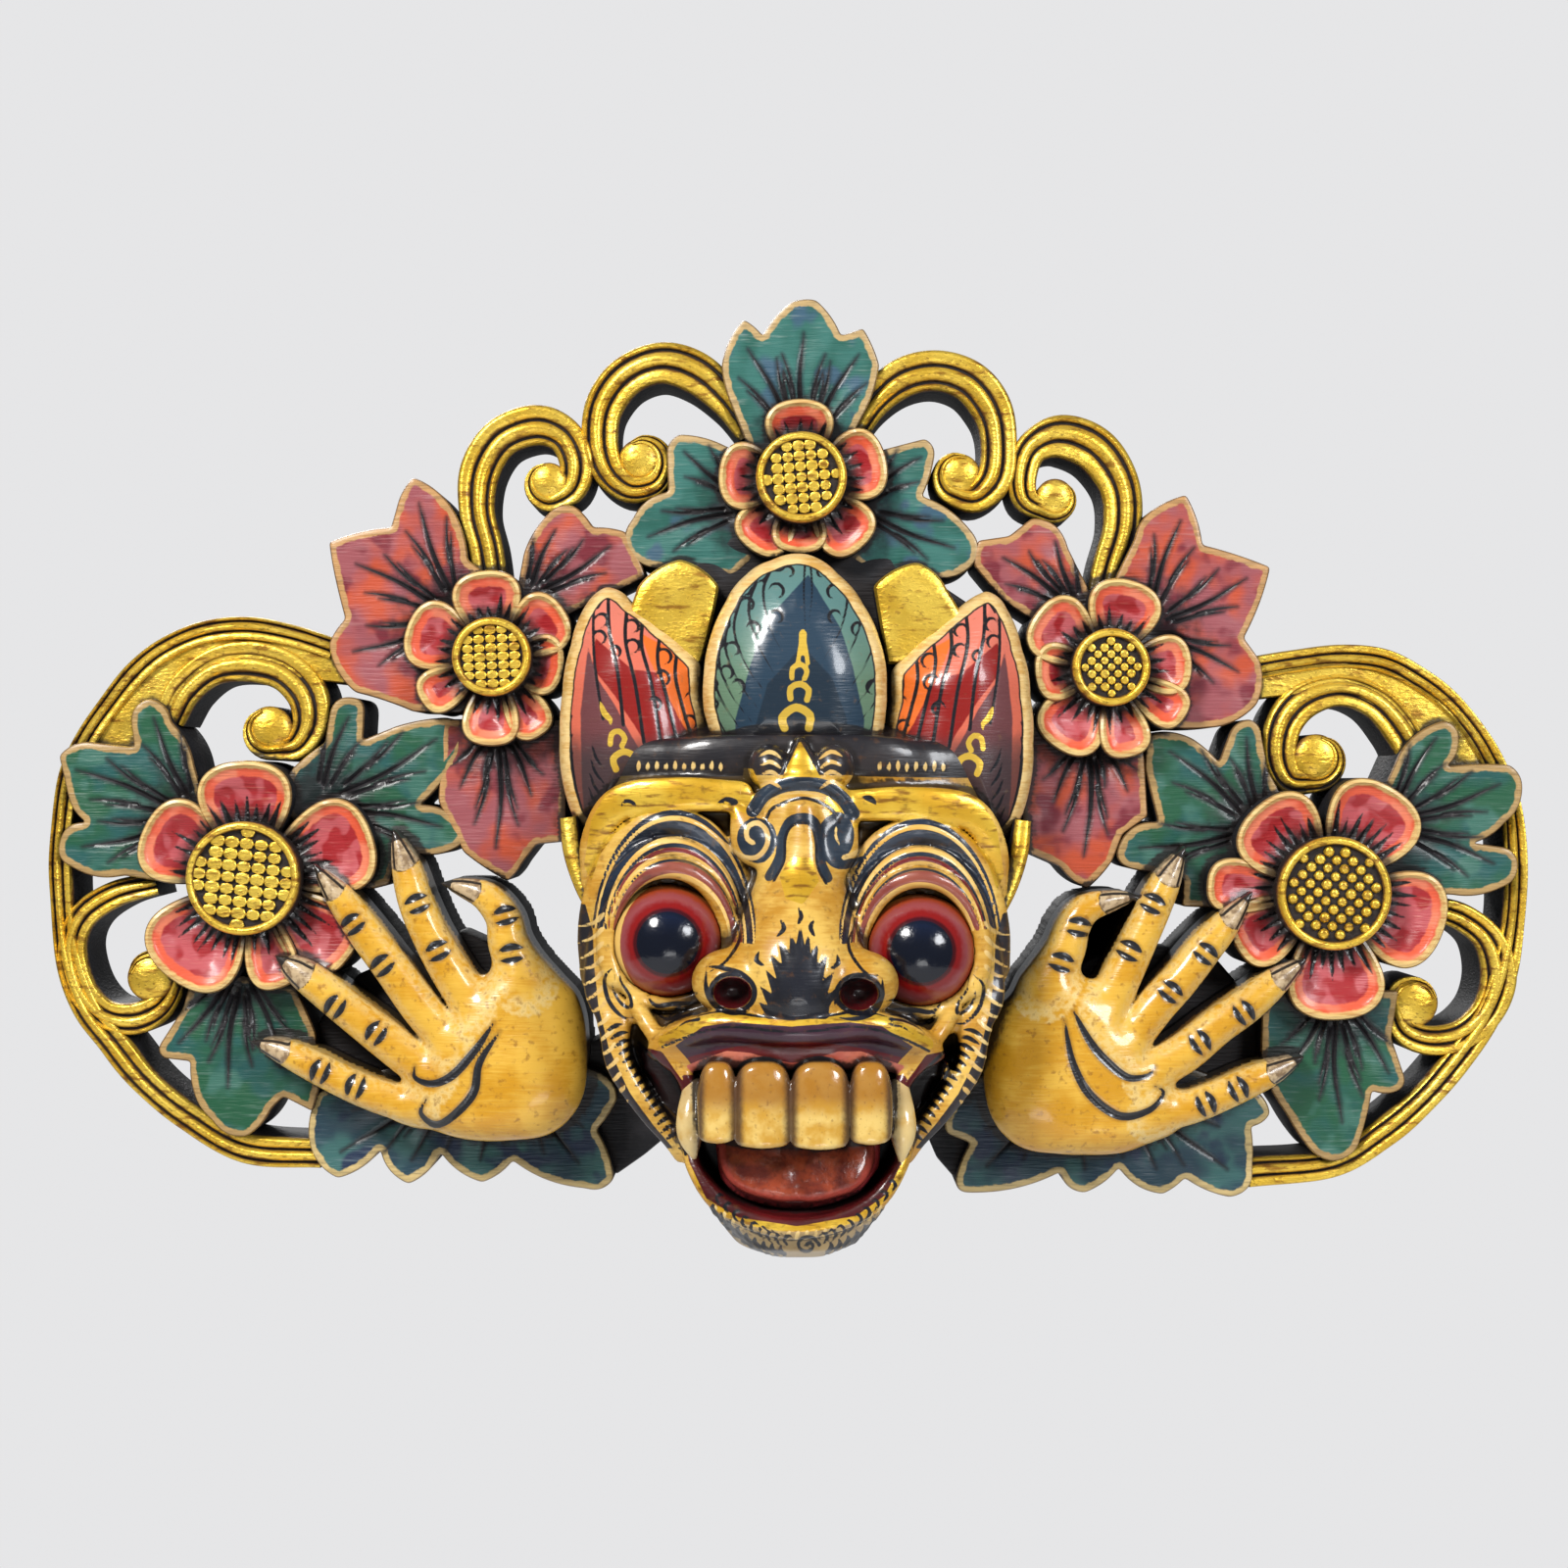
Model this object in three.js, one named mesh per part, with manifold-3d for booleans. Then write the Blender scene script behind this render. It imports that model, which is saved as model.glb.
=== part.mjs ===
// A Balinese wall carving: the head of Boma between two raised hands, five flowers with their leaves,
// and gilded scrolls. It is sawn and carved from one block of wood, so it is one solid.
//
// Millimetres. +X is right and +Z up, as seen by someone facing the carving, and its face looks to -Y.
// The back is flat, in the plane y = 0, and the origin is on it behind the middle of the carving.
// A place on the carving is [x, z]; its height is how far it stands forward of the back.

import * as THREE from 'three'
import { mergeVertices } from 'three/addons/utils/BufferGeometryUtils.js'
import Module from 'manifold-3d'

// Driving dimensions: the height of each layer of the carving.
const HEIGHT = {
  board: 24,
  scroll: 31,
  blueLeaf: 32,
  leaf: 35,
  petal: 44,
  disc: 50,
  finger: 52,
  crown: 62,
}
const BEHIND = 4 // every stroke starts this far behind the back plane, and the back is cut flat last
const VEIN = { width: 4, depth: 2.6 } // the V cut along each rib of a leaf
const RIM = 2.4 // width of the raised rim of a flower's disc
const EYE_RADIUS = 18.5

const wasm = await Module()
wasm.setup()

// ---------------------------------------------------------------- closed solids from three.js geometry

/** The closed solid of a geometry whose surface has no gaps. */
function solidOf(geometry) {
  geometry.deleteAttribute('normal')
  geometry.deleteAttribute('uv')
  const merged = mergeVertices(geometry, 1e-4)
  const corners = merged.index.array
  const triangles = []
  for (let i = 0; i < corners.length; i += 3) {
    const [a, b, c] = [corners[i], corners[i + 1], corners[i + 2]]
    if (a !== b && b !== c && c !== a) triangles.push(a, b, c)
  }
  return new wasm.Manifold(new wasm.Mesh({
    numProp: 3,
    vertProperties: Float32Array.from(merged.attributes.position.array),
    triVerts: Uint32Array.from(triangles),
  }))
}

/** A point of the block from its place on the front and its height. */
const at = (x, z, height) => new THREE.Vector3(x, -height, z)

/** A closed solid through a row of rings that hold the same number of points. */
function loft(rings) {
  const sides = rings[0].length
  const points = rings.flat()
  const faces = []
  for (let ring = 0; ring + 1 < rings.length; ring++) {
    for (let side = 0; side < sides; side++) {
      const a = ring * sides + side
      const b = ring * sides + (side + 1) % sides
      faces.push(a, b, b + sides, a, b + sides, a + sides)
    }
  }
  const lastRing = (rings.length - 1) * sides
  for (let side = 1; side + 1 < sides; side++) {
    faces.push(0, side + 1, side)
    faces.push(lastRing, lastRing + side, lastRing + side + 1)
  }
  if (signedVolume(points, faces) < 0) faces.reverse()
  const geometry = new THREE.BufferGeometry().setFromPoints(points)
  geometry.setIndex(faces)
  return solidOf(geometry)
}

function signedVolume(points, faces) {
  let volume = 0
  for (let i = 0; i < faces.length; i += 3) {
    const [a, b, c] = [points[faces[i]], points[faces[i + 1]], points[faces[i + 2]]]
    volume += a.dot(new THREE.Vector3().crossVectors(b, c)) / 6
  }
  return volume
}

// ------------------------------------------------------------------------------ the carver's strokes

// The section of a stroke from one edge to the other, as [part of the width, drop below its height].
const SECTION = {
  scroll: [[-0.5, 2.5], [-0.28, 0], [0.04, 2.2], [0.28, 0], [0.5, 2.5]],
  finger: [[-0.5, 6], [-0.24, 0.4], [0.24, 0.4], [0.5, 6]],
  dome: [[-0.5, 14], [-0.32, 4], [0, 0], [0.32, 4], [0.5, 14]],
  shield: [[-0.5, 7], [-0.3, 2], [0, 0], [0.3, 2], [0.5, 7]],
  lip: [[-0.5, 4], [0, 0], [0.5, 4]],
  tooth: [[-0.5, 4], [-0.3, 0.6], [0.3, 0.6], [0.5, 4]],
  slab: [[-0.5, 1.5], [-0.35, 0], [0.35, 0], [0.5, 1.5]],
}

/**
 * A stroke: a band that follows a curve through stations [x, z, width, height], `steps` long pieces,
 * with a section from SECTION and walls that go straight to the back.
 */
function stroke(stations, section, steps) {
  const route = new THREE.CatmullRomCurve3(stations.map(([x, z, , height]) => at(x, z, height)))
  const widths = new THREE.SplineCurve(stations.map(([, , width], i) => new THREE.Vector2(i, width)))
  const rings = []
  for (let step = 0; step <= steps; step++) {
    const along = step / steps
    const centre = route.getPoint(along)
    const run = route.getTangent(along).setY(0).normalize()
    const width = Math.max(widths.getPoint(along).y, 0.6)
    const across = (part) => [centre.x - run.z * part * width, centre.z + run.x * part * width]
    const depth = Math.min(1, width / 8)
    const front = section.map(([part, drop]) => at(...across(part), -centre.y - drop * depth))
    rings.push([at(...across(section[0][0]), -BEHIND), ...front, at(...across(section.at(-1)[0]), -BEHIND)])
  }
  return loft(rings)
}

/**
 * The outline through corners [x, z, bulge]: the side that reaches a corner bulges out by its third
 * number. The corners run counter-clockwise.
 */
function outlineOf(corners) {
  const shape = new THREE.Shape()
  shape.moveTo(corners[0][0], corners[0][1])
  corners.forEach((from, i) => {
    const [x, z, bulge = 0] = corners[(i + 1) % corners.length]
    const [dx, dz] = [x - from[0], z - from[1]]
    const out = 2 * bulge / Math.hypot(dx, dz)
    if (bulge) shape.quadraticCurveTo((x + from[0]) / 2 + dz * out, (z + from[1]) / 2 - dx * out, x, z)
    else shape.lineTo(x, z)
  })
  return shape
}

/** A flat-topped piece with the given outline, from the back to its height. */
function slab(corners, height, chamfer = 0) {
  const behind = chamfer ? 0 : BEHIND
  const geometry = new THREE.ExtrudeGeometry(outlineOf(corners), {
    depth: height + behind - chamfer,
    bevelEnabled: chamfer > 0,
    bevelThickness: chamfer,
    bevelSize: chamfer,
    bevelOffset: -chamfer,
    bevelSegments: 1,
    curveSegments: 2,
  })
  return solidOf(geometry.rotateX(Math.PI / 2).translate(0, behind, 0))
}

/** The cutter of one V-shaped vein: deepest at its root, running out at its tip. */
function veinCutter([x0, z0], [x1, z1], height) {
  const [dx, dz] = [x1 - x0, z1 - z0]
  const half = VEIN.width / 2 / Math.hypot(dx, dz)
  const above = height + 1
  return loft([
    [at(x0 - dz * half, z0 + dx * half, above), at(x0, z0, height - VEIN.depth),
      at(x0 + dz * half, z0 - dx * half, above)],
    [at(x1 - dz * 0.01, z1 + dx * 0.01, above), at(x1, z1, height - 0.2),
      at(x1 + dz * 0.01, z1 - dx * 0.01, above)],
  ])
}

/** A leaf: its outline, and a vein from near its root towards the tip of each rib. */
function leaf({ root, ribs, corners }, height) {
  const along = (tip, part) => [root[0] + (tip[0] - root[0]) * part, root[1] + (tip[1] - root[1]) * part]
  return ribs.reduce(
    (solid, tip) => solid.subtract(veinCutter(along(tip, 0.3), along(tip, 0.92), height)),
    slab(corners, height))
}

/** How far a flower reaches in a direction: to the petal that reaches furthest there. */
function flowerReach(petals, radius, direction) {
  return Math.max(radius * 1.15, ...petals.map(([angle, reach, halfWidth]) => {
    const turn = Math.abs(((direction - angle) % 360 + 540) % 360 - 180)
    const spread = THREE.MathUtils.radToDeg(Math.atan2(halfWidth, reach * 0.62))
    return reach * Math.max(0, 1 - (turn / spread) ** 3.2) ** 0.3
  }))
}

/** The directions that the outline of a flower turns at: between each two petals, and round each petal. */
function flowerTurns(petals) {
  const angles = petals.map(([angle]) => angle).sort((a, b) => a - b)
  return angles.flatMap((angle, i) => {
    const next = i + 1 < angles.length ? angles[i + 1] : angles[0] + 360
    return [0.13, 0.4, 0.5, 0.6, 0.87].map((part) => angle + (next - angle) * part)
  })
}

/** A flower: petals with raised edges round a hollow, and a rimmed disc in the middle. */
function flower({ middle: [cx, cz], radius, petals }) {
  const turns = flowerTurns(petals)
  const ring = (reachOf, height) => turns.map((degrees) => {
    const reach = reachOf(flowerReach(petals, radius, degrees))
    const turn = THREE.MathUtils.degToRad(degrees)
    return at(cx + reach * Math.cos(turn), cz + reach * Math.sin(turn), height)
  })
  return loft([
    ring((reach) => reach, -BEHIND),
    ring((reach) => reach, HEIGHT.petal),
    ring((reach) => reach * 0.4 + radius * 0.6, HEIGHT.petal - 4),
    ring(() => radius, HEIGHT.disc),
    ring(() => radius - RIM, HEIGHT.disc),
    ring(() => radius - RIM - 1, HEIGHT.disc - 1.6),
  ])
}

/** The rounded knob that a scroll curls up to. */
function knob([cx, cz], radius, height) {
  const profile = [[0, -BEHIND], [radius, -BEHIND], [radius, height - 4], [radius * 0.6, height], [0, height]]
  const geometry = new THREE.LatheGeometry(profile.map(([r, h]) => new THREE.Vector2(r, h)), 8)
  return solidOf(geometry.rotateX(Math.PI).translate(cx, 0, cz))
}

const joined = (solids) => solids.reduce((whole, solid) => whole.add(solid))

// ------------------------------------------------------------------------------------- the scrolls

// Each scroll is a curve through [x, z, width]; a scroll that ends in a knob gives its centre and radius.
const SCROLLS = [
  { // left ring, along the outer edge of the carving
    steps: 15,
    route: [[-156, 46, 8], [-170, 50.5, 8], [-185, 53, 8], [-200, 51.5, 8], [-213, 46, 8], [-223, 38, 8],
      [-232, 27, 8], [-240, 15, 8], [-246, 1, 8], [-248.5, -17, 8], [-248.5, -37, 8], [-246.5, -58, 9],
      [-240, -76, 10], [-231, -88, 10], [-220, -101.5, 10], [-206, -113, 10], [-186, -124, 10],
      [-160, -126, 10]],
  },
  { // left upper volute
    steps: 9, knob: [-177.5, 18.5, 8],
    route: [[-212, 22, 11], [-207, 32, 13], [-197, 40, 13], [-185, 42, 14], [-173, 39, 14],
      [-165, 31, 14], [-163.5, 21, 13], [-168, 13, 10], [-175, 11.5, 7]],
  },
  { // left lower volute
    steps: 8, knob: [-218, -66, 8],
    route: [[-216, -34, 8], [-230, -37.5, 9], [-241, -45, 10], [-245, -56, 10], [-242, -69, 10],
      [-234, -78, 10], [-224, -80, 11], [-215, -76, 10], [-210, -68, 8]],
  },
  { // left inner arch
    steps: 9, knob: [-51.5, 110.5, 7],
    route: [[-14, 119, 9], [-22, 131, 12], [-32, 140, 14], [-44, 143.5, 14], [-56, 139, 14],
      [-63.5, 129, 14], [-65, 117, 13], [-62, 106.5, 11], [-55, 100.5, 10], [-47, 101.5, 9]],
  },
  { // left outer arch
    steps: 9, knob: [-82.5, 103, 6.5],
    route: [[-102, 66, 12], [-104, 80, 12], [-107, 93, 13], [-106, 107, 14], [-99, 118, 14],
      [-87, 122.5, 14], [-77.5, 119, 13], [-73, 110, 12], [-74.5, 101, 10], [-81, 96.5, 8]],
  },
  { // right inner arch
    steps: 9, knob: [57.5, 105.5, 7],
    route: [[20, 117, 9], [28, 130, 12], [38, 138.5, 14], [50, 141, 14], [61.5, 137, 14],
      [69, 127, 14], [71, 115, 13], [69.5, 104, 12], [63, 97.5, 10], [55.5, 99, 9]],
  },
  { // right outer arch
    steps: 9, knob: [90, 97.5, 6.5],
    route: [[106, 62, 12], [109, 74, 12], [113, 88, 13], [112, 102, 14], [104, 114, 15],
      [92, 118.5, 15], [82.5, 114.5, 12], [79, 105.5, 10], [80, 97, 9], [86.5, 93, 8]],
  },
  { // right ring, along the outer edge of the carving
    steps: 15,
    route: [[156, 39, 8], [170, 41.5, 8], [187, 43.5, 8], [202, 42, 8], [214, 36, 8], [224, 28.5, 8],
      [233, 18, 8], [240, 6, 8], [245.5, -8, 8], [247, -26, 8], [246.5, -46, 8], [243, -65, 9],
      [237, -80, 10], [227.5, -94, 10], [215, -108, 10], [202, -119, 10], [184, -129.5, 10],
      [156, -132.5, 10]],
  },
  { // right upper volute
    steps: 9, knob: [179, 9, 8],
    route: [[213, 6, 10], [209, 17, 12], [200, 27.5, 12], [188, 32, 12], [176, 29, 13], [168.5, 21, 13],
      [166.5, 10, 12], [170, 1.5, 10], [177, 0.5, 8]],
  },
  { // right lower volute
    steps: 8, knob: [212, -74.5, 8.5],
    route: [[218, -42, 8], [229, -45.5, 10], [238, -53, 11], [241.5, -65, 12], [238, -77, 12],
      [229, -85.5, 11], [218, -87.5, 10], [209, -84, 9], [205.5, -76, 8]],
  },
]

function scrolls() {
  return SCROLLS.flatMap(({ route, steps, knob: curl }) => {
    const band = stroke(route.map((station) => [...station, HEIGHT.scroll]), SECTION.scroll, steps)
    return curl ? [band, knob([curl[0], curl[1]], curl[2], HEIGHT.scroll + 1)] : [band]
  })
}

// -------------------------------------------------------------------------------------- the leaves

const LEAVES = [
  { // left flower, outer leaf
    root: [-201, -12], ribs: [[-217, 25], [-245, 6], [-243, -22]],
    corners: [[-194, -22], [-202, 6], [-210, 21, 1.5], [-217.5, 29, 2], [-223.5, 21, 2], [-222.5, 12.5],
      [-235.5, 14], [-248, 9.5, 2], [-245, -4], [-239, -13, 1], [-248, -20, 2.5], [-244, -28, 2],
      [-226, -31, 2], [-208, -34]],
  },
  { // left flower, inner leaf
    root: [-161, -8], ribs: [[-149, 25], [-117, 17], [-115, -15]],
    corners: [[-160, -24], [-143, -36], [-136, -34], [-132.5, -23], [-124.5, -24], [-113, -21.5, 1],
      [-111, -14, 2], [-125.5, -7, 2], [-112, 10, 1], [-113, 20, 1], [-118, 22.5, 1], [-134, 19.5, 0.5],
      [-145, 15], [-144.5, 24], [-149.5, 29.5, 2], [-156, 25, 1.5], [-158, 14], [-170, 4, 0.5],
      [-172, -8]],
  },
  { // left flower, lower leaf
    root: [-186, -60], ribs: [[-209, -90], [-191, -106], [-172, -96]],
    corners: [[-202, -62], [-206, -76], [-213, -87], [-212.5, -93, 1.5], [-203.5, -94], [-202.5, -104, 0.5],
      [-196, -114, 1], [-184.5, -119.5, 2], [-176, -110, 1], [-172, -106], [-162, -111], [-159, -100],
      [-161, -84], [-168, -68]],
  },
  { // left small flower, outer leaf
    root: [-112, 56], ribs: [[-127, 98], [-150, 76], [-151, 44]],
    corners: [[-98, 32], [-96, 66], [-109.5, 76], [-112, 88, 0.5], [-128, 104, 2.5], [-133, 96, 0.5],
      [-135.5, 87], [-156.5, 82, 1], [-151, 56, 0.5], [-156.5, 47.5, 0.5], [-147.5, 31, 2],
      [-128, 24.5, -0.5], [-112, 24]],
  },
  { // left small flower, inner leaf
    root: [-90, 62], ribs: [[-79, 88], [-59, 82]],
    corners: [[-86, 52], [-49, 70], [-56, 85.5, 0.5], [-67, 87, 0.5], [-73, 94, 0.5], [-82, 92, 1.5],
      [-90.5, 78, 1], [-94, 60]],
  },
  { // left small flower, lower leaf
    root: [-99, 22], ribs: [[-100, -25], [-113, -3], [-87, -6]],
    corners: [[-118, 22], [-119.5, -6], [-111, -23], [-96, -33, 0.5], [-91, -27, 0.5], [-86, -20.5],
      [-76, -19.5], [-76, 22]],
  },
  { // top flower, upper leaf
    root: [4, 112], ribs: [[4.5, 156], [-16, 150], [24.5, 148]],
    corners: [[16, 108], [24, 124], [30, 142, 1], [24.5, 154.5, 0.5], [17, 152], [8.5, 164, 1],
      [0.5, 163.5, 0.5], [-9.5, 152, 1], [-16, 157.5, 0.5], [-23.5, 141, 1.5], [-20, 128, 0.5],
      [-12, 108]],
  },
  { // top flower, left leaf
    root: [-12, 94], ribs: [[-38, 114], [-51, 83]],
    corners: [[-4, 84], [-6, 108], [-22, 114.5], [-38, 118.5, 1], [-42, 111, 1.5], [-41.5, 99],
      [-53.5, 90, 2], [-56.5, 81, 1], [-47, 73, 1.5], [-20, 70]],
  },
  { // top flower, right leaf
    root: [20, 94], ribs: [[46, 112], [58, 79]],
    corners: [[12, 84], [30, 68], [52, 69.5], [63, 76, 1.5], [61, 86, 1.5], [44.5, 97.5, 1.5],
      [48.5, 110, 0.5], [45.5, 117, 1.5], [30, 113], [14, 108]],
  },
  { // right small flower, outer leaf
    root: [120, 52], ribs: [[133, 92], [157, 71], [154, 37]],
    corners: [[110, 24], [128, 19], [146, 19.5, 0.5], [158, 27, 1], [159, 42, 1.5], [153.5, 49.5],
      [162.5, 73.5, 1], [139.5, 81, 0.5], [134, 98, 1], [123.5, 93.5, 0.5], [116.5, 83, 1.5],
      [106, 62]],
  },
  { // right small flower, inner leaf
    root: [98, 58], ribs: [[89, 84], [70, 78]],
    corners: [[90, 50], [104, 60], [94, 80], [90.5, 87, 0.5], [81.5, 90, 1], [74, 84], [63.5, 82.5],
      [62, 74, 0.5], [72, 62]],
  },
  { // right small flower, lower leaf
    root: [102, 20], ribs: [[99, -28], [88, -8], [115, -4]],
    corners: [[82, 24], [77, 0], [79.5, -23], [91, -28], [100.5, -35.5, 1], [109, -26, 0.5],
      [112.5, -17], [121, -11], [119, 22]],
  },
  { // right flower, outer leaf
    root: [202, -14], ribs: [[220, 18], [243, 1], [241, -28]],
    corners: [[196, -34], [224, -37.5, 1], [241, -35, 1.5], [246.5, -28, 1.5], [242, -21.5, 1.5],
      [231.5, -20], [242, -13, 1], [248, -2, 1.5], [243.5, 6.5, 1.5], [222.5, 6, 0.5],
      [226.5, 14, 1], [221.5, 21.5, 2], [206, 10, 2], [198, -8]],
  },
  { // right flower, inner leaf
    root: [160, -16], ribs: [[154, 18], [126, 13], [115, -22]],
    corners: [[170, -10], [162, 4], [159.5, 17], [155.5, 22, 1], [149, 18, 1], [145, 7.5], [136, 15.5, 0.5],
      [120.5, 17, 1.5], [120, 5], [124.5, -13], [111, -21, 3], [113, -28, 1.5], [124, -30, 0.5],
      [133, -32], [132.5, -41.5], [143, -42], [152, -34]],
  },
  { // right flower, lower leaf
    root: [184, -70], ribs: [[204, -100], [187, -118], [168, -98]],
    corners: [[160, -70], [159, -96], [168, -112, 0.5], [177, -125, 0.5], [192, -123.5, 3.5],
      [197, -104, 0.5], [206, -104, 1], [208, -99, 1], [203.5, -86], [206, -70]],
  },
]

const BLUE_LEAVES = [
  {
    root: [-100, -86], ribs: [[-157, -128], [-131, -131], [-106, -131], [-70, -132]],
    corners: [[-160, -104], [-164, -118, 1], [-154, -134, 3], [-139.5, -124.5, 1.5], [-130, -136, 2],
      [-119, -125.5, 1.5], [-105, -135.5, 1.5], [-94.5, -128, 1], [-70, -137.5, 2], [-60, -134, 2],
      [-66, -117.5, 1], [-59, -107, 0.5], [-66, -97.5, 2], [-100, -84]],
  },
  {
    root: [100, -88], ribs: [[64, -133], [100, -134], [126, -134], [152, -134]],
    corners: [[66, -98], [53, -113, 2], [53.5, -119, 1], [61, -122], [56, -134, 0.5], [61, -139, 2],
      [91.5, -132, 2], [100, -139, 2], [111.5, -130.5, 1], [126.5, -139.5, 2], [134, -134, 0.5],
      [149.5, -140.5, 1], [157, -130, 3], [156.5, -116.5, 0.5], [163, -112, 1], [158, -104, 1],
      [100, -84]],
  },
]

// The board left standing lower than the leaves: inside the top of each ring, beside the jaw and
// between the fingers.
const BOARDS = [
  [[-150, 34], [-154, 44], [-170, 49], [-186, 51.5], [-201, 49.5], [-213, 44], [-223, 36], [-240, 12],
    [-222, 10], [-206, 32], [-190, 40], [-168, 36]],
  [[150, 28], [168, 30], [190, 31], [208, 22], [222, 4], [240, 2], [225, 26.5], [214, 34], [202, 39.5],
    [187, 42], [170, 40], [154, 37]],
  [[-60, -84], [-76, -92], [-66, -117], [-60, -134], [-50, -127], [-38, -117]],
  [[60, -84], [38, -117], [47, -121], [50, -128], [57, -136], [62, -122], [76, -92]],
  [[-86, -70], [-97, -60], [-104, -54], [-113, -50], [-128, -57], [-148, -65], [-158, -76],
    [-168, -90], [-150, -104], [-100, -104]],
  [[88, -70], [100, -104], [150, -104], [162, -92], [158, -74], [146, -60], [134, -56], [114, -56],
    [102, -60]],
]

// ------------------------------------------------------------------------------------- the flowers

// Each petal is [direction in degrees, reach from the flower's middle, half width].
const FLOWERS = [
  { // left
    middle: [-183, -31.5], radius: 19,
    petals: [[91, 39, 18], [153, 38, 16], [233, 42, 19.5], [287, 38.5, 8.5], [321, 43.5, 13.5],
      [19, 44.5, 17.5]],
  },
  { // left small
    middle: [-100, 42.5], radius: 13.2,
    petals: [[96, 29, 13], [160, 30.5, 13], [211, 28, 7.5], [268, 29.5, 10], [301, 30.5, 7.5],
      [352, 24, 12], [34, 28.5, 12]],
  },
  { // top
    middle: [3.5, 102.5], radius: 15.2,
    petals: [[92, 26.5, 13.5], [14, 29, 14], [312, 30.5, 11], [268, 25, 10], [234, 29, 11],
      [177, 27.5, 13]],
  },
  { // right small
    middle: [107, 39], radius: 13,
    petals: [[76, 30, 14], [3, 27.5, 11], [327, 30, 7.5], [283, 30.5, 8.5], [236, 32, 13],
      [184, 25, 11], [143, 30.5, 13]],
  },
  { // right
    middle: [181.5, -36.5], radius: 19,
    petals: [[131, 38, 17], [59, 40.5, 18], [341, 39.5, 19], [273, 42.5, 18], [210, 36.5, 12],
      [176, 41.5, 9]],
  },
]

// --------------------------------------------------------------------------------------- the hands

const FINGER_WIDTHS = [14, 13.5, 12.5, 12, 9.5, 1]
const LITTLE_WIDTHS = [12, 11.5, 11, 10.5, 8, 1]
const THUMB_WIDTHS = [16, 14, 12, 10, 7, 1]
const FINGER_HEIGHTS = [54, 54, 53, 52, 50, 47]

// Each finger is a route from the palm to the tip of its nail.
const HANDS = [
  { // left
    palm: [[-78, -64], [-92, -54], [-104, -66], [-116, -80], [-125, -94], [-131, -103], [-132, -112],
      [-113, -118], [-98, -119.5, 0.5], [-84, -117, 0.5], [-75, -110, 1], [-69.5, -100, 1],
      [-68.5, -86, 0.5], [-72, -70, 1]],
    fingers: [
      [THUMB_WIDTHS, [[-88, -66], [-94, -54], [-96, -45], [-101.5, -38], [-108.5, -35], [-117.5, -33]]],
      [FINGER_WIDTHS, [[-107, -73], [-114, -62], [-120.5, -50.5], [-125.5, -39], [-129, -27], [-133, -15]]],
      [FINGER_WIDTHS, [[-114, -86], [-124, -74], [-133, -62], [-142, -50], [-151, -38], [-160, -26.5]]],
      [FINGER_WIDTHS, [[-120, -97], [-133, -87], [-146, -77], [-156, -69], [-165, -62.5], [-172.5, -57.5]]],
      [LITTLE_WIDTHS, [[-125, -108], [-138, -104], [-149, -99.5], [-161, -93.5], [-171, -89], [-181, -86]]],
    ],
  },
  { // right
    palm: [[71, -73], [66, -80, 0.5], [64.5, -93, 0.5], [66, -106, 0.5], [71, -115, 0.5], [83, -121.5, 1],
      [98, -124, 1], [113, -123, 0.5], [128, -117], [130, -104], [124, -96], [116, -84], [104, -68],
      [88, -58]],
    fingers: [
      [THUMB_WIDTHS, [[84, -68], [91, -56.5], [94, -48], [98.5, -42], [107.5, -39], [117, -37.5]]],
      [FINGER_WIDTHS, [[104.5, -78], [109.5, -66.5], [115.5, -54], [121, -42], [126, -32], [132, -21]]],
      [FINGER_WIDTHS, [[112.5, -86], [121, -75], [130, -65.5], [138, -55.5], [145.5, -47], [154.5, -36]]],
      [FINGER_WIDTHS, [[119, -96.5], [131, -90], [142.5, -81], [152.5, -74], [162, -66.5], [173, -58]]],
      [LITTLE_WIDTHS, [[120, -111], [134, -107.5], [144.5, -103.5], [153.5, -99.5], [162, -96], [172, -91]]],
    ],
  },
]

function hands() {
  return HANDS.flatMap(({ palm, fingers }) => [
    slab(palm, HEIGHT.finger + 2, 4),
    ...fingers.map(([widths, route]) => stroke(
      route.map(([x, z], i) => [x, z, widths[i], FINGER_HEIGHTS[i]]), SECTION.finger, 5)),
  ])
}

// ---------------------------------------------------------------------------------------- the head

// Levels of the head from the chin up: [z, middle x, half width, height of the front].
const HEAD = [
  [-153, 2, 9, 72], [-149, 2, 20, 88], [-140, 2, 28, 95], [-126, 1.5, 37, 94], [-108, 1, 48, 92],
  [-88, 0.5, 59, 90], [-68, 0, 67, 84], [-46, 0, 71, 80], [-22, 1, 72, 76], [-2, 2, 72, 70], [20, 2, 66, 60],
]

/** The mass of the head, a row of level sections that are widest at the wall. */
function headMass() {
  const section = [[1, -BEHIND], [1, 0.4], [0.95, 0.68], [0.8, 0.88], [0.42, 0.98], [0, 1]]
  return loft(HEAD.map(([z, middle, half, front]) => {
    const side = (way) => section.map(
      ([part, up]) => at(middle + way * part * half, z, up < 0 ? up : up * front))
    return [...side(1), ...side(-1).slice(0, -1).reverse()]
  }))
}

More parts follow.
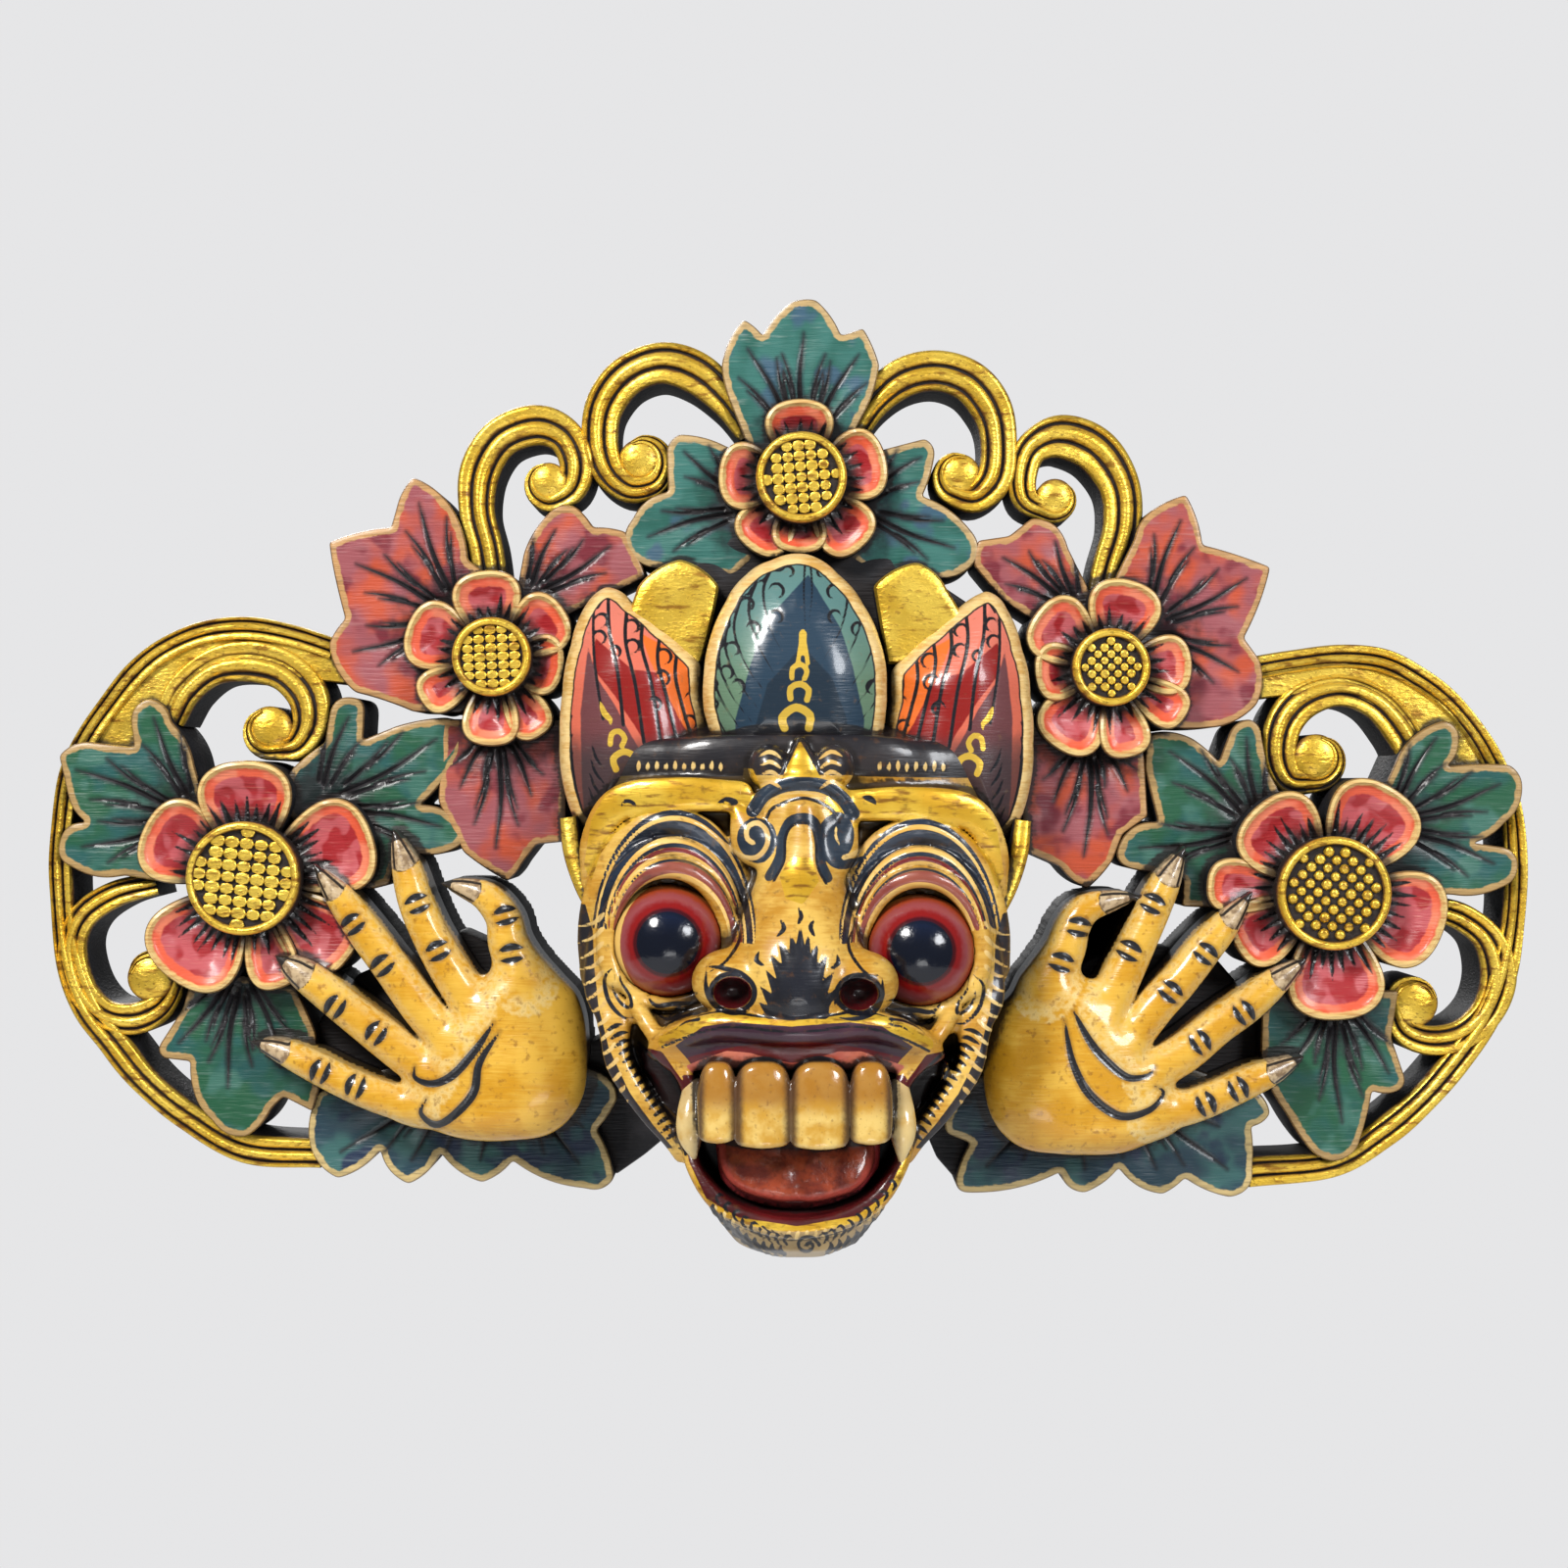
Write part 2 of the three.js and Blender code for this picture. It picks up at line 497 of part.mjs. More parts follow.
/** The three pointed petals of the crown, with the gilded corners that show between them. */
function crown() {
  const { crown: high } = HEIGHT
  return [
    stroke([[-62, -24, 12, high - 10], [-60, 0, 33, high - 2], [-58, 22, 42, high], [-56.5, 40, 36, high],
      [-58.5, 55, 21, high - 4], [-61, 66, 1, high - 8]], SECTION.shield, 6),
    stroke([[68, -20, 12, high - 10], [64, 0, 33, high - 2], [61, 22, 42, high], [60, 38, 36, high],
      [64, 53, 21, high - 4], [68, 64, 1, high - 8]], SECTION.shield, 6),
    stroke([[2.5, 0, 40, high + 8], [2.5, 20, 54, high + 8], [3, 38, 58, high + 7], [4, 54, 48, high + 4],
      [4.5, 67, 27, high], [5, 76.5, 1, high - 4]], SECTION.shield, 7),
    slab([[-30, 40], [-24, 67], [-37, 75], [-51, 66], [-60, 40]], HEIGHT.finger),
    slab([[64, 40], [52, 65], [42, 75], [27.5, 67], [32, 40]], HEIGHT.finger),
    slab([[-64, -26], [66, -26], [68, 56], [26, 84], [-20, 84], [-62, 56]], HEIGHT.leaf),
  ]
}

/** The ball of an eye and the ridges that arch over it. */
function eye([x, z]) {
  const ball = new THREE.SphereGeometry(EYE_RADIUS, 10, 6).translate(x, -80, z)
  const arch = []
  for (let degrees = -30; degrees <= 210; degrees += 30) {
    const turn = THREE.MathUtils.degToRad(degrees)
    arch.push([x + 25 * Math.cos(turn), z + 26 * Math.sin(turn), 12, 88 - 6 * Math.abs(Math.cos(turn))])
  }
  return [solidOf(ball), stroke(arch, SECTION.lip, 8)]
}

function brow() {
  return [
    stroke([[-61, -8, 7, 78], [-55, -3.5, 10, 82], [-36, -3.5, 10, 84], [-16, -4, 9, 82]], SECTION.slab, 3),
    stroke([[20, -4, 9, 82], [40, -3.5, 10, 84], [59, -3.5, 10, 82], [65, -8, 7, 78]], SECTION.slab, 3),
    stroke([[-54, 6, 8, 66], [-20, 7, 9, 74], [24, 7, 9, 74], [56, 6, 8, 66]], SECTION.lip, 3),
    stroke([[3, 14, 4, 80], [3.5, 6, 12, 84], [4, -4, 22, 84], [4, -18, 24, 84]], SECTION.dome, 3),
  ]
}

function nose() {
  const wing = (x, z) => solidOf(new THREE.SphereGeometry(11, 7, 5).translate(x, -97, z))
  return [
    stroke([[4, -14, 18, 86], [3, -32, 28, 93], [2, -48, 36, 104], [1.5, -62, 44, 114], [1.5, -72, 34, 108]],
      SECTION.dome, 6),
    wing(-18.5, -61.5),
    wing(21, -62),
  ]
}

function upperLipAndTeeth() {
  const teeth = [[-22.5, 9.5], [-9.2, 17], [8.7, 17.4], [23.7, 11]]
  return [
    stroke([[-42, -88, 8, 92], [-37, -79, 9, 100], [-20, -75.5, 9, 110], [1, -77, 9, 113],
      [22, -75.5, 9, 110], [40, -80, 9, 100], [45, -89, 8, 92]], SECTION.lip, 8),
    stroke([[-34, -86, 10, 100], [-15, -85, 11, 107], [17, -85, 11, 107], [36, -86, 10, 100]],
      SECTION.lip, 5),
    ...teeth.map(([x, width]) => stroke(
      [[x, -84, width, 111], [x, -98, width, 114], [x, -110.5, width - 1.5, 111]], SECTION.tooth, 2)),
    stroke([[-31, -88, 8, 106], [-30.5, -100, 7, 108], [-30, -115, 1, 104]], SECTION.finger, 4),
    stroke([[33.5, -88, 8, 106], [34, -100, 7, 108], [35, -115, 1, 104]], SECTION.finger, 4),
  ]
}

function lowerJaw() {
  return [
    stroke([[-33, -110, 5, 90], [-29, -123, 6, 97], [-18, -135, 6, 102], [2, -139.5, 6, 104],
      [23, -134, 6, 102], [33, -122, 6, 97], [37, -110, 5, 90]], SECTION.lip, 8),
    stroke([[2, -106, 36, 84], [2, -118, 46, 96], [2.5, -131, 42, 101]], SECTION.shield, 4),
    stroke([[-47, -74, 5, 92], [-40, -84, 5, 97], [-32, -96, 5, 100], [-34, -108, 4, 96]], SECTION.lip, 4),
    stroke([[49, -77, 5, 92], [43, -86, 5, 97], [36, -98, 5, 100], [38, -108, 4, 96]], SECTION.lip, 4),
  ]
}

/** What is cut out of the head: the mouth, the gaps at its corners, and the nostrils. */
function mouthCutters() {
  const opening = (corners, floor) => slab(corners, 140)
    .subtract(slab([[-100, -170], [100, -170], [100, 40], [-100, 40]], floor))
  return joined([
    opening([[-29, -112], [-25, -126, 1], [2, -134, 3], [28, -126, 3], [32, -112, 1]], 74),
    opening([[-49, -86], [-45, -97, 1], [-34, -106], [-36, -90, 1]], 78),
    opening([[40, -90, 1], [38, -107], [49, -97], [52, -87, 1]], 78),
  ])
}

function nostrils() {
  return joined([-18.5, 21.2].map((x) => solidOf(
    new THREE.SphereGeometry(3.4, 6, 5).scale(1, 1.6, 0.85).translate(x, -107.5, -65.6))))
}

// --------------------------------------------------------------------------------- the whole carving

function carving() {
  const eyes = [...eye([-39.5, -50.5]), ...eye([41.5, -53.5])]
  const face = joined([headMass(), ...crown(), ...eyes, ...brow(), ...nose()]).subtract(nostrils())
  const head = joined([face.subtract(mouthCutters()), ...upperLipAndTeeth(), ...lowerJaw()])
  const plaque = joined([
    ...scrolls(),
    ...LEAVES.map((shape) => leaf(shape, HEIGHT.leaf)),
    ...BLUE_LEAVES.map((shape) => leaf(shape, HEIGHT.blueLeaf)),
    ...BOARDS.map((corners) => slab(corners, HEIGHT.board)),
    ...FLOWERS.map(flower),
    ...hands(),
  ])
  const behindTheWall = solidOf(new THREE.BoxGeometry(600, 60, 400).translate(0, 30, 0))
  return plaque.add(head).subtract(behindTheWall)
}

/** A three.js mesh of a solid. */
function meshOf(solid, name, material) {
  const { vertProperties, triVerts } = solid.getMesh()
  const geometry = new THREE.BufferGeometry()
  geometry.setAttribute('position', new THREE.BufferAttribute(vertProperties, 3))
  geometry.setIndex(new THREE.BufferAttribute(triVerts, 1))
  const mesh = new THREE.Mesh(geometry, material)
  mesh.name = name
  return mesh
}

const gildedWood = new THREE.MeshStandardMaterial({ color: 0xc49a2c, roughness: 0.45, metalness: 0.3 })

const wallCarving = new THREE.Group()
wallCarving.add(meshOf(carving(), 'carving', gildedWood))

export default wallCarving
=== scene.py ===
"""The finish of a Balinese wall carving: the head of Boma between two raised hands, five flowers with
their leaves, and gilded scrolls, painted and varnished.

Sizes are millimetres until a mesh is made. A place on the carving is (x, z) with +X right and +Z up, and
its height is how far it stands forward of the flat back, which is the plane y = 0; the face looks to -Y.
"""

import math

import bpy
import numpy as np
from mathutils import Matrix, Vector
from mathutils.geometry import delaunay_2d_cdt


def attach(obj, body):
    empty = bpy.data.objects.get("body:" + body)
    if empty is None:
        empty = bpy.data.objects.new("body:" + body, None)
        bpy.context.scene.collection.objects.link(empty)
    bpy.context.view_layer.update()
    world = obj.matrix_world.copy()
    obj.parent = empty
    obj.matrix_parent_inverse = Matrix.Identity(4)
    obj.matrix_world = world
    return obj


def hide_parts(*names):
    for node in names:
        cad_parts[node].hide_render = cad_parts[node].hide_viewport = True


MM = 0.001
BACK_STEP = 0.04  # how much further in each back lies than the one before, so that no two share a plane
PETAL_STEP = 0.007  # the same for the petals of one flower
REACH, REST = 950.0, 30.0  # the distance and the height from which the lines on the head were laid out

# How high the layers of the carving stand, and how a crown petal's drawn size becomes its true size.
BOARD, GILT_BOARD, SCROLL, BLUE_LEAF, LEAF, PETAL, DISC = 24.0, 29.0, 31.0, 32.0, 35.0, 44.0, 50.0
GOLD_CORNER, SIDE_CROWN, CENTRE_CROWN = 51.0, 63.0, 70.0
SIDE_SCALE, CENTRE_SCALE = 0.966, 0.960

VARNISH = 0.6  # how much of the full coat every finish keeps
SHEEN = 0.32
# the near-black of the painted shade and grime in the hollows
HOLLOW_SHADE_AND_GRIME = (0.010, 0.007, 0.007)

FINGER_WIDTHS = [14, 13.5, 12.5, 12, 9.5, 1]
LITTLE_WIDTHS = [12, 11.5, 11, 10.5, 8, 1]
THUMB_WIDTHS = [16, 14, 12, 10, 7, 1]
FINGER_HEIGHTS = [54, 54, 53, 52, 50, 47]


# ------------------------------------------------------------------------------------ lines and outlines

def bowed_outline(corners, spacing=0.8, soften=2):
    """Points round an outline through corners (x, z, bulge): the side that reaches a corner bulges out."""
    points = []
    for start, corner in zip(corners, corners[1:] + corners[:1]):
        a, b = np.array(start[:2], float), np.array(corner[:2], float)
        run = b - a
        out = np.array([run[1], -run[0]]) / np.hypot(*run)
        bulge = corner[2] if len(corner) > 2 else 0.0
        control = (a + b) / 2 + out * 2 * bulge
        count = max(2, round(float(np.hypot(*run)) / spacing))
        t = np.arange(count)[:, None] / count
        points.append((1 - t) ** 2 * a + 2 * t * (1 - t) * control + t ** 2 * b)
    points = np.concatenate(points)
    for _ in range(soften):
        points = (np.roll(points, 1, 0) + 2 * points + np.roll(points, -1, 0)) / 4
    return points


def smooth_route(stations, spacing=1.0):
    """Rows through stations, a Catmull-Rom curve in as many numbers as a station has."""
    rows = np.array(stations, float)
    padded = np.vstack([2 * rows[0] - rows[1], rows, 2 * rows[-1] - rows[-2]])
    made = []
    for p0, p1, p2, p3 in zip(padded, padded[1:], padded[2:], padded[3:]):
        count = max(2, round(float(np.hypot(*(p2 - p1)[:2])) / spacing))
        t = np.arange(count)[:, None] / count
        made.append(0.5 * (2 * p1 + (p2 - p0) * t + (2 * p0 - 5 * p1 + 4 * p2 - p3) * t ** 2
                           + (3 * p1 - p0 - 3 * p2 + p3) * t ** 3))
    return np.vstack(made + [rows[-1:]])


def line_distance(points, line):
    """For each point, the distance to a polyline and the part of the line's length where it is met."""
    best = np.full(len(points), 1e9)
    where = np.zeros(len(points))
    lengths = np.hypot(*(line[1:] - line[:-1]).T)
    travelled = np.concatenate([[0], np.cumsum(lengths)])
    for i in range(len(line) - 1):
        run = line[i + 1] - line[i]
        t = np.clip(((points - line[i]) @ run) / max(float(run @ run), 1e-9), 0, 1)
        away = np.hypot(*(points - line[i] - t[:, None] * run).T)
        closer = away < best
        best[closer] = away[closer]
        where[closer] = ((travelled[i] + t * lengths[i]) / travelled[-1])[closer]
    return best, where


def outline_distance(points, outline):
    """Signed distance to a closed outline, negative inside."""
    outline = np.array(outline, float)
    away, _ = line_distance(points, np.vstack([outline, outline[:1]]))
    inside = np.zeros(len(points), bool)
    x, z = points.T
    for (x0, z0), (x1, z1) in zip(outline, np.roll(outline, -1, 0)):
        if z0 != z1:
            inside ^= ((z0 > z) != (z1 > z)) & (x < (x1 - x0) * (z - z0) / (z1 - z0) + x0)
    return np.where(inside, -away, away)


# How the half width of a painted or cut stroke changes along it.
TAPERS = {
    "even": lambda t: np.ones_like(t),
    "tail": lambda t: np.sqrt(np.clip(t / 0.06, 0.3, 1)) * np.clip(1 - t, 0, 1) ** 0.7,
    "arc": lambda t: np.sin(np.pi * np.clip(t, 0.02, 0.98)) ** 0.6,
}


def stroke_distance(points, strokes):
    """Signed distance to the nearest of some strokes (line, half width, taper), negative on a stroke."""
    near = np.full(len(points), 12.0)
    for line, half, taper in strokes:
        line = smooth_route(line, 1.5) if len(line) > 2 else np.array(line, float)
        close = ((points > line.min(0) - 8) & (points < line.max(0) + 8)).all(1)
        if close.any():
            away, t = line_distance(points[close], line)
            near[close] = np.minimum(near[close], away - half * TAPERS[taper](t))
    return near


def wobble(points, size=9.0, amount=1.0):
    """The slow unevenness of handwork, between about -amount and amount."""
    x, z = points.T / size
    return amount * (np.sin(x * 1.3 + np.sin(z * 1.7)) + np.sin(z * 1.9 + 1.3 * np.sin(x * 0.8 + 2))) / 2


# ----------------------------------------------------------------------------------------------- forms

class Form:
    """Points [x, height, z], faces, each face's kind and values at the points, before they are a mesh."""

    def __init__(self, points, faces, kinds=None, values=None):
        self.points = np.array(points, float)
        self.faces = [tuple(map(int, face)) for face in faces]
        self.kinds = list(kinds) if kinds is not None else [0] * len(self.faces)
        self.values = {label: np.array(v, float) for label, v in (values or {}).items()}

    def __add__(self, other):
        start = len(self.points)
        labels = set(self.values) | set(other.values)
        blank = {0: np.zeros(start), 1: np.zeros(len(other.points))}
        values = {label: np.concatenate([self.values.get(label, blank[0]), other.values.get(label, blank[1])])
                  for label in sorted(labels)}
        faces = self.faces + [tuple(i + start for i in face) for face in other.faces]
        return Form(np.vstack([self.points, other.points]), faces, self.kinds + other.kinds, values)


def joined(forms):
    whole = forms[0]
    for form in forms[1:]:
        whole = whole + form
    return whole


def added(name, mesh):
    """The object of a mesh, on the body that every piece of the carving shares."""
    piece = bpy.data.objects.new(name, mesh)
    bpy.context.scene.collection.objects.link(piece)
    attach(piece, "root")
    return piece


backed = []  # the names of the pieces that have a back on the wall, in the order of their making


def make_piece(name, form, finishes, sharp=40):
    """The finished piece of a form: its mesh, the values it is painted by, and its finishes by kind."""
    mesh = bpy.data.meshes.new(name)
    behind = BACK_STEP * len(backed)
    backed.append(name)
    points = form.points.copy()
    points[:, 1] += behind * (points[:, 1] < 0.5)
    mesh.from_pydata((points * (MM, -MM, MM)).tolist(), [], form.faces)
    for finish in finishes:
        mesh.materials.append(finish)
    mesh.materials.append(FINISHES["back"])
    middles = np.empty(len(mesh.polygons) * 3, np.float32)
    mesh.polygons.foreach_get("center", middles)
    kinds = np.where(middles[1::3] > -(behind + 0.3) * MM, len(finishes), np.array(form.kinds))
    mesh.polygons.foreach_set("material_index", kinds.astype(np.int32))
    for label, values in form.values.items():
        layer = mesh.attributes.new(label, "FLOAT", "POINT")
        layer.data.foreach_set("value", np.array(values, np.float32))
    mesh.polygons.foreach_set("use_smooth", np.ones(len(mesh.polygons), bool))
    mesh.update()
    mesh.set_sharp_from_angle(angle=math.radians(sharp))
    return added(name, mesh)


def staggered(low, high, spacing):
    """Points of a staggered grid over a rectangle."""
    rows = []
    for i, z in enumerate(np.arange(low[1], high[1] + spacing, spacing * 0.866)):
        x = np.arange(low[0] - (i % 2) * spacing / 2, high[0] + spacing, spacing)
        rows.append(np.column_stack([x, np.full_like(x, z)]))
    return np.vstack(rows)


def relief(outline, height, spacing=0.9, rounding=1.2, base=0.0, creases=(), marks=None):
    """A flat-backed form with the given outline. Its top follows height(points, depth from the edge) and
    has a rounded edge, and its walls go straight to the base. Creases are lines that get rows of points of
    their own. marks(points, depth) gives further values. Its wall and back are of kind 1."""
    tangent = np.roll(outline, -1, 0) - np.roll(outline, 1, 0)
    inward = np.column_stack([-tangent[:, 1], tangent[:, 0]]) / np.hypot(*tangent.T)[:, None]
    inner = [outline]
    for inset in (rounding * 0.35, rounding):
        ring = outline + inward * inset
        inner.append(ring[-outline_distance(ring, outline) > inset * 0.9])
    grid = staggered(outline.min(0), outline.max(0), spacing)
    grid = grid[-outline_distance(grid, outline) > rounding + spacing * 0.55]
    for crease in creases:
        crease = smooth_route(crease, spacing)
        away, _ = line_distance(grid, crease)
        grid = grid[away > 1.3]
        run = np.gradient(crease, axis=0)
        side = np.column_stack([-run[:, 1], run[:, 0]]) / np.hypot(*run.T)[:, None]
        for offset in (-0.9, 0, 0.9):
            row = crease + side * offset
            inner.append(row[-outline_distance(row, outline) > rounding + 0.4])
    count = len(outline)
    made = delaunay_2d_cdt([Vector(p) for p in np.vstack(inner + [grid])], [], [list(range(count))], 1, 1e-4)
    flat = np.array([tuple(v) for v in made[0]])
    first = {}
    for new, olds in enumerate(made[3]):
        for old in olds:
            first.setdefault(old, new)
    edge = [first[i] for i in range(count)]
    depth = np.maximum(-outline_distance(flat, outline), 0)
    depth[edge] = 0
    falling = np.clip(1 - depth / rounding, 0, 1)
    tops = height(flat, depth) - rounding * (1 - np.sqrt(np.maximum(1 - falling ** 2, 0)))
    points = np.vstack([np.column_stack([flat[:, 0], tops, flat[:, 1]]),
                        np.column_stack([flat[edge, 0], np.full(count, base), flat[edge, 1]])])
    corners = np.array([tuple(face) for face in made[2]])
    a, b, c = flat[corners[:, 0]], flat[corners[:, 1]], flat[corners[:, 2]]
    turned = np.cross(b - a, c - a) < 0
    corners[turned] = corners[turned][:, ::-1]
    faces = list(corners)
    for i in range(count):
        j = (i + 1) % count
        faces.append((edge[i], len(flat) + i, len(flat) + j, edge[j]))
    faces.append(tuple(len(flat) + i for i in reversed(range(count))))
    values = {"edge": depth}
    if marks:
        values.update(marks(flat, depth))
    values = {label: np.concatenate([v, v[edge]]) for label, v in values.items()}
    return Form(points, faces, [0] * len(corners) + [1] * (count + 1), values)


def sweep(route, profile):
    """A band along rows (x, z, width, height), with a profile of rows (part of the width, drop, cavity)."""
    run = np.gradient(route[:, :2], axis=0)
    side = np.column_stack([-run[:, 1], run[:, 0]]) / np.maximum(np.hypot(*run.T), 1e-6)[:, None]
    profile = np.array(profile, float)
    parts = np.concatenate([profile[:1, 0], profile[:, 0], profile[-1:, 0]])
    hollow = np.concatenate([[1.0], profile[:, 2], [1.0]])
    points = []
    for (x, z, width, top), (sx, sz) in zip(route, side):
        tops = top - profile[:, 1] * min(1.0, width / 8)
        heights = np.concatenate([[0.0], tops, [0.0]])
        points.append(np.column_stack([x + sx * parts * width, heights, z + sz * parts * width]))
    rows, count = len(parts), len(route)
    faces, kinds = [], []
    for i in range(count - 1):
        for j in range(rows):
            k = (j + 1) % rows
            faces.append((i * rows + j, (i + 1) * rows + j, (i + 1) * rows + k, i * rows + k))
            kinds.append(0 if 1 <= j < rows - 2 else 1)
    faces.append(tuple(range(rows)))
    faces.append(tuple((count - 1) * rows + j for j in reversed(range(rows))))
    return Form(np.vstack(points), faces, kinds + [0, 0], {"cavity": np.tile(hollow, count)})


def lathe(middle, profile, sides=72, wall=0):
    """A turned form from its middle outwards, with a profile of rows (radius, height, cavity). Its last
    step, down the wall, and its back are of the kind wall."""
    turns = np.arange(sides) * 2 * math.pi / sides
    points, cavity = [(middle[0], profile[0][1], middle[1])], [profile[0][2]]
    for r, h, hollow in profile[1:]:
        points += [(middle[0] + r * math.cos(t), h, middle[1] + r * math.sin(t)) for t in turns]
        cavity += [hollow] * sides
    rings = len(profile) - 1
    faces = [(0, 1 + s, 1 + (s + 1) % sides) for s in range(sides)]
    for k in range(rings - 1):
        for s in range(sides):
            a, b = 1 + k * sides + s, 1 + k * sides + (s + 1) % sides
            faces.append((a, a + sides, b + sides, b))
    faces.append(tuple(1 + (rings - 1) * sides + s for s in reversed(range(sides))))
    return Form(points, faces, [0] * (sides * (rings - 1)) + [wall] * (sides + 1), {"cavity": cavity})


def knob_form(middle, radius, top, fall, steps=7):
    """A round knob: a crowned top that falls away towards its edge, and a wall."""
    tilts = [math.pi / 2 * s / steps for s in range(steps + 1)]
    rows = [(radius * math.sin(tilt), top - fall * (1 - math.cos(tilt))) for tilt in tilts] + [(radius, 0.0)]
    # the cavity rises towards the falling edge, where the gilding paints shade
    profile = [(r, h, 0.7 * min(max(3 * r / radius - 2, 0), 1)) for r, h in rows]
    return lathe(middle, profile, sides=36, wall=1)


# ------------------------------------------------------------------------------- the outlines

SCROLLS = [
  {"name": "left_ring",
    "route": [[-156, 46, 8], [-170, 50.5, 8], [-185, 53, 8], [-200, 51.5, 8], [-213, 46, 8], [-223, 38, 8],
      [-232, 27, 8], [-240, 15, 8], [-246, 1, 8], [-248.5, -17, 8], [-248.5, -37, 8], [-246.5, -58, 9],
      [-240, -76, 10], [-231, -88, 10], [-220, -101.5, 10], [-206, -113, 10], [-186, -124, 10],
      [-160, -126, 10]],
  },
  {"name": "left_upper_volute",
    "knob": [-177.5, 18.5, 8],
    "route": [[-212, 22, 11], [-207, 32, 13], [-197, 40, 13], [-185, 42, 14], [-173, 39, 14],
      [-165, 31, 14], [-163.5, 21, 13], [-168, 13, 10], [-175, 11.5, 7]],
  },
  {"name": "left_lower_volute",
    "knob": [-218, -66, 8],
    "route": [[-216, -34, 8], [-230, -37.5, 9], [-241, -45, 10], [-245, -56, 10], [-242, -69, 10],
      [-234, -78, 10], [-224, -80, 11], [-215, -76, 10], [-210, -68, 8]],
  },
  {"name": "left_inner_arch",
    "knob": [-51.5, 110.5, 7],
    "route": [[-14, 119, 9], [-22, 131, 12], [-32, 140, 14], [-44, 143.5, 14], [-56, 139, 14],
      [-63.5, 129, 14], [-65, 117, 13], [-62, 106.5, 11], [-55, 100.5, 10], [-47, 101.5, 9]],
  },
  {"name": "left_outer_arch",
    "knob": [-82.5, 103, 6.5],
    "route": [[-102, 66, 12], [-104, 80, 12], [-107, 93, 13], [-106, 107, 14], [-99, 118, 14],
      [-87, 122.5, 14], [-77.5, 119, 13], [-73, 110, 12], [-74.5, 101, 10], [-81, 96.5, 8]],
  },
  {"name": "right_inner_arch",
    "knob": [57.5, 105.5, 7],
    "route": [[20, 117, 9], [28, 130, 12], [38, 138.5, 14], [50, 141, 14], [61.5, 137, 14],
      [69, 127, 14], [71, 115, 13], [69.5, 104, 12], [63, 97.5, 10], [55.5, 99, 9]],
  },
  {"name": "right_outer_arch",
    "knob": [90, 97.5, 6.5],
    "route": [[106, 62, 12], [109, 74, 12], [113, 88, 13], [112, 102, 14], [104, 114, 15],
      [92, 118.5, 15], [82.5, 114.5, 12], [79, 105.5, 10], [80, 97, 9], [86.5, 93, 8]],
  },
  {"name": "right_ring",
    "route": [[156, 39, 8], [170, 41.5, 8], [187, 43.5, 8], [202, 42, 8], [214, 36, 8], [224, 28.5, 8],
      [233, 18, 8], [240, 6, 8], [245.5, -8, 8], [247, -26, 8], [246.5, -46, 8], [243, -65, 9],
      [237, -80, 10], [227.5, -94, 10], [215, -108, 10], [202, -119, 10], [184, -129.5, 10],
      [156, -132.5, 10]],
  },
  {"name": "right_upper_volute",
    "knob": [179, 9, 8],
    "route": [[213, 6, 10], [209, 17, 12], [200, 27.5, 12], [188, 32, 12], [176, 29, 13], [168.5, 21, 13],
      [166.5, 10, 12], [170, 1.5, 10], [177, 0.5, 8]],
  },
  {"name": "right_lower_volute",
    "knob": [212, -74.5, 8.5],
    "route": [[218, -42, 8], [229, -45.5, 10], [238, -53, 11], [241.5, -65, 12], [238, -77, 12],
      [229, -85.5, 11], [218, -87.5, 10], [209, -84, 9], [205.5, -76, 8]],
  },
]

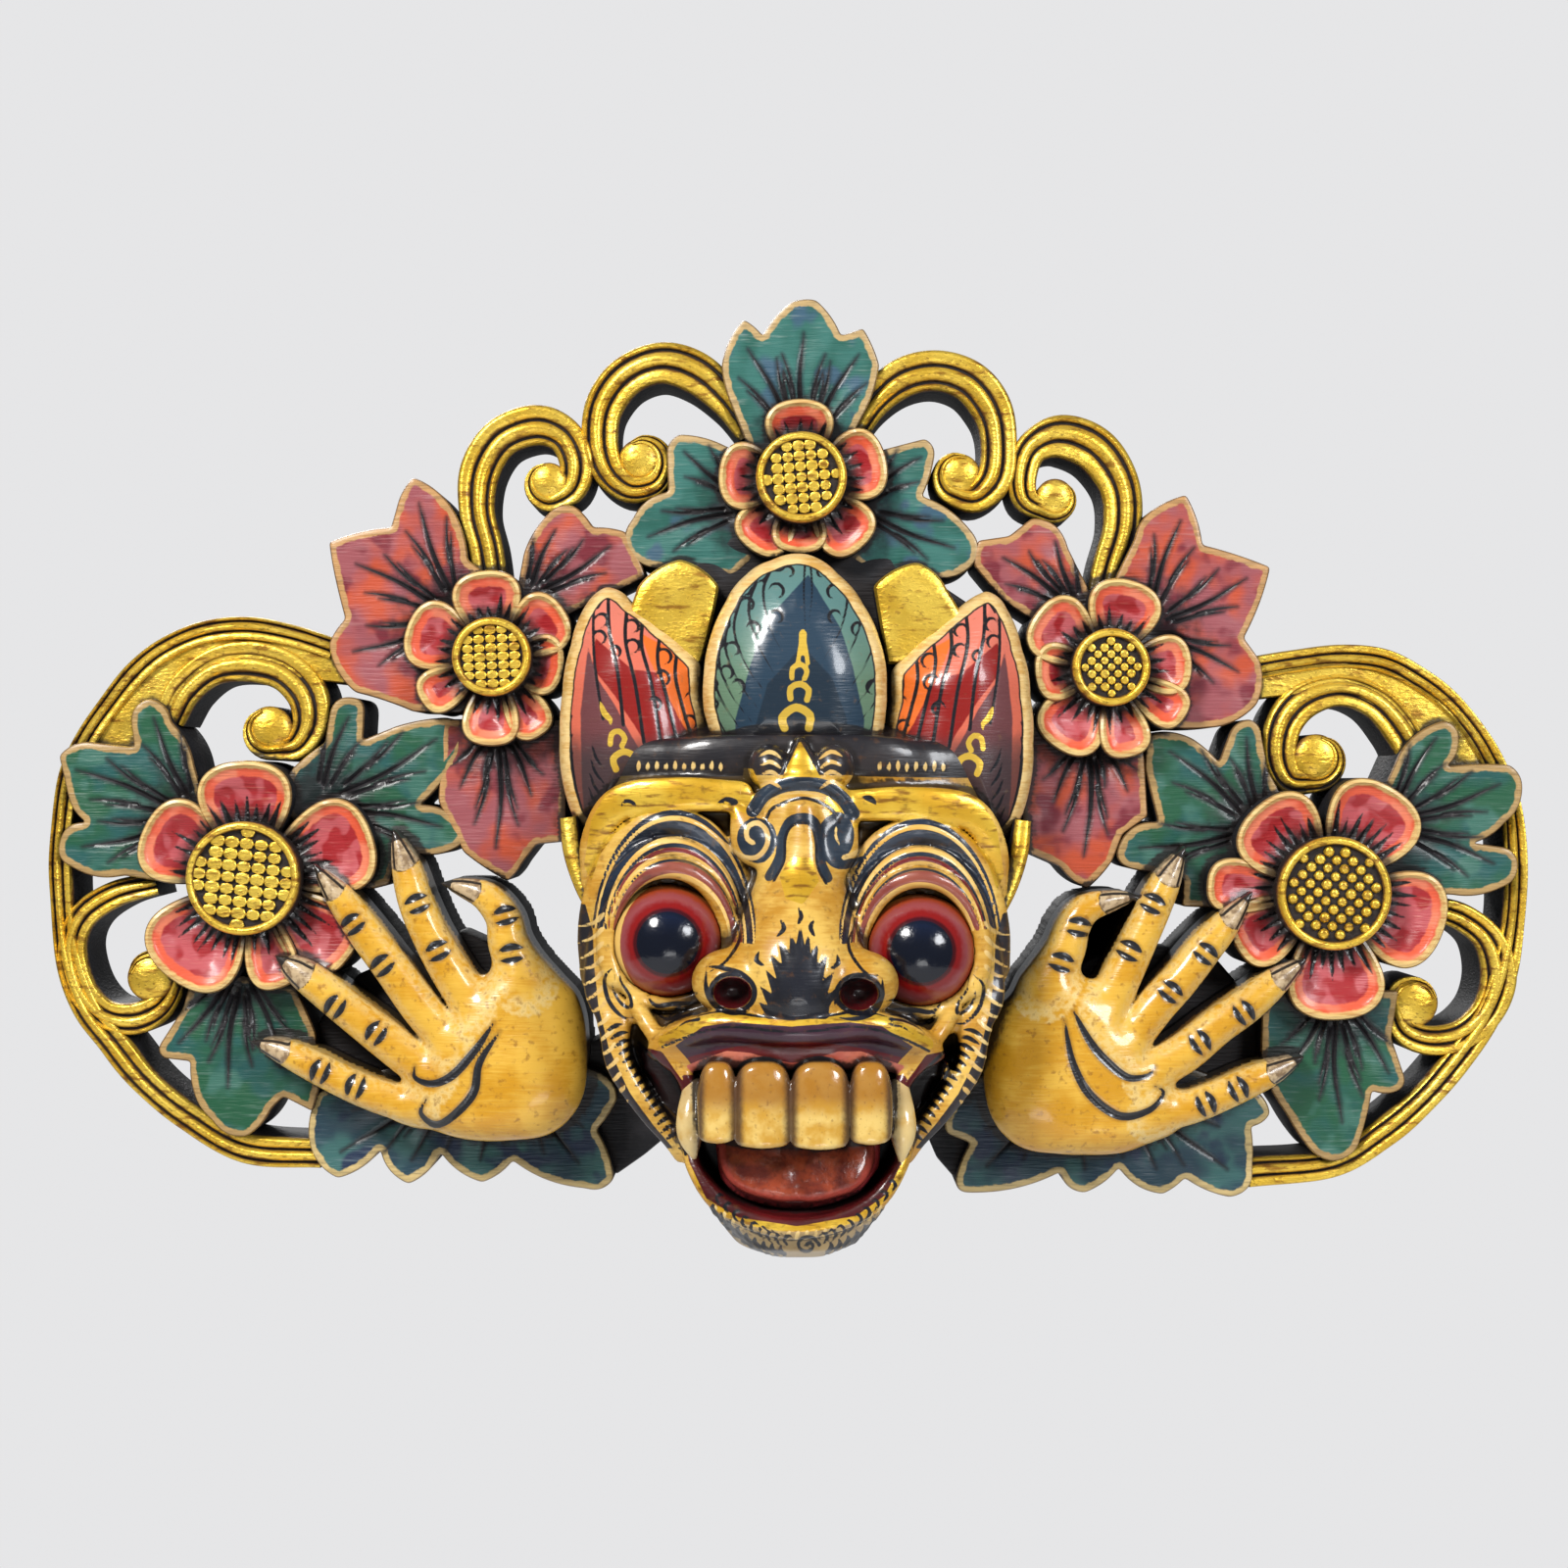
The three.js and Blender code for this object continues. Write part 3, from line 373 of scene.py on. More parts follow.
LEAVES = [
  {"name": "left_flower_outer_leaf",
    "root": [-201, -12], "ribs": [[-217, 25], [-245, 6], [-243, -22]],
    "corners": [[-194, -22], [-202, 6], [-210, 21, 1.5], [-217.5, 29, 2], [-223.5, 21, 2], [-222.5, 12.5],
      [-235.5, 14], [-248, 9.5, 2], [-245, -4], [-239, -13, 1], [-248, -20, 2.5], [-244, -28, 2],
      [-226, -31, 2], [-208, -34]],
  },
  {"name": "left_flower_inner_leaf",
    "root": [-161, -8], "ribs": [[-149, 25], [-117, 17], [-115, -15]],
    "corners": [[-160, -24], [-143, -36], [-136, -34], [-132.5, -23], [-124.5, -24], [-113, -21.5, 1],
      [-111, -14, 2], [-125.5, -7, 2], [-112, 10, 1], [-113, 20, 1], [-118, 22.5, 1], [-134, 19.5, 0.5],
      [-145, 15], [-144.5, 24], [-149.5, 29.5, 2], [-156, 25, 1.5], [-158, 14], [-170, 4, 0.5],
      [-172, -8]],
  },
  {"name": "left_flower_lower_leaf",
    "root": [-186, -60], "ribs": [[-209, -90], [-191, -106], [-172, -96]],
    "corners": [[-202, -62], [-206, -76], [-213, -87], [-212.5, -93, 1.5], [-203.5, -94], [-202.5, -104, 0.5],
      [-196, -114, 1], [-184.5, -119.5, 2], [-176, -110, 1], [-172, -106], [-162, -111], [-159, -100],
      [-161, -84], [-168, -68]],
  },
  {"name": "left_small_outer_leaf",
    "root": [-112, 56], "ribs": [[-127, 98], [-150, 76], [-151, 44]],
    "corners": [[-98, 32], [-96, 66], [-109.5, 76], [-112, 88, 0.5], [-128, 104, 2.5], [-133, 96, 0.5],
      [-135.5, 87], [-156.5, 82, 1], [-151, 56, 0.5], [-156.5, 47.5, 0.5], [-147.5, 31, 2],
      [-128, 24.5, -0.5], [-112, 24]],
  },
  {"name": "left_small_inner_leaf",
    "root": [-90, 62], "ribs": [[-79, 88], [-59, 82]],
    "corners": [[-86, 52], [-49, 70], [-56, 85.5, 0.5], [-67, 87, 0.5], [-73, 94, 0.5], [-82, 92, 1.5],
      [-90.5, 78, 1], [-94, 60]],
  },
  {"name": "left_small_lower_leaf",
    "root": [-99, 22], "ribs": [[-100, -25], [-113, -3], [-87, -6]],
    "corners": [[-118, 22], [-119.5, -6], [-111, -23], [-96, -33, 0.5], [-91, -27, 0.5], [-86, -20.5],
      [-76, -19.5], [-76, 22]],
  },
  {"name": "top_flower_upper_leaf",
    "root": [4, 112], "ribs": [[4.5, 156], [-16, 150], [24.5, 148]],
    "corners": [[16, 108], [24, 124], [30, 142, 1], [24.5, 154.5, 0.5], [17, 152], [8.5, 164, 1],
      [0.5, 163.5, 0.5], [-9.5, 152, 1], [-16, 157.5, 0.5], [-23.5, 141, 1.5], [-20, 128, 0.5],
      [-12, 108]],
  },
  {"name": "top_flower_left_leaf",
    "root": [-12, 94], "ribs": [[-38, 114], [-51, 83]],
    "corners": [[-4, 84], [-6, 108], [-22, 114.5], [-38, 118.5, 1], [-42, 111, 1.5], [-41.5, 99],
      [-53.5, 90, 2], [-56.5, 81, 1], [-47, 73, 1.5], [-20, 70]],
  },
  {"name": "top_flower_right_leaf",
    "root": [20, 94], "ribs": [[46, 112], [58, 79]],
    "corners": [[12, 84], [30, 68], [52, 69.5], [63, 76, 1.5], [61, 86, 1.5], [44.5, 97.5, 1.5],
      [48.5, 110, 0.5], [45.5, 117, 1.5], [30, 113], [14, 108]],
  },
  {"name": "right_small_outer_leaf",
    "root": [120, 52], "ribs": [[133, 92], [157, 71], [154, 37]],
    "corners": [[110, 24], [128, 19], [146, 19.5, 0.5], [158, 27, 1], [159, 42, 1.5], [153.5, 49.5],
      [162.5, 73.5, 1], [139.5, 81, 0.5], [134, 98, 1], [123.5, 93.5, 0.5], [116.5, 83, 1.5],
      [106, 62]],
  },
  {"name": "right_small_inner_leaf",
    "root": [98, 58], "ribs": [[89, 84], [70, 78]],
    "corners": [[90, 50], [104, 60], [94, 80], [90.5, 87, 0.5], [81.5, 90, 1], [74, 84], [63.5, 82.5],
      [62, 74, 0.5], [72, 62]],
  },
  {"name": "right_small_lower_leaf",
    "root": [102, 20], "ribs": [[99, -28], [88, -8], [115, -4]],
    "corners": [[82, 24], [77, 0], [79.5, -23], [91, -28], [100.5, -35.5, 1], [109, -26, 0.5],
      [112.5, -17], [121, -11], [119, 22]],
  },
  {"name": "right_flower_outer_leaf",
    "root": [202, -14], "ribs": [[220, 18], [243, 1], [241, -28]],
    "corners": [[196, -34], [224, -37.5, 1], [241, -35, 1.5], [246.5, -28, 1.5], [242, -21.5, 1.5],
      [231.5, -20], [242, -13, 1], [248, -2, 1.5], [243.5, 6.5, 1.5], [222.5, 6, 0.5],
      [226.5, 14, 1], [221.5, 21.5, 2], [206, 10, 2], [198, -8]],
  },
  {"name": "right_flower_inner_leaf",
    "root": [160, -16], "ribs": [[154, 18], [126, 13], [115, -22]],
    "corners": [[170, -10], [162, 4], [159.5, 17], [155.5, 22, 1], [149, 18, 1], [145, 7.5], [136, 15.5, 0.5],
      [120.5, 17, 1.5], [120, 5], [124.5, -13], [111, -21, 3], [113, -28, 1.5], [124, -30, 0.5],
      [133, -32], [132.5, -41.5], [143, -42], [152, -34]],
  },
  {"name": "right_flower_lower_leaf",
    "root": [184, -70], "ribs": [[204, -100], [187, -118], [168, -98]],
    "corners": [[160, -70], [159, -96], [168, -112, 0.5], [177, -125, 0.5], [192, -123.5, 3.5],
      [197, -104, 0.5], [206, -104, 1], [208, -99, 1], [203.5, -86], [206, -70]],
  },
]

BLUE_LEAVES = [
  {
    "root": [-100, -86], "ribs": [[-157, -128], [-131, -131], [-106, -131], [-70, -132]],
    "corners": [[-160, -104], [-164, -118, 1], [-154, -134, 3], [-139.5, -124.5, 1.5], [-130, -136, 2],
      [-119, -125.5, 1.5], [-105, -135.5, 1.5], [-94.5, -128, 1], [-70, -137.5, 2], [-60, -134, 2],
      [-66, -117.5, 1], [-59, -107, 0.5], [-66, -97.5, 2], [-100, -84]],
  },
  {
    "root": [100, -88], "ribs": [[64, -133], [100, -134], [126, -134], [152, -134]],
    "corners": [[66, -98], [53, -113, 2], [53.5, -119, 1], [61, -122], [56, -134, 0.5], [61, -139, 2],
      [91.5, -132, 2], [100, -139, 2], [111.5, -130.5, 1], [126.5, -139.5, 2], [134, -134, 0.5],
      [149.5, -140.5, 1], [157, -130, 3], [156.5, -116.5, 0.5], [163, -112, 1], [158, -104, 1],
      [100, -84]],
  },
]

BOARDS = [
  [[-150, 34], [-154, 44], [-170, 49], [-186, 51.5], [-201, 49.5], [-213, 44], [-223, 36], [-240, 12],
    [-222, 10], [-206, 32], [-190, 40], [-168, 36]],
  [[150, 28], [168, 30], [190, 31], [208, 22], [222, 4], [240, 2], [225, 26.5], [214, 34], [202, 39.5],
    [187, 42], [170, 40], [154, 37]],
  [[-60, -84], [-76, -92], [-66, -117], [-60, -134], [-50, -127], [-38, -117]],
  [[60, -84], [38, -117], [47, -121], [50, -128], [57, -136], [62, -122], [76, -92]],
  [[-86, -70], [-97, -60], [-104, -54], [-113, -50], [-128, -57], [-148, -65], [-158, -76],
    [-168, -90], [-150, -104], [-100, -104]],
  [[88, -70], [100, -104], [150, -104], [162, -92], [158, -74], [146, -60], [134, -56], [114, -56],
    [102, -60]],
]

FLOWERS = [
  {"name": "left",
    "middle": [-183, -31.5], "radius": 19,
    "petals": [[91, 39, 18], [153, 38, 16], [233, 42, 19.5], [287, 38.5, 8.5], [321, 43.5, 13.5],
      [19, 44.5, 17.5]],
  },
  {"name": "left_small",
    "middle": [-100, 42.5], "radius": 13.2,
    "petals": [[96, 29, 13], [160, 30.5, 13], [211, 28, 7.5], [268, 29.5, 10], [301, 30.5, 7.5],
      [352, 24, 12], [34, 28.5, 12]],
  },
  {"name": "top",
    "middle": [3.5, 102.5], "radius": 15.2,
    "petals": [[92, 26.5, 13.5], [14, 29, 14], [312, 30.5, 11], [268, 25, 10], [234, 29, 11],
      [177, 27.5, 13]],
  },
  {"name": "right_small",
    "middle": [107, 39], "radius": 13,
    "petals": [[76, 30, 14], [3, 27.5, 11], [327, 30, 7.5], [283, 30.5, 8.5], [236, 32, 13],
      [184, 25, 11], [143, 30.5, 13]],
  },
  {"name": "right",
    "middle": [181.5, -36.5], "radius": 19,
    "petals": [[131, 38, 17], [59, 40.5, 18], [341, 39.5, 19], [273, 42.5, 18], [210, 36.5, 12],
      [176, 41.5, 9]],
  },
]

HANDS = [
  {"name": "left",
    "palm": [[-78, -64], [-92, -54], [-104, -66], [-116, -80], [-125, -94], [-131, -103], [-132, -112],
      [-113, -118], [-98, -119.5, 0.5], [-84, -117, 0.5], [-75, -110, 1], [-69.5, -100, 1],
      [-68.5, -86, 0.5], [-72, -70, 1]],
    "fingers": [
      [THUMB_WIDTHS, [[-88, -66], [-94, -54], [-96, -45], [-101.5, -38], [-108.5, -35], [-117.5, -33]]],
      [FINGER_WIDTHS, [[-107, -73], [-114, -62], [-120.5, -50.5], [-125.5, -39], [-129, -27], [-133, -15]]],
      [FINGER_WIDTHS, [[-114, -86], [-124, -74], [-133, -62], [-142, -50], [-151, -38], [-160, -26.5]]],
      [FINGER_WIDTHS, [[-120, -97], [-133, -87], [-146, -77], [-156, -69], [-165, -62.5], [-172.5, -57.5]]],
      [LITTLE_WIDTHS, [[-125, -108], [-138, -104], [-149, -99.5], [-161, -93.5], [-171, -89], [-181, -86]]],
    ],
  },
  {"name": "right",
    "palm": [[71, -73], [66, -80, 0.5], [64.5, -93, 0.5], [66, -106, 0.5], [71, -115, 0.5], [83, -121.5, 1],
      [98, -124, 1], [113, -123, 0.5], [128, -117], [130, -104], [124, -96], [116, -84], [104, -68],
      [88, -58]],
    "fingers": [
      [THUMB_WIDTHS, [[84, -68], [91, -56.5], [94, -48], [98.5, -42], [107.5, -39], [117, -37.5]]],
      [FINGER_WIDTHS, [[104.5, -78], [109.5, -66.5], [115.5, -54], [121, -42], [126, -32], [132, -21]]],
      [FINGER_WIDTHS, [[112.5, -86], [121, -75], [130, -65.5], [138, -55.5], [145.5, -47], [154.5, -36]]],
      [FINGER_WIDTHS, [[119, -96.5], [131, -90], [142.5, -81], [152.5, -74], [162, -66.5], [173, -58]]],
      [LITTLE_WIDTHS, [[120, -111], [134, -107.5], [144.5, -103.5], [153.5, -99.5], [162, -96], [172, -91]]],
    ],
  },
]

# ------------------------------------------------------------------------------------ paints and gilding

class Value:
    """A socket of a finish, in expressions that add their own Math nodes."""

    def __init__(self, finish, socket):
        self.finish, self.socket = finish, socket

    def sum(self, operation, *values):
        return self.finish.node("ShaderNodeMath", {"operation": operation}, dict(enumerate(values)))

    def __add__(self, other): return self.sum("ADD", self, other)
    def __radd__(self, other): return self.sum("ADD", other, self)
    def __sub__(self, other): return self.sum("SUBTRACT", self, other)
    def __rsub__(self, other): return self.sum("SUBTRACT", other, self)
    def __mul__(self, other): return self.sum("MULTIPLY", self, other)
    def __rmul__(self, other): return self.sum("MULTIPLY", other, self)


class Finish:
    """A painted finish: a material whose nodes are added by expressions."""

    def __init__(self, name):
        self.material = bpy.data.materials.new(name)
        self.material.use_nodes = True
        self.tree = self.material.node_tree
        self.tree.nodes.clear()
        self.place = self.scale(self.node("ShaderNodeTexCoord", output="Object"), (1 / MM,) * 3)

    def node(self, kind, settings=(), inputs=(), output=0):
        """Add a node of a kind: its settings first, then the values or links of its sockets."""
        made = self.tree.nodes.new(kind)
        for key, value in dict(settings).items():
            setattr(made, key, value)
        for key, value in dict(inputs).items():
            if isinstance(value, Value):
                self.tree.links.new(value.socket, made.inputs[key])
            else:
                made.inputs[key].default_value = value
        return Value(self, made.outputs[output])

    def scale(self, vector, by):
        return self.node("ShaderNodeVectorMath", {"operation": "MULTIPLY"}, {0: vector, 1: by})

    def value(self, label):
        return self.node("ShaderNodeAttribute", {"attribute_name": label}, output="Fac")

    def noise(self, size, detail=3.0, stretch=(1, 1, 1), shift=0.0):
        """Noise with features about a size in millimetres, longer where stretch is more."""
        vector = self.scale(self.place, tuple(1 / (size * s) for s in stretch))
        if shift:
            vector = self.node("ShaderNodeVectorMath", {"operation": "ADD"}, {0: vector, 1: (shift,) * 3})
        return self.node("ShaderNodeTexNoise", {}, {"Vector": vector, "Scale": 1.0, "Detail": detail})

    def rise(self, value, low, high):
        """From 0 at low to 1 at high, smoothly."""
        return self.node("ShaderNodeMapRange", {"interpolation_type": "SMOOTHSTEP"},
                         {"Value": value, "From Min": low, "From Max": high})

    def mix(self, factor, under, over):
        """One colour laid over another, as far as the factor says."""
        colour = {key: (*c, 1) if isinstance(c, tuple) else c for key, c in ((6, under), (7, over))}
        return self.node("ShaderNodeMix", {"data_type": "RGBA"}, {0: factor, **colour}, output=2)

    def done(self, colour, roughness, bumps, depth, metallic=0.0, coat=0.0, coat_roughness=0.15, shade_and_grime=0.92):
        """Close the finish, with painted shade and grime in its hollows. Bumps from 0 to 1 stand for a depth
        in millimetres.
        """
        if shade_and_grime:
            # painted shade and grime: near-black where a point lies well below the carving around it
            speckle = self.noise(2.0, 4.0, shift=31.0)
            hollow = self.rise(self.value("sunk") + (speckle - 0.5) * 0.5, 0.22, 0.72) * shade_and_grime
            colour = self.mix(hollow, colour, HOLLOW_SHADE_AND_GRIME)
            if isinstance(metallic, Value):
                metallic = metallic * (1 - hollow)
        normal = self.node("ShaderNodeBump", {}, {"Height": bumps, "Distance": depth * MM, "Strength": 1.0})
        shader = self.node("ShaderNodeBsdfPrincipled", {}, {
            "Base Color": colour, "Roughness": roughness, "Metallic": metallic, "Coat Weight": coat * VARNISH,
            "Coat Roughness": coat_roughness, "Specular IOR Level": SHEEN, "Normal": normal})
        made = self.tree.nodes.new("ShaderNodeOutputMaterial")
        self.tree.links.new(shader.socket, made.inputs["Surface"])
        return self.material


def grain_of(f):
    """Fine lines of wood grain that run along X, and the brush's fainter ones."""
    return f.noise(1.0, 2.0, (9, 3, 0.7)) * 0.6 + f.noise(2.4, 3.0, (8, 3, 0.8), 7.0) * 0.4


def gilding(name):
    """Gold leaf over red-brown ground: worn grainy on the swells; in the grooves the brown and black of the
    ground, with painted shade.
    """
    f = Finish(name)
    cavity = f.value("cavity")
    cloud = f.noise(14.0, 4.0)
    speck = f.noise(0.9, 3.0, (2.2, 1, 1))
    streak = f.noise(2.2, 4.0, (4, 2, 1), 3.0)
    gold = f.mix(f.rise(cloud, 0.3, 0.7), (0.69, 0.42, 0.035), (0.86, 0.60, 0.085))
    gold = f.mix(f.rise(streak, 0.54, 0.70) * 0.8, gold, (0.27, 0.10, 0.012))
    gold = f.mix(f.rise(speck, 0.55, 0.68) * 0.65, gold, (0.16, 0.075, 0.012))
    # painted shade and dark ground: brown where the cavity is, near-black where it is deepest
    hollow = f.rise(cavity + (streak - 0.5) * 0.9 + (cloud - 0.5) * 0.6, 0.2, 0.7)
    gold = f.mix(hollow * 0.95, gold, (0.10, 0.036, 0.008))
    black = f.rise(cavity + (speck - 0.5) * 0.6, 0.62, 0.95)
    gold = f.mix(black, gold, (0.018, 0.012, 0.010))
    rough = 0.34 + hollow * 0.3 + f.rise(speck, 0.5, 0.75) * 0.2
    return f.done(gold, rough, metallic=0.72 - hollow * 0.6, coat=0.25, coat_roughness=0.2,
                  bumps=speck * 0.6 + streak * 0.6, depth=0.35)


def leaf_finish(name, field, patch, second, deep, rim, pale):
    """A painted leaf: a pale rim, a field with patches of two other colours, and dark cut veins."""
    f = Finish(name)
    edge, ink, root = f.value("edge"), f.value("ink"), f.value("root")
    cloud = f.noise(17.0, 2.0)
    other = f.noise(12.0, 2.0, shift=5.0)
    grain = grain_of(f)
    fine = f.noise(3.0, 3.0)
    colour = f.mix(f.rise(cloud, 0.42, 0.62), field, patch)
    colour = f.mix(f.rise(other, 0.52, 0.66), colour, second)
    colour = f.mix(f.rise(grain, 0.52, 0.75) * f.rise(edge + (fine - 0.5) * 6, 9, 4) * 0.42, colour, pale)
    colour = f.mix(f.rise(root + (fine - 0.5) * 0.4, 0.55, 0.15), colour, deep)
    border = f.rise(edge + (fine - 0.5) * 2.0, 2.7, 2.1)
    colour = f.mix(border, colour, f.mix(f.rise(grain, 0.4, 0.7), rim, tuple(c * 0.62 for c in rim)))
    colour = f.mix(f.rise(edge + (fine - 0.5) * 0.5, 0.75, 0.25) * 0.6, colour, (0.10, 0.045, 0.02))
    shade = f.rise(ink + (fine - 0.5) * 0.8, 1.6, -0.1)
    colour = f.mix(shade * 0.75, colour, deep)
    colour = f.mix(f.rise(ink + (fine - 0.5) * 0.3, 0.16, -0.16), colour, (0.018, 0.016, 0.018))
    rough = 0.44 + (grain - 0.5) * 0.3
    return f.done(colour, rough, coat=0.35, coat_roughness=0.22, bumps=grain, depth=0.45)


def petal_finish(name):
    """A painted petal: cream rim, coral band, crimson heart, and black strokes from the disc."""
    f = Finish(name)
    edge, ink, root = f.value("edge"), f.value("ink"), f.value("root")
    cloud = f.noise(11.0, 2.0)
    grain = grain_of(f)
    fine = f.noise(2.5, 3.0)
    coral = f.mix(f.rise(cloud, 0.45, 0.6), (0.60, 0.085, 0.035), (0.64, 0.17, 0.09))
    heart = f.mix(f.rise(f.noise(8.0, 1.0, shift=9.0), 0.46, 0.56), (0.30, 0.014, 0.018),
                  (0.42, 0.075, 0.085))
    depth = edge + (fine - 0.5) * 1.4
    colour = f.mix(f.rise(depth, 4.9, 5.7), coral, heart)
    colour = f.mix(f.rise(grain, 0.55, 0.78) * 0.45, colour, (0.72, 0.36, 0.24))
    colour = f.mix(f.rise(depth, 2.9, 2.1), colour, f.mix(f.rise(grain, 0.4, 0.7), (0.64, 0.46, 0.18),
                                                        (0.44, 0.21, 0.06)))
    colour = f.mix(f.rise(edge + (fine - 0.5) * 0.4, 0.65, 0.2) * 0.7, colour, (0.13, 0.055, 0.02))
    # painted shade: near-black where the petal sinks beside the raised disc
    colour = f.mix(f.rise(root + (fine - 0.5) * 4.0, 7.0, 2.0) * 0.88, colour, (0.022, 0.010, 0.010))
    colour = f.mix(f.rise(ink + (fine - 0.5) * 0.6, 0.35, -0.15), colour, (0.006, 0.005, 0.006))
    rough = 0.42 + (grain - 0.5) * 0.3
    return f.done(colour, rough, coat=0.4, coat_roughness=0.2, bumps=grain, depth=0.4)


def board_finish(name):
    """The near-black paint of the board and of every sawn side."""
    f = Finish(name)
    grain = grain_of(f)
    colour = f.mix(f.rise(f.noise(8.0), 0.4, 0.7), (0.006, 0.006, 0.008), (0.016, 0.015, 0.018))
    colour = f.mix(f.rise(grain, 0.6, 0.8) * 0.5, colour, (0.05, 0.035, 0.028))
    return f.done(colour, 0.62, bumps=grain, depth=0.5)


def back_finish(name):
    """The flat back: planed wood, stained dark brown and never varnished."""
    f = Finish(name)
    grain = f.noise(1.6, 5.0, (26, 1, 1))
    broad = f.noise(9.0, 3.0, (9, 1, 1), 4.0)
    colour = f.mix(f.rise(grain * 0.6 + broad * 0.4, 0.35, 0.65), (0.16, 0.085, 0.04), (0.27, 0.16, 0.085))
    colour = f.mix(f.rise(f.noise(30.0, 4.0), 0.52, 0.7) * 0.6, colour, (0.07, 0.04, 0.022))
    return f.done(colour, 0.8, bumps=grain, depth=0.4, shade_and_grime=0)


def hand_finish(name):
    """Glossy yellow ochre over wood, darker in the hollows, with cream nails and black creases."""
    f = Finish(name)
    ink, nail, light = f.value("ink"), f.value("nail"), f.value("light")
    cloud = f.noise(16.0, 4.0)
    fine = f.noise(2.2, 4.0)
    grain = grain_of(f)
    colour = f.mix(f.rise(cloud + (grain - 0.5) * 0.5, 0.35, 0.65), (0.52, 0.25, 0.012), (0.64, 0.37, 0.045))
    colour = f.mix(light * f.rise(fine, 0.3, 0.6) * 0.8, colour, (0.68, 0.50, 0.19))
    colour = f.mix(f.rise(fine, 0.56, 0.74) * 0.6, colour, (0.20, 0.075, 0.010))
    colour = f.mix(f.rise(nail, 0.3, -0.3), colour, f.mix(f.rise(fine, 0.4, 0.65), (0.46, 0.34, 0.20),
                                                          (0.20, 0.13, 0.07)))
    colour = f.mix(f.rise(f.value("nail_edge") + (fine - 0.5) * 0.3, 0.15, -0.15), colour,
                   (0.02, 0.016, 0.014))
    # painted shade: a brown band along each cut crease
    colour = f.mix(f.rise(ink + (fine - 0.5) * 0.4, 1.3, 0.1) * 0.45, colour, (0.16, 0.07, 0.015))
    colour = f.mix(f.rise(ink + (fine - 0.5) * 0.25, 0.15, -0.15), colour, (0.012, 0.012, 0.014))
    return f.done(colour, 0.3 + (cloud - 0.5) * 0.15, coat=0.7, coat_roughness=0.1,
                  bumps=grain * 0.6 + cloud * 0.8, depth=0.35)


def face_finish(name, coats, ground, shade):
    """The head's paint: a ground colour, and over it each coat where its value is below nought."""
    f = Finish(name)
    cloud = f.noise(15.0, 4.0)
    fine = f.noise(2.4, 4.0)
    grain = grain_of(f)
    colour = f.mix(f.rise(cloud + (grain - 0.5) * 0.5, 0.35, 0.68), shade, ground)
    metal = 0.0
    for label, tint, other, metallic in coats:
        over = f.mix(f.rise(cloud, 0.35, 0.65), tint, other)
        if metallic:
            over = f.mix(f.rise(f.noise(2.0, 4.0, (4, 2, 1), 3.0), 0.50, 0.68) * 0.85, over,
                         (0.20, 0.075, 0.010))
        cover = f.rise(f.value(label) + (fine - 0.5) * 0.3, 0.16, -0.16)
        colour = f.mix(cover, colour, over)
        if metallic or isinstance(metal, Value):
            metal = metal * (1 - cover) + cover * metallic
    colour = f.mix(f.rise(fine, 0.56, 0.76) * 0.5, colour, (0.085, 0.035, 0.010))
    return f.done(colour, 0.34, metallic=metal, coat=0.6, coat_roughness=0.12,
                  bumps=grain * 0.5 + cloud * 0.6, depth=0.3)


# --------------------------------------------------------------------------------- carving in the block

CORNERS = np.array([(i, j, k) for i in (0, 1) for j in (0, 1) for k in (0, 1)])
EDGES = [(a, b) for a in range(8) for b in range(a + 1, 8) if np.abs(CORNERS[a] - CORNERS[b]).sum() == 1]


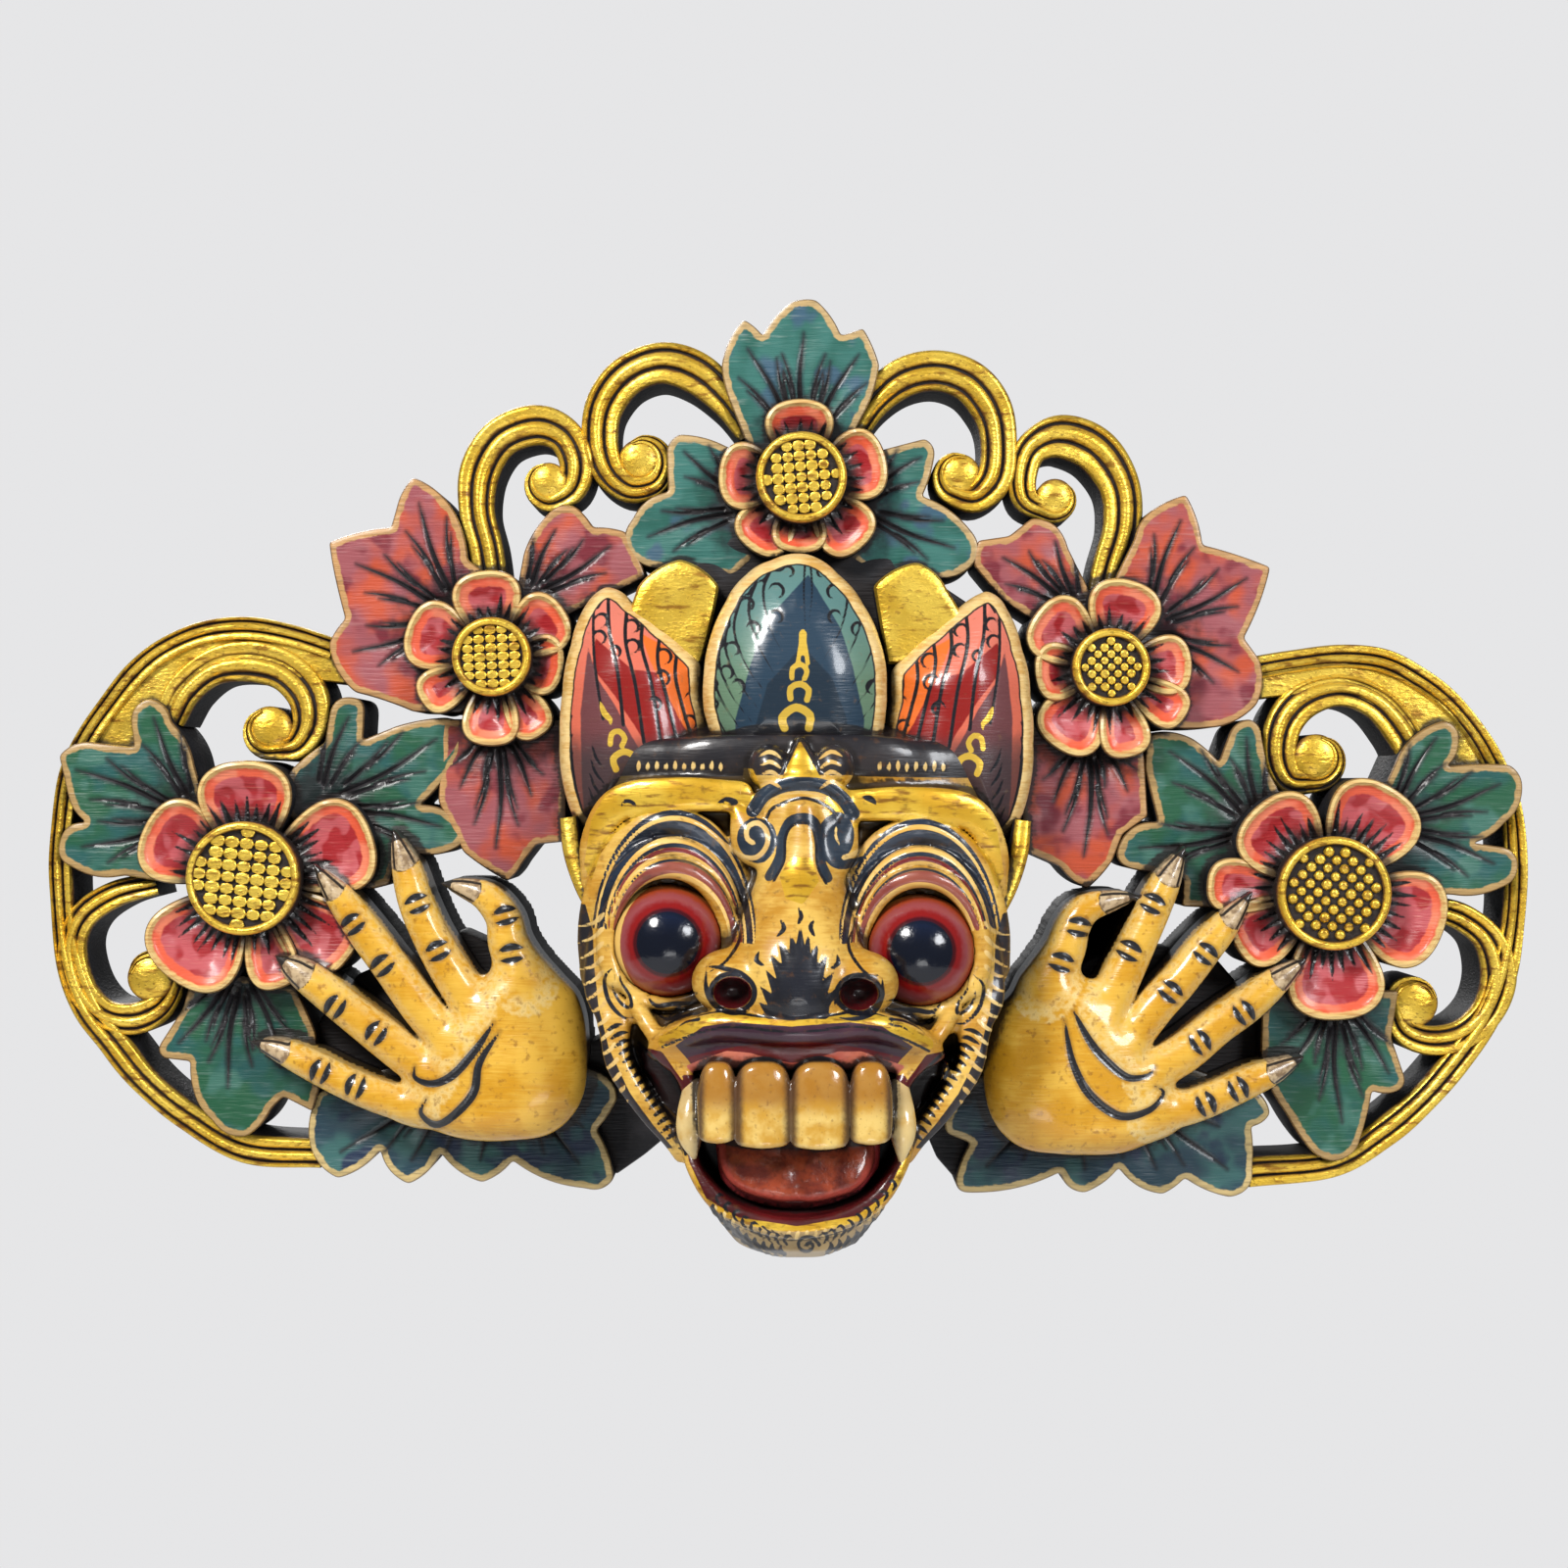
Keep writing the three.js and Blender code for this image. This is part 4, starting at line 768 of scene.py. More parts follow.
class Block:
    """Wood as a grid over (x, height, z) of distances to its surface, negative inside."""

    def __init__(self, low, high, cell):
        self.low, self.cell = np.array(low, float), cell
        counts = np.ceil((np.array(high) - self.low) / cell).astype(int) + 1
        self.axes = [self.low[i] + cell * np.arange(counts[i]) for i in range(3)]
        self.wood = np.full(counts, 20.0, np.float32)

    def window(self, low, high):
        """The part of the grid inside a box: its slices and its coordinates."""
        cut = tuple(slice(max(0, int((l - a[0]) / self.cell)), max(1, int((h - a[0]) / self.cell) + 2))
                    for l, h, a in zip(low, high, self.axes))
        x, h, z = np.ix_(*[a[s] for a, s in zip(self.axes, cut)])
        return cut, x, h, z

    def join(self, cut, distance, blend=0.0):
        here = self.wood[cut]
        if blend:
            part = np.clip(0.5 + 0.5 * (here - distance) / blend, 0, 1)
            self.wood[cut] = here + (distance - here) * part - blend * part * (1 - part)
        else:
            self.wood[cut] = np.minimum(here, distance)

    def cut_away(self, cut, distance, blend=0.0):
        here = -self.wood[cut]
        if blend:
            part = np.clip(0.5 + 0.5 * (here - distance) / blend, 0, 1)
            self.wood[cut] = -(here + (distance - here) * part - blend * part * (1 - part))
        else:
            self.wood[cut] = np.maximum(self.wood[cut], -distance)

    def ball(self, middle, radii, blend=0.0, away=False):
        """An ellipsoid with its middle at (x, height, z)."""
        middle, radii = np.array(middle, float), np.array(radii, float)
        cut, x, h, z = self.window(middle - radii - 4 - blend, middle + radii + 4 + blend)
        u, v, w = (x - middle[0]) / radii[0], (h - middle[1]) / radii[1], (z - middle[2]) / radii[2]
        k0 = np.sqrt(u * u + v * v + w * w)
        k1 = np.sqrt((u / radii[0]) ** 2 + (v / radii[1]) ** 2 + (w / radii[2]) ** 2) + 1e-6
        (self.cut_away if away else self.join)(cut, k0 * (k0 - 1) / k1, blend)

    def boss(self, outline, top, rounding, blend=0.0, away=False, floor=None):
        """What stands inside an outline up to a height, with a rounded edge; or a recess down to a floor."""
        outline = np.array(outline, float)
        reach = 4 + blend + rounding
        low = (outline[:, 0].min() - reach, self.low[1], outline[:, 1].min() - reach)
        high = (outline[:, 0].max() + reach, self.axes[1][-1], outline[:, 1].max() + reach)
        cut, x, h, z = self.window(low, high)
        flat = np.stack(np.broadcast_arrays(x[:, 0, :], z[0]), -1).reshape(-1, 2)
        side = outline_distance(flat, outline).reshape(x.shape[0], 1, z.shape[2])
        level = top(x, z) if callable(top) else top
        over = (floor - h) if floor is not None else (h - level)
        a, b = side + rounding, over + rounding
        distance = np.hypot(np.maximum(a, 0), np.maximum(b, 0)) + np.minimum(np.maximum(a, b), 0) - rounding
        (self.cut_away if away else self.join)(cut, distance, blend)

    def band(self, rows, crown=0.85):
        """The distance to a half-round band along rows (x, z, width, height) that stands on the wall."""
        reach = rows[:, 2].max() / 2 + 6
        low = (rows[:, 0].min() - reach, self.low[1], rows[:, 1].min() - reach)
        high = (rows[:, 0].max() + reach, self.axes[1][-1], rows[:, 1].max() + reach)
        cut, x, h, z = self.window(low, high)
        whole = np.full(np.broadcast_shapes(x.shape, h.shape, z.shape), 20.0, np.float32)
        for cx, cz, width, top in rows:
            r = max(width / 2, 0.5)
            i, j = (np.searchsorted(x[:, 0, 0], (cx - r - 5, cx + r + 5)),
                    np.searchsorted(z[0, 0], (cz - r - 5, cz + r + 5)))
            some = np.s_[i[0]:i[1], :, j[0]:j[1]]
            up = np.maximum(h - (top - r * crown), 0) / crown
            away = np.sqrt((x[i[0]:i[1]] - cx) ** 2 + (z[:, :, j[0]:j[1]] - cz) ** 2 + up ** 2) - r
            whole[some] = np.minimum(whole[some], away)
        return cut, whole

    def ridge(self, stations, blend=0.0, crown=0.85, spacing=1.2):
        cut, whole = self.band(smooth_route(stations, spacing), crown)
        self.join(cut, whole, blend)

    def surface(self, smoothing):
        """The wood's surface: points where the distances cross nought, and four-sided faces. It is open at
        the bottom of the grid."""
        field = np.pad(self.wood, 1, constant_values=20.0)
        field[:, 0] = 0.5 * self.cell
        inside = field < 0
        size = np.array(field.shape) - 1
        count = sum(inside[i:size[0] + i, j:size[1] + j, k:size[2] + k].astype(np.int8)
                    for i, j, k in CORNERS)
        cells = np.argwhere((count > 0) & (count < 8))
        at = [field[tuple((cells + c).T)] for c in CORNERS]
        total, crossings = np.zeros((len(cells), 3)), np.zeros(len(cells))
        for a, b in EDGES:
            crossed = (at[a] < 0) != (at[b] < 0)
            t = np.where(crossed, at[a] / np.where(crossed, at[a] - at[b], 1), 0)
            total += crossed[:, None] * (CORNERS[a] + t[:, None] * (CORNERS[b] - CORNERS[a]))
            crossings += crossed
        places = self.low + (cells + total / crossings[:, None] - 1) * self.cell
        number = np.full(size, -1)
        number[tuple(cells.T)] = np.arange(len(cells))
        quads = []
        for axis in range(3):
            first, second = (axis + 1) % 3, (axis + 2) % 3
            here, there = [slice(1, -1)] * 3, [slice(1, -1)] * 3
            here[axis], there[axis] = slice(0, -1), slice(1, None)
            a, b = inside[tuple(here)], inside[tuple(there)]
            found = np.argwhere(a != b)
            start = found + 1
            start[:, axis] -= 1
            ring = []
            for d1, d2 in ((0, 0), (-1, 0), (-1, -1), (0, -1)):
                corner = start.copy()
                corner[:, first] += d1
                corner[:, second] += d2
                ring.append(number[tuple(corner.T)])
            ring = np.stack(ring, 1)
            leaving = a[tuple(found.T)]
            quads.append(np.where(leaving[:, None], ring[:, ::-1], ring))
        quads = np.vstack(quads)
        low = cells[:, 1] == 0
        pairs = np.vstack([quads[:, [i, (i + 1) % 4]] for i in range(4)])
        for _ in range(smoothing):
            mean, degree = np.zeros_like(places), np.zeros(len(places))
            for i, j in (pairs.T, pairs.T[::-1]):
                np.add.at(mean, i, places[j])
                np.add.at(degree, i, 1)
            mean /= degree[:, None]
            places = np.where(low[:, None], places, places * 0.5 + mean * 0.5)
        places[low, 1] = 0.0
        quads = quads[~low[quads].all(1)]
        return places, quads


def open_edges(quads):
    """The loops of points round the openings that a surface leaves at the bottom of its grid."""
    sides = np.vstack([quads[:, [i, (i + 1) % 4]] for i in range(4)])
    taken = set(map(tuple, sides))
    following = {b: a for a, b in taken if (b, a) not in taken}
    loops = []
    while following:
        start, at = next(iter(following.items()))
        loop = [start]
        del following[start]
        while at != start:
            loop.append(at)
            at = following.pop(at, start)
        loops.append(loop)
    return loops


def point_normals(points, quads):
    """Outward directions at the points of a form in (x, height, z)."""
    cross = np.cross(points[quads[:, 2]] - points[quads[:, 0]], points[quads[:, 3]] - points[quads[:, 1]])
    normals = np.zeros_like(points)
    for i in range(4):
        np.add.at(normals, quads[:, i], cross)
    return normals / np.maximum(np.linalg.norm(normals, axis=1), 1e-9)[:, None]


def carved_form(block, smoothing, marks, engrave=None):
    """The form of a block, closed at the back. Marks gives the values at its points, and engrave turns
    them into a depth."""
    points, quads = block.surface(smoothing)
    corner = points[quads]
    volume = np.einsum("ij,ij->i", corner[:, 0], np.cross(corner[:, 1], corner[:, 2])).sum() \
        + np.einsum("ij,ij->i", corner[:, 0], np.cross(corner[:, 2], corner[:, 3])).sum()
    if volume < 0:
        quads = quads[:, ::-1]
    normals = point_normals(points, quads)
    values = marks(points)
    if engrave:
        depth = engrave(values) * (points[:, 1] > block.low[1])
        points = points - normals * depth[:, None]
    faces = [tuple(q[::-1]) for q in quads]
    kinds = [1 if (points[q][:, 1] < 0.5).any() else 0 for q in quads]
    for loop in open_edges(quads):
        if len(loop) > 12:
            faces.append(tuple(loop[::-1]))
            kinds.append(1)
    return Form(points, faces, kinds, values)


def laid_out(points):
    """Where points [x, height, z] were drawn on by the painter, who stood in front."""
    return points[:, [0, 2]] * (REACH / (REACH + REST - points[:, 1]))[:, None]


# ------------------------------------------------------------------------------------- leaves and boards

def leaf_strokes(root, ribs):
    """The V cuts of a leaf: a long one along each rib, and shorter ones that fan beside it."""
    strokes = []
    root = np.array(root, float)
    for number, tip in enumerate(ribs):
        run = np.array(tip, float) - root
        length = float(np.hypot(*run))
        ahead = run / length
        side = np.array([-ahead[1], ahead[0]])
        bend = 0.03 * length * (-1) ** number
        strokes.append(([root + run * 0.2, root + run * 0.55 + side * bend, root + run * 0.93], 1.15, "tail"))
        for way in (-1, 1):
            for begin, reach, out, wide in ((0.24, 0.40, 2.6, 0.95), (0.42, 0.34, 3.6, 0.75)):
                start = root + run * begin + side * way * (out - 0.6)
                end = start + run * reach + side * way * (1.6 + reach * length * 0.18)
                middle = (start + end) / 2 - side * way * 0.6
                strokes.append(([start, middle, end], wide, "tail"))
    return strokes


def make_leaf(shape, height, finish):
    outline = bowed_outline(shape["corners"])
    strokes = leaf_strokes(shape["root"], shape["ribs"])
    root = np.array(shape["root"], float)
    longest = max(float(np.hypot(*(np.array(tip) - root))) for tip in shape["ribs"])
    ribs = [np.array([root, tip], float) for tip in shape["ribs"]]

    def tops(places, depth):
        ink = stroke_distance(places, strokes)
        valley = np.max([np.exp(-(line_distance(places, rib)[0] / 4.0) ** 2) for rib in ribs], axis=0)
        far = np.hypot(*(places - root).T) / longest
        return (height - 1.3 * np.clip(-ink, 0, 2) - 1.5 * valley * np.clip(1.1 - far, 0, 1)
                + wobble(places, 7.0, 0.35) - 0.35)

    def marks(places, depth):
        return {"ink": stroke_distance(places, strokes),
                "root": np.hypot(*(places - root).T) / longest}

    form = relief(outline, tops, marks=marks, creases=[line for line, _, _ in strokes])
    return make_piece(shape["name"], form, [finish, FINISHES["board"]])


# --------------------------------------------------------------------------------------------- flowers

def even_loop(points, spacing):
    """The same closed outline with its points evenly spaced."""
    closed = np.vstack([points, points[:1]])
    far = np.concatenate([[0], np.cumsum(np.hypot(*np.diff(closed, axis=0).T))])
    at = np.linspace(0, far[-1], max(12, round(far[-1] / spacing)), endpoint=False)
    return np.column_stack([np.interp(at, far, closed[:, i]) for i in range(2)])


def petal_outline(middle, radius, petal, grow=0.0):
    angle, reach, half = petal
    spread = math.atan2(half + grow, reach * 0.62)
    t = np.linspace(-1, 1, 121)
    r = (reach + grow) * (1 - np.abs(t) ** 3.2) ** 0.3
    keep = r > radius * 0.75
    t, r = t[keep], r[keep]
    turns = math.radians(angle) + spread * t
    back = math.radians(angle) + spread * np.linspace(t[-1], t[0], 9)
    outer = np.column_stack([r * np.cos(turns), r * np.sin(turns)])
    inner = radius * 0.72 * np.column_stack([np.cos(back), np.sin(back)])
    outline = even_loop(np.vstack([outer, inner]) + middle, 0.8)
    for _ in range(3):
        outline = (np.roll(outline, 1, 0) + 2 * outline + np.roll(outline, -1, 0)) / 4
    return outline


def make_petals(flower, draw):
    middle, radius = np.array(flower["middle"], float), flower["radius"]
    forms = []
    for number, petal in enumerate(flower["petals"]):
        angle, reach, half = petal
        lift = (0.0, -1.0, -0.4)[number % 3]
        count = max(3, round(half / 2.6))
        strokes = []
        for k in range(count):
            turn = math.radians(angle) + math.atan2(half, reach * 0.62) * ((k + 0.5) / count * 2 - 1) * 0.82
            ahead = np.array([math.cos(turn), math.sin(turn)])
            long = (reach - radius) * draw.uniform(0.30, 0.60)
            lean = np.array([-ahead[1], ahead[0]]) * draw.uniform(-0.6, 0.6)
            strokes.append(([middle + ahead * (radius - 1.5),
                             middle + ahead * (radius + long * 0.5) + lean * 0.6,
                             middle + ahead * (radius + long) + lean], draw.uniform(0.9, 1.4), "tail"))

        def tops(places, depth, lift=lift, strokes=strokes, reach=reach):
            ink = stroke_distance(places, strokes)
            out = (np.hypot(*(places - middle).T) - radius) / (reach - radius)
            dish = 1.1 * np.clip((depth - 1.6) / 1.2, 0, 1) + 2.6 * np.clip((depth - 2) / 8, 0, 1) ** 0.8
            sink = 3.0 * np.clip(1 - out * 1.5, 0, 1)
            return PETAL + lift - dish - sink - 1.1 * np.clip(-ink, 0, 2) + wobble(places, 5.0, 0.2)

        def marks(places, depth, strokes=strokes):
            return {"ink": stroke_distance(places, strokes), "root": np.hypot(*(places - middle).T) - radius}

        forms.append(relief(petal_outline(middle, radius, petal, 0.4), tops, marks=marks, rounding=1.5,
                            base=PETAL_STEP * number))
    return make_piece(flower["name"] + "_flower_petals", joined(forms),
                      [FINISHES["petal"], FINISHES["board"]])


def lattice_tree():
    """Cells in rows over a round floor: a grid of points, kept inside a radius, with a cell on each."""
    tree = bpy.data.node_groups.new("disc_lattice", "GeometryNodeTree")
    tree.interface.new_socket("Geometry", in_out="OUTPUT", socket_type="NodeSocketGeometry")
    for label, kind in (("Radius", "Float"), ("Pitch Across", "Float"), ("Pitch Up", "Float"),
                        ("Turn", "Float"),
                        ("Cell Turn", "Float"), ("Cell Height", "Float"), ("Top Part", "Float"),
                        ("Middle", "Vector"), ("Seed", "Int"), ("Gilding", "Material")):
        tree.interface.new_socket(label, in_out="INPUT", socket_type="NodeSocket" + kind)

    def node(kind, settings=(), inputs=()):
        made = tree.nodes.new(kind)
        for key, value in dict(settings).items():
            setattr(made, key, value)
        for key, value in dict(inputs).items():
            if isinstance(value, bpy.types.NodeSocket):
                tree.links.new(value, made.inputs[key])
            else:
                made.inputs[key].default_value = value
        return made

    def maths(operation, *values):
        return node("ShaderNodeMath", {"operation": operation}, dict(enumerate(values))).outputs[0]

    def vector(x, y, z):
        return node("ShaderNodeCombineXYZ", {}, {0: x, 1: y, 2: z}).outputs[0]

    given = tree.nodes.new("NodeGroupInput").outputs
    grid = node("GeometryNodeMeshGrid", {}, {
        "Size X": maths("MULTIPLY", given["Pitch Across"], 20.0),
        "Size Y": maths("MULTIPLY", given["Pitch Up"], 20.0), "Vertices X": 21, "Vertices Y": 21})
    turned = node("GeometryNodeTransform", {}, {"Geometry": grid.outputs["Mesh"],
                                                "Rotation": vector(0.0, 0.0, given["Turn"])})
    place = node("GeometryNodeInputPosition").outputs[0]
    far = node("ShaderNodeVectorMath", {"operation": "LENGTH"}, {0: place}).outputs["Value"]
    outside = node("FunctionNodeCompare", {"operation": "GREATER_THAN"}, {0: far, 1: given["Radius"]})
    kept = node("GeometryNodeDeleteGeometry", {"domain": "POINT"},
                {"Geometry": turned.outputs[0], "Selection": outside.outputs[0]})
    cell = node("GeometryNodeMeshCone", {}, {
        "Vertices": 4, "Side Segments": 2, "Fill Segments": 2, "Radius Top": given["Top Part"],
        "Radius Bottom": 0.707, "Depth": 1.0})
    soft = node("GeometryNodeSubdivisionSurface", {}, {"Mesh": cell.outputs["Mesh"], "Level": 1})
    height = node("ShaderNodeSeparateXYZ", {}, {0: place}).outputs[2]
    # each cell's cavity, 1 at its foot and less up its sides: painted shade and dark ground between the cells
    # in the gilding
    worn = node("GeometryNodeStoreNamedAttribute", {"data_type": "FLOAT", "domain": "POINT"},
                {"Geometry": soft.outputs[0], "Name": "cavity",
                 "Value": maths("SUBTRACT", 1.0, maths("MULTIPLY", height, 1.7))})
    uneven = node("FunctionNodeRandomValue", {"data_type": "FLOAT"},
                  {2: 0.84, 3: 1.0, "Seed": given["Seed"]}).outputs[1]
    size = vector(maths("MULTIPLY", maths("MULTIPLY", given["Pitch Across"], uneven), 1.2),
                  maths("MULTIPLY", maths("MULTIPLY", given["Pitch Up"], uneven), 1.2),
                  maths("MULTIPLY", given["Cell Height"], uneven))
    square = node("GeometryNodeTransform", {}, {"Geometry": worn.outputs[0],
                                                "Rotation": vector(0.0, 0.0, given["Cell Turn"])})
    cells = node("GeometryNodeInstanceOnPoints", {}, {
        "Points": kept.outputs[0], "Instance": square.outputs[0], "Scale": size,
        "Rotation": vector(0.0, 0.0, given["Turn"])})
    stood = node("GeometryNodeTransform", {}, {
        "Geometry": cells.outputs[0], "Translation": given["Middle"], "Rotation": (math.pi / 2, 0.0, 0.0)})
    real = node("GeometryNodeRealizeInstances", {}, {"Geometry": stood.outputs[0]})
    painted = node("GeometryNodeSetMaterial", {}, {"Geometry": real.outputs[0], "Material": given["Gilding"]})
    smooth = node("GeometryNodeSetShadeSmooth", {}, {"Geometry": painted.outputs[0]})
    tree.links.new(smooth.outputs[0], tree.nodes.new("NodeGroupOutput").inputs[0])
    return tree


def lattice(name, tree, **sizes):
    """The cells of one disc as a plain mesh."""
    maker = bpy.data.objects.new(name + "_maker", bpy.data.meshes.new(name + "_maker"))
    bpy.context.scene.collection.objects.link(maker)
    modifier = maker.modifiers.new("cells", "NODES")
    modifier.node_group = tree
    for item in tree.interface.items_tree:
        if item.in_out == "INPUT":
            modifier[item.identifier] = sizes[item.name.lower().replace(" ", "_")]
    bpy.context.view_layer.update()
    mesh = bpy.data.meshes.new_from_object(maker.evaluated_get(bpy.context.evaluated_depsgraph_get()))
    bpy.data.objects.remove(maker)
    mesh.name = name
    return added(name, mesh)


DISC_CELLS = {  # pitch across and up, turn of the rows, turn of a cell in them, top part, cell height
    "left": (4.9, 3.9, -0.12, 0.785, 0.74, 1.5),
    "left_small": (3.9, 3.0, 0.06, 0.785, 0.74, 1.3),
    "top": (3.9, 3.5, 0.10, 0.785, 0.74, 1.4),
    "right_small": (3.1, 3.1, 0.80, 0.785, 0.62, 1.5),
    "right": (3.9, 3.9, 0.72, 0.785, 0.45, 2.0),
}


def make_disc(flower, tree, seed):
    name, radius, middle = flower["name"], flower["radius"], flower["middle"]
    profile = [(0, DISC - 2.4, 1.0), (radius * 0.5, DISC - 2.4, 1.0), (radius - 3.0, DISC - 2.4, 1.0),
               (radius - 2.6, DISC - 1.0, 0.6), (radius - 2.1, DISC - 0.2, 0.1), (radius - 1.3, DISC, 0.0),
               (radius - 0.5, DISC - 0.4, 0.1), (radius, DISC - 1.6, 0.5), (radius, DISC - 6, 1.0),
               (radius, 0.0, 1.0)]
    make_piece(name + "_flower_disc", lathe(middle, profile), [FINISHES["gold"]], sharp=60)
    across, up, turn, cell_turn, top, height = DISC_CELLS[name]
    lattice(name + "_flower_cells", tree, radius=(radius - 3.3) * MM, pitch_across=across * MM,
            pitch_up=up * MM, turn=turn, cell_turn=cell_turn, cell_height=height * MM, top_part=top,
            middle=(middle[0] * MM, -(DISC - 2.5) * MM, middle[1] * MM), seed=seed,
            gilding=FINISHES["gold"])


# --------------------------------------------------------------------------------------------- scrolls

# Across a scroll: [part of the width, drop below its height, cavity].
SCROLL_PROFILE = [
    (-0.50, 4.4, 0.9), (-0.49, 2.4, 0.5), (-0.45, 1.1, 0.15), (-0.39, 0.7, 0.0), (-0.35, 1.2, 0.4),
    (-0.32, 2.6, 1.0), (-0.28, 2.6, 1.0), (-0.235, 1.2, 0.5), (-0.16, 0.4, 0.1), (-0.08, 0.0, 0.0),
    (0.0, 0.3, 0.0), (0.055, 1.1, 0.35), (0.09, 2.7, 1.0), (0.13, 2.7, 1.0), (0.175, 1.3, 0.5),
    (0.25, 0.9, 0.1), (0.36, 0.7, 0.0), (0.42, 0.8, 0.0), (0.465, 1.7, 0.3), (0.49, 3.0, 0.6),
    (0.50, 4.4, 0.9),
]


def curled(route, knob):
    """The stations of a scroll, carried on round its knob until they run out."""
    middle, radius = np.array(knob[:2]), knob[2]
    last, before = np.array(route[-1][:2]), np.array(route[-2][:2])
    arm, run = last - middle, last - before
    way = 1 if arm[0] * run[1] - arm[1] * run[0] > 0 else -1
    turn, reach, width = math.atan2(arm[1], arm[0]), float(np.hypot(*arm)), route[-1][2]
    more = []
    for step in range(1, 6):
        part = step / 5
        turn += way * math.radians(36)
        far = reach * (1 - part) + (radius * 0.86) * part
        more.append((*(middle + far * np.array([math.cos(turn), math.sin(turn)])),
                     width * (1 - part) + 1.4 * part))
    return list(route) + more


def make_scroll(scroll):
    route = curled(scroll["route"], scroll["knob"]) if "knob" in scroll else scroll["route"]
    rows = smooth_route([(*station, SCROLL) for station in route], 1.3)
    rows[:, 3] += wobble(rows[:, :2], 13.0, 0.7)
    rows[:, 2] *= 1 + wobble(rows[:, :2], 10.0, 0.05)
    form = sweep(rows, SCROLL_PROFILE)
    if "knob" in scroll:
        x, z, r = scroll["knob"]
        form = form + knob_form((x, z), r, SCROLL + 0.6, 3.0)
    return make_piece(scroll["name"], form, [FINISHES["gold"], FINISHES["board"]], sharp=55)


# ----------------------------------------------------------------------------------------------- hands

CREASES = {  # the painted folds of each finger joint, from one side of the finger to the other
    "left": [(-127, -41, 112), (-120, -57, 116), (-149, -48, 128), (-139, -62, 130), (-155, -76, 146),
             (-141, -85, 144), (-160, -98, 156), (-148, -103, 158), (-97, -45, 105), (-95, -58, 100)],
    "right": [(98, -49, 78), (92, -61, 72), (123, -41, 64), (115, -57, 62), (141, -58, 52), (129, -71, 52),
              (154, -78, 34), (139, -88, 34), (152, -104, 26), (141, -109, 24)],
}
PALM_LINES = {
    "left": [[(-101, -81), (-107, -90), (-115, -99), (-122, -102), (-128, -100), (-128, -96)],
             [(-99, -84), (-106, -95), (-108, -105), (-115, -113), (-121, -116), (-126, -112), (-124, -107)]],
    "right": [[(96, -77), (102, -88), (108, -95), (115, -100), (122, -99), (124, -96)],
              [(93, -80), (96, -95), (102, -106), (112, -113), (122, -111), (127, -105), (124, -103)]],
}


def crease_strokes(side):
    strokes = []
    for x, z, heading in CREASES[side]:
        turn = math.radians(heading)
        ahead = np.array([math.cos(turn), math.sin(turn)])
        across = np.array([-ahead[1], ahead[0]])
        for shift, bow, half in ((1.7, 0.9, 1.3), (-1.5, -0.5, 1.1)):
            middle = np.array([x, z]) + ahead * shift
            strokes.append(([middle - across * 4.2, middle + ahead * bow, middle + across * 4.2], half,
                            "arc"))
    return strokes + [(line, 1.5, "arc") for line in PALM_LINES[side]]


def make_hand(hand):
    side = hand["name"]
    palm = bowed_outline(hand["palm"], 1.5)
    fingers = [smooth_route([(x, z, w, h) for (x, z), w, h in zip(route, widths, FINGER_HEIGHTS)], 1.0)
               for widths, route in hand["fingers"]]
    every = np.vstack([f[:, :2] for f in fingers] + [palm])
    low, high = every.min(0) - 9, every.max(0) + 9
    block = Block((low[0], 28, low[1]), (high[0], 62, high[1]), 0.9)
    block.boss(palm, lambda x, z: 57.5 - 2.2 * (((x - palm[:, 0].mean()) / 32) ** 2
                                                + ((z - palm[:, 1].mean()) / 32) ** 2), 10)
    block.ball((-86, 50.5, -98) if side == "left" else (83, 50.5, -103), (17, 8.5, 19), 5)
    bare = block.wood.copy()
    whole = bare.copy()
    for rows in fingers:
        block.wood = bare.copy()
        cut, finger = block.band(rows, 0.95)
        block.join(cut, finger, 4)
        whole = np.minimum(whole, block.wood)
    block.wood = whole
    strokes = crease_strokes(side)

    def marks(points):
        drawn, flat = laid_out(points), points[:, [0, 2]]
        nearest, along, half = np.full(len(points), 1e9), np.zeros(len(points)), np.ones(len(points))
        length = np.ones(len(points))
        for rows in fingers:
            away, t = line_distance(flat, rows[:, :2])
            width = np.interp(t, np.linspace(0, 1, len(rows)), rows[:, 2]) / 2
            closer = away - width < nearest
            nearest = np.where(closer, away - width, nearest)
            along, half = np.where(closer, t, along), np.where(closer, width, half)
            total = np.hypot(*np.diff(rows[:, :2], axis=0).T).sum()
            length = np.where(closer, total, length)
        lateral = np.clip((nearest + half) / half, 0, 2)
        root = (1 - along) * length
        nail = root - 14.5 + 2.0 * np.clip(lateral, 0, 1) ** 2
        nail_edge = np.maximum(np.minimum(np.abs(lateral - 0.72) * half - 0.42, root - 4.0), nail + 0.4)
        nail_edge = np.minimum(nail_edge, np.abs(nail) - 0.22)
        beyond = nearest > 3
        return {"ink": stroke_distance(drawn, strokes), "nail": np.where(beyond, 9, nail),
                "nail_edge": np.where(beyond, 9, nail_edge),
                "light": np.where(beyond, 0, np.clip((lateral - 0.35) * 1.8, 0, 1))}

    def engrave(values):
        return 0.55 * np.clip(-values["ink"], 0, 1) + 0.25 * np.clip(-values["nail_edge"] * 2, 0, 1)

    form = carved_form(block, 2, marks, engrave)
    return make_piece(side + "_hand", form, [FINISHES["hand"], FINISHES["board"]], sharp=80)


# ------------------------------------------------------------------------------------------- the head

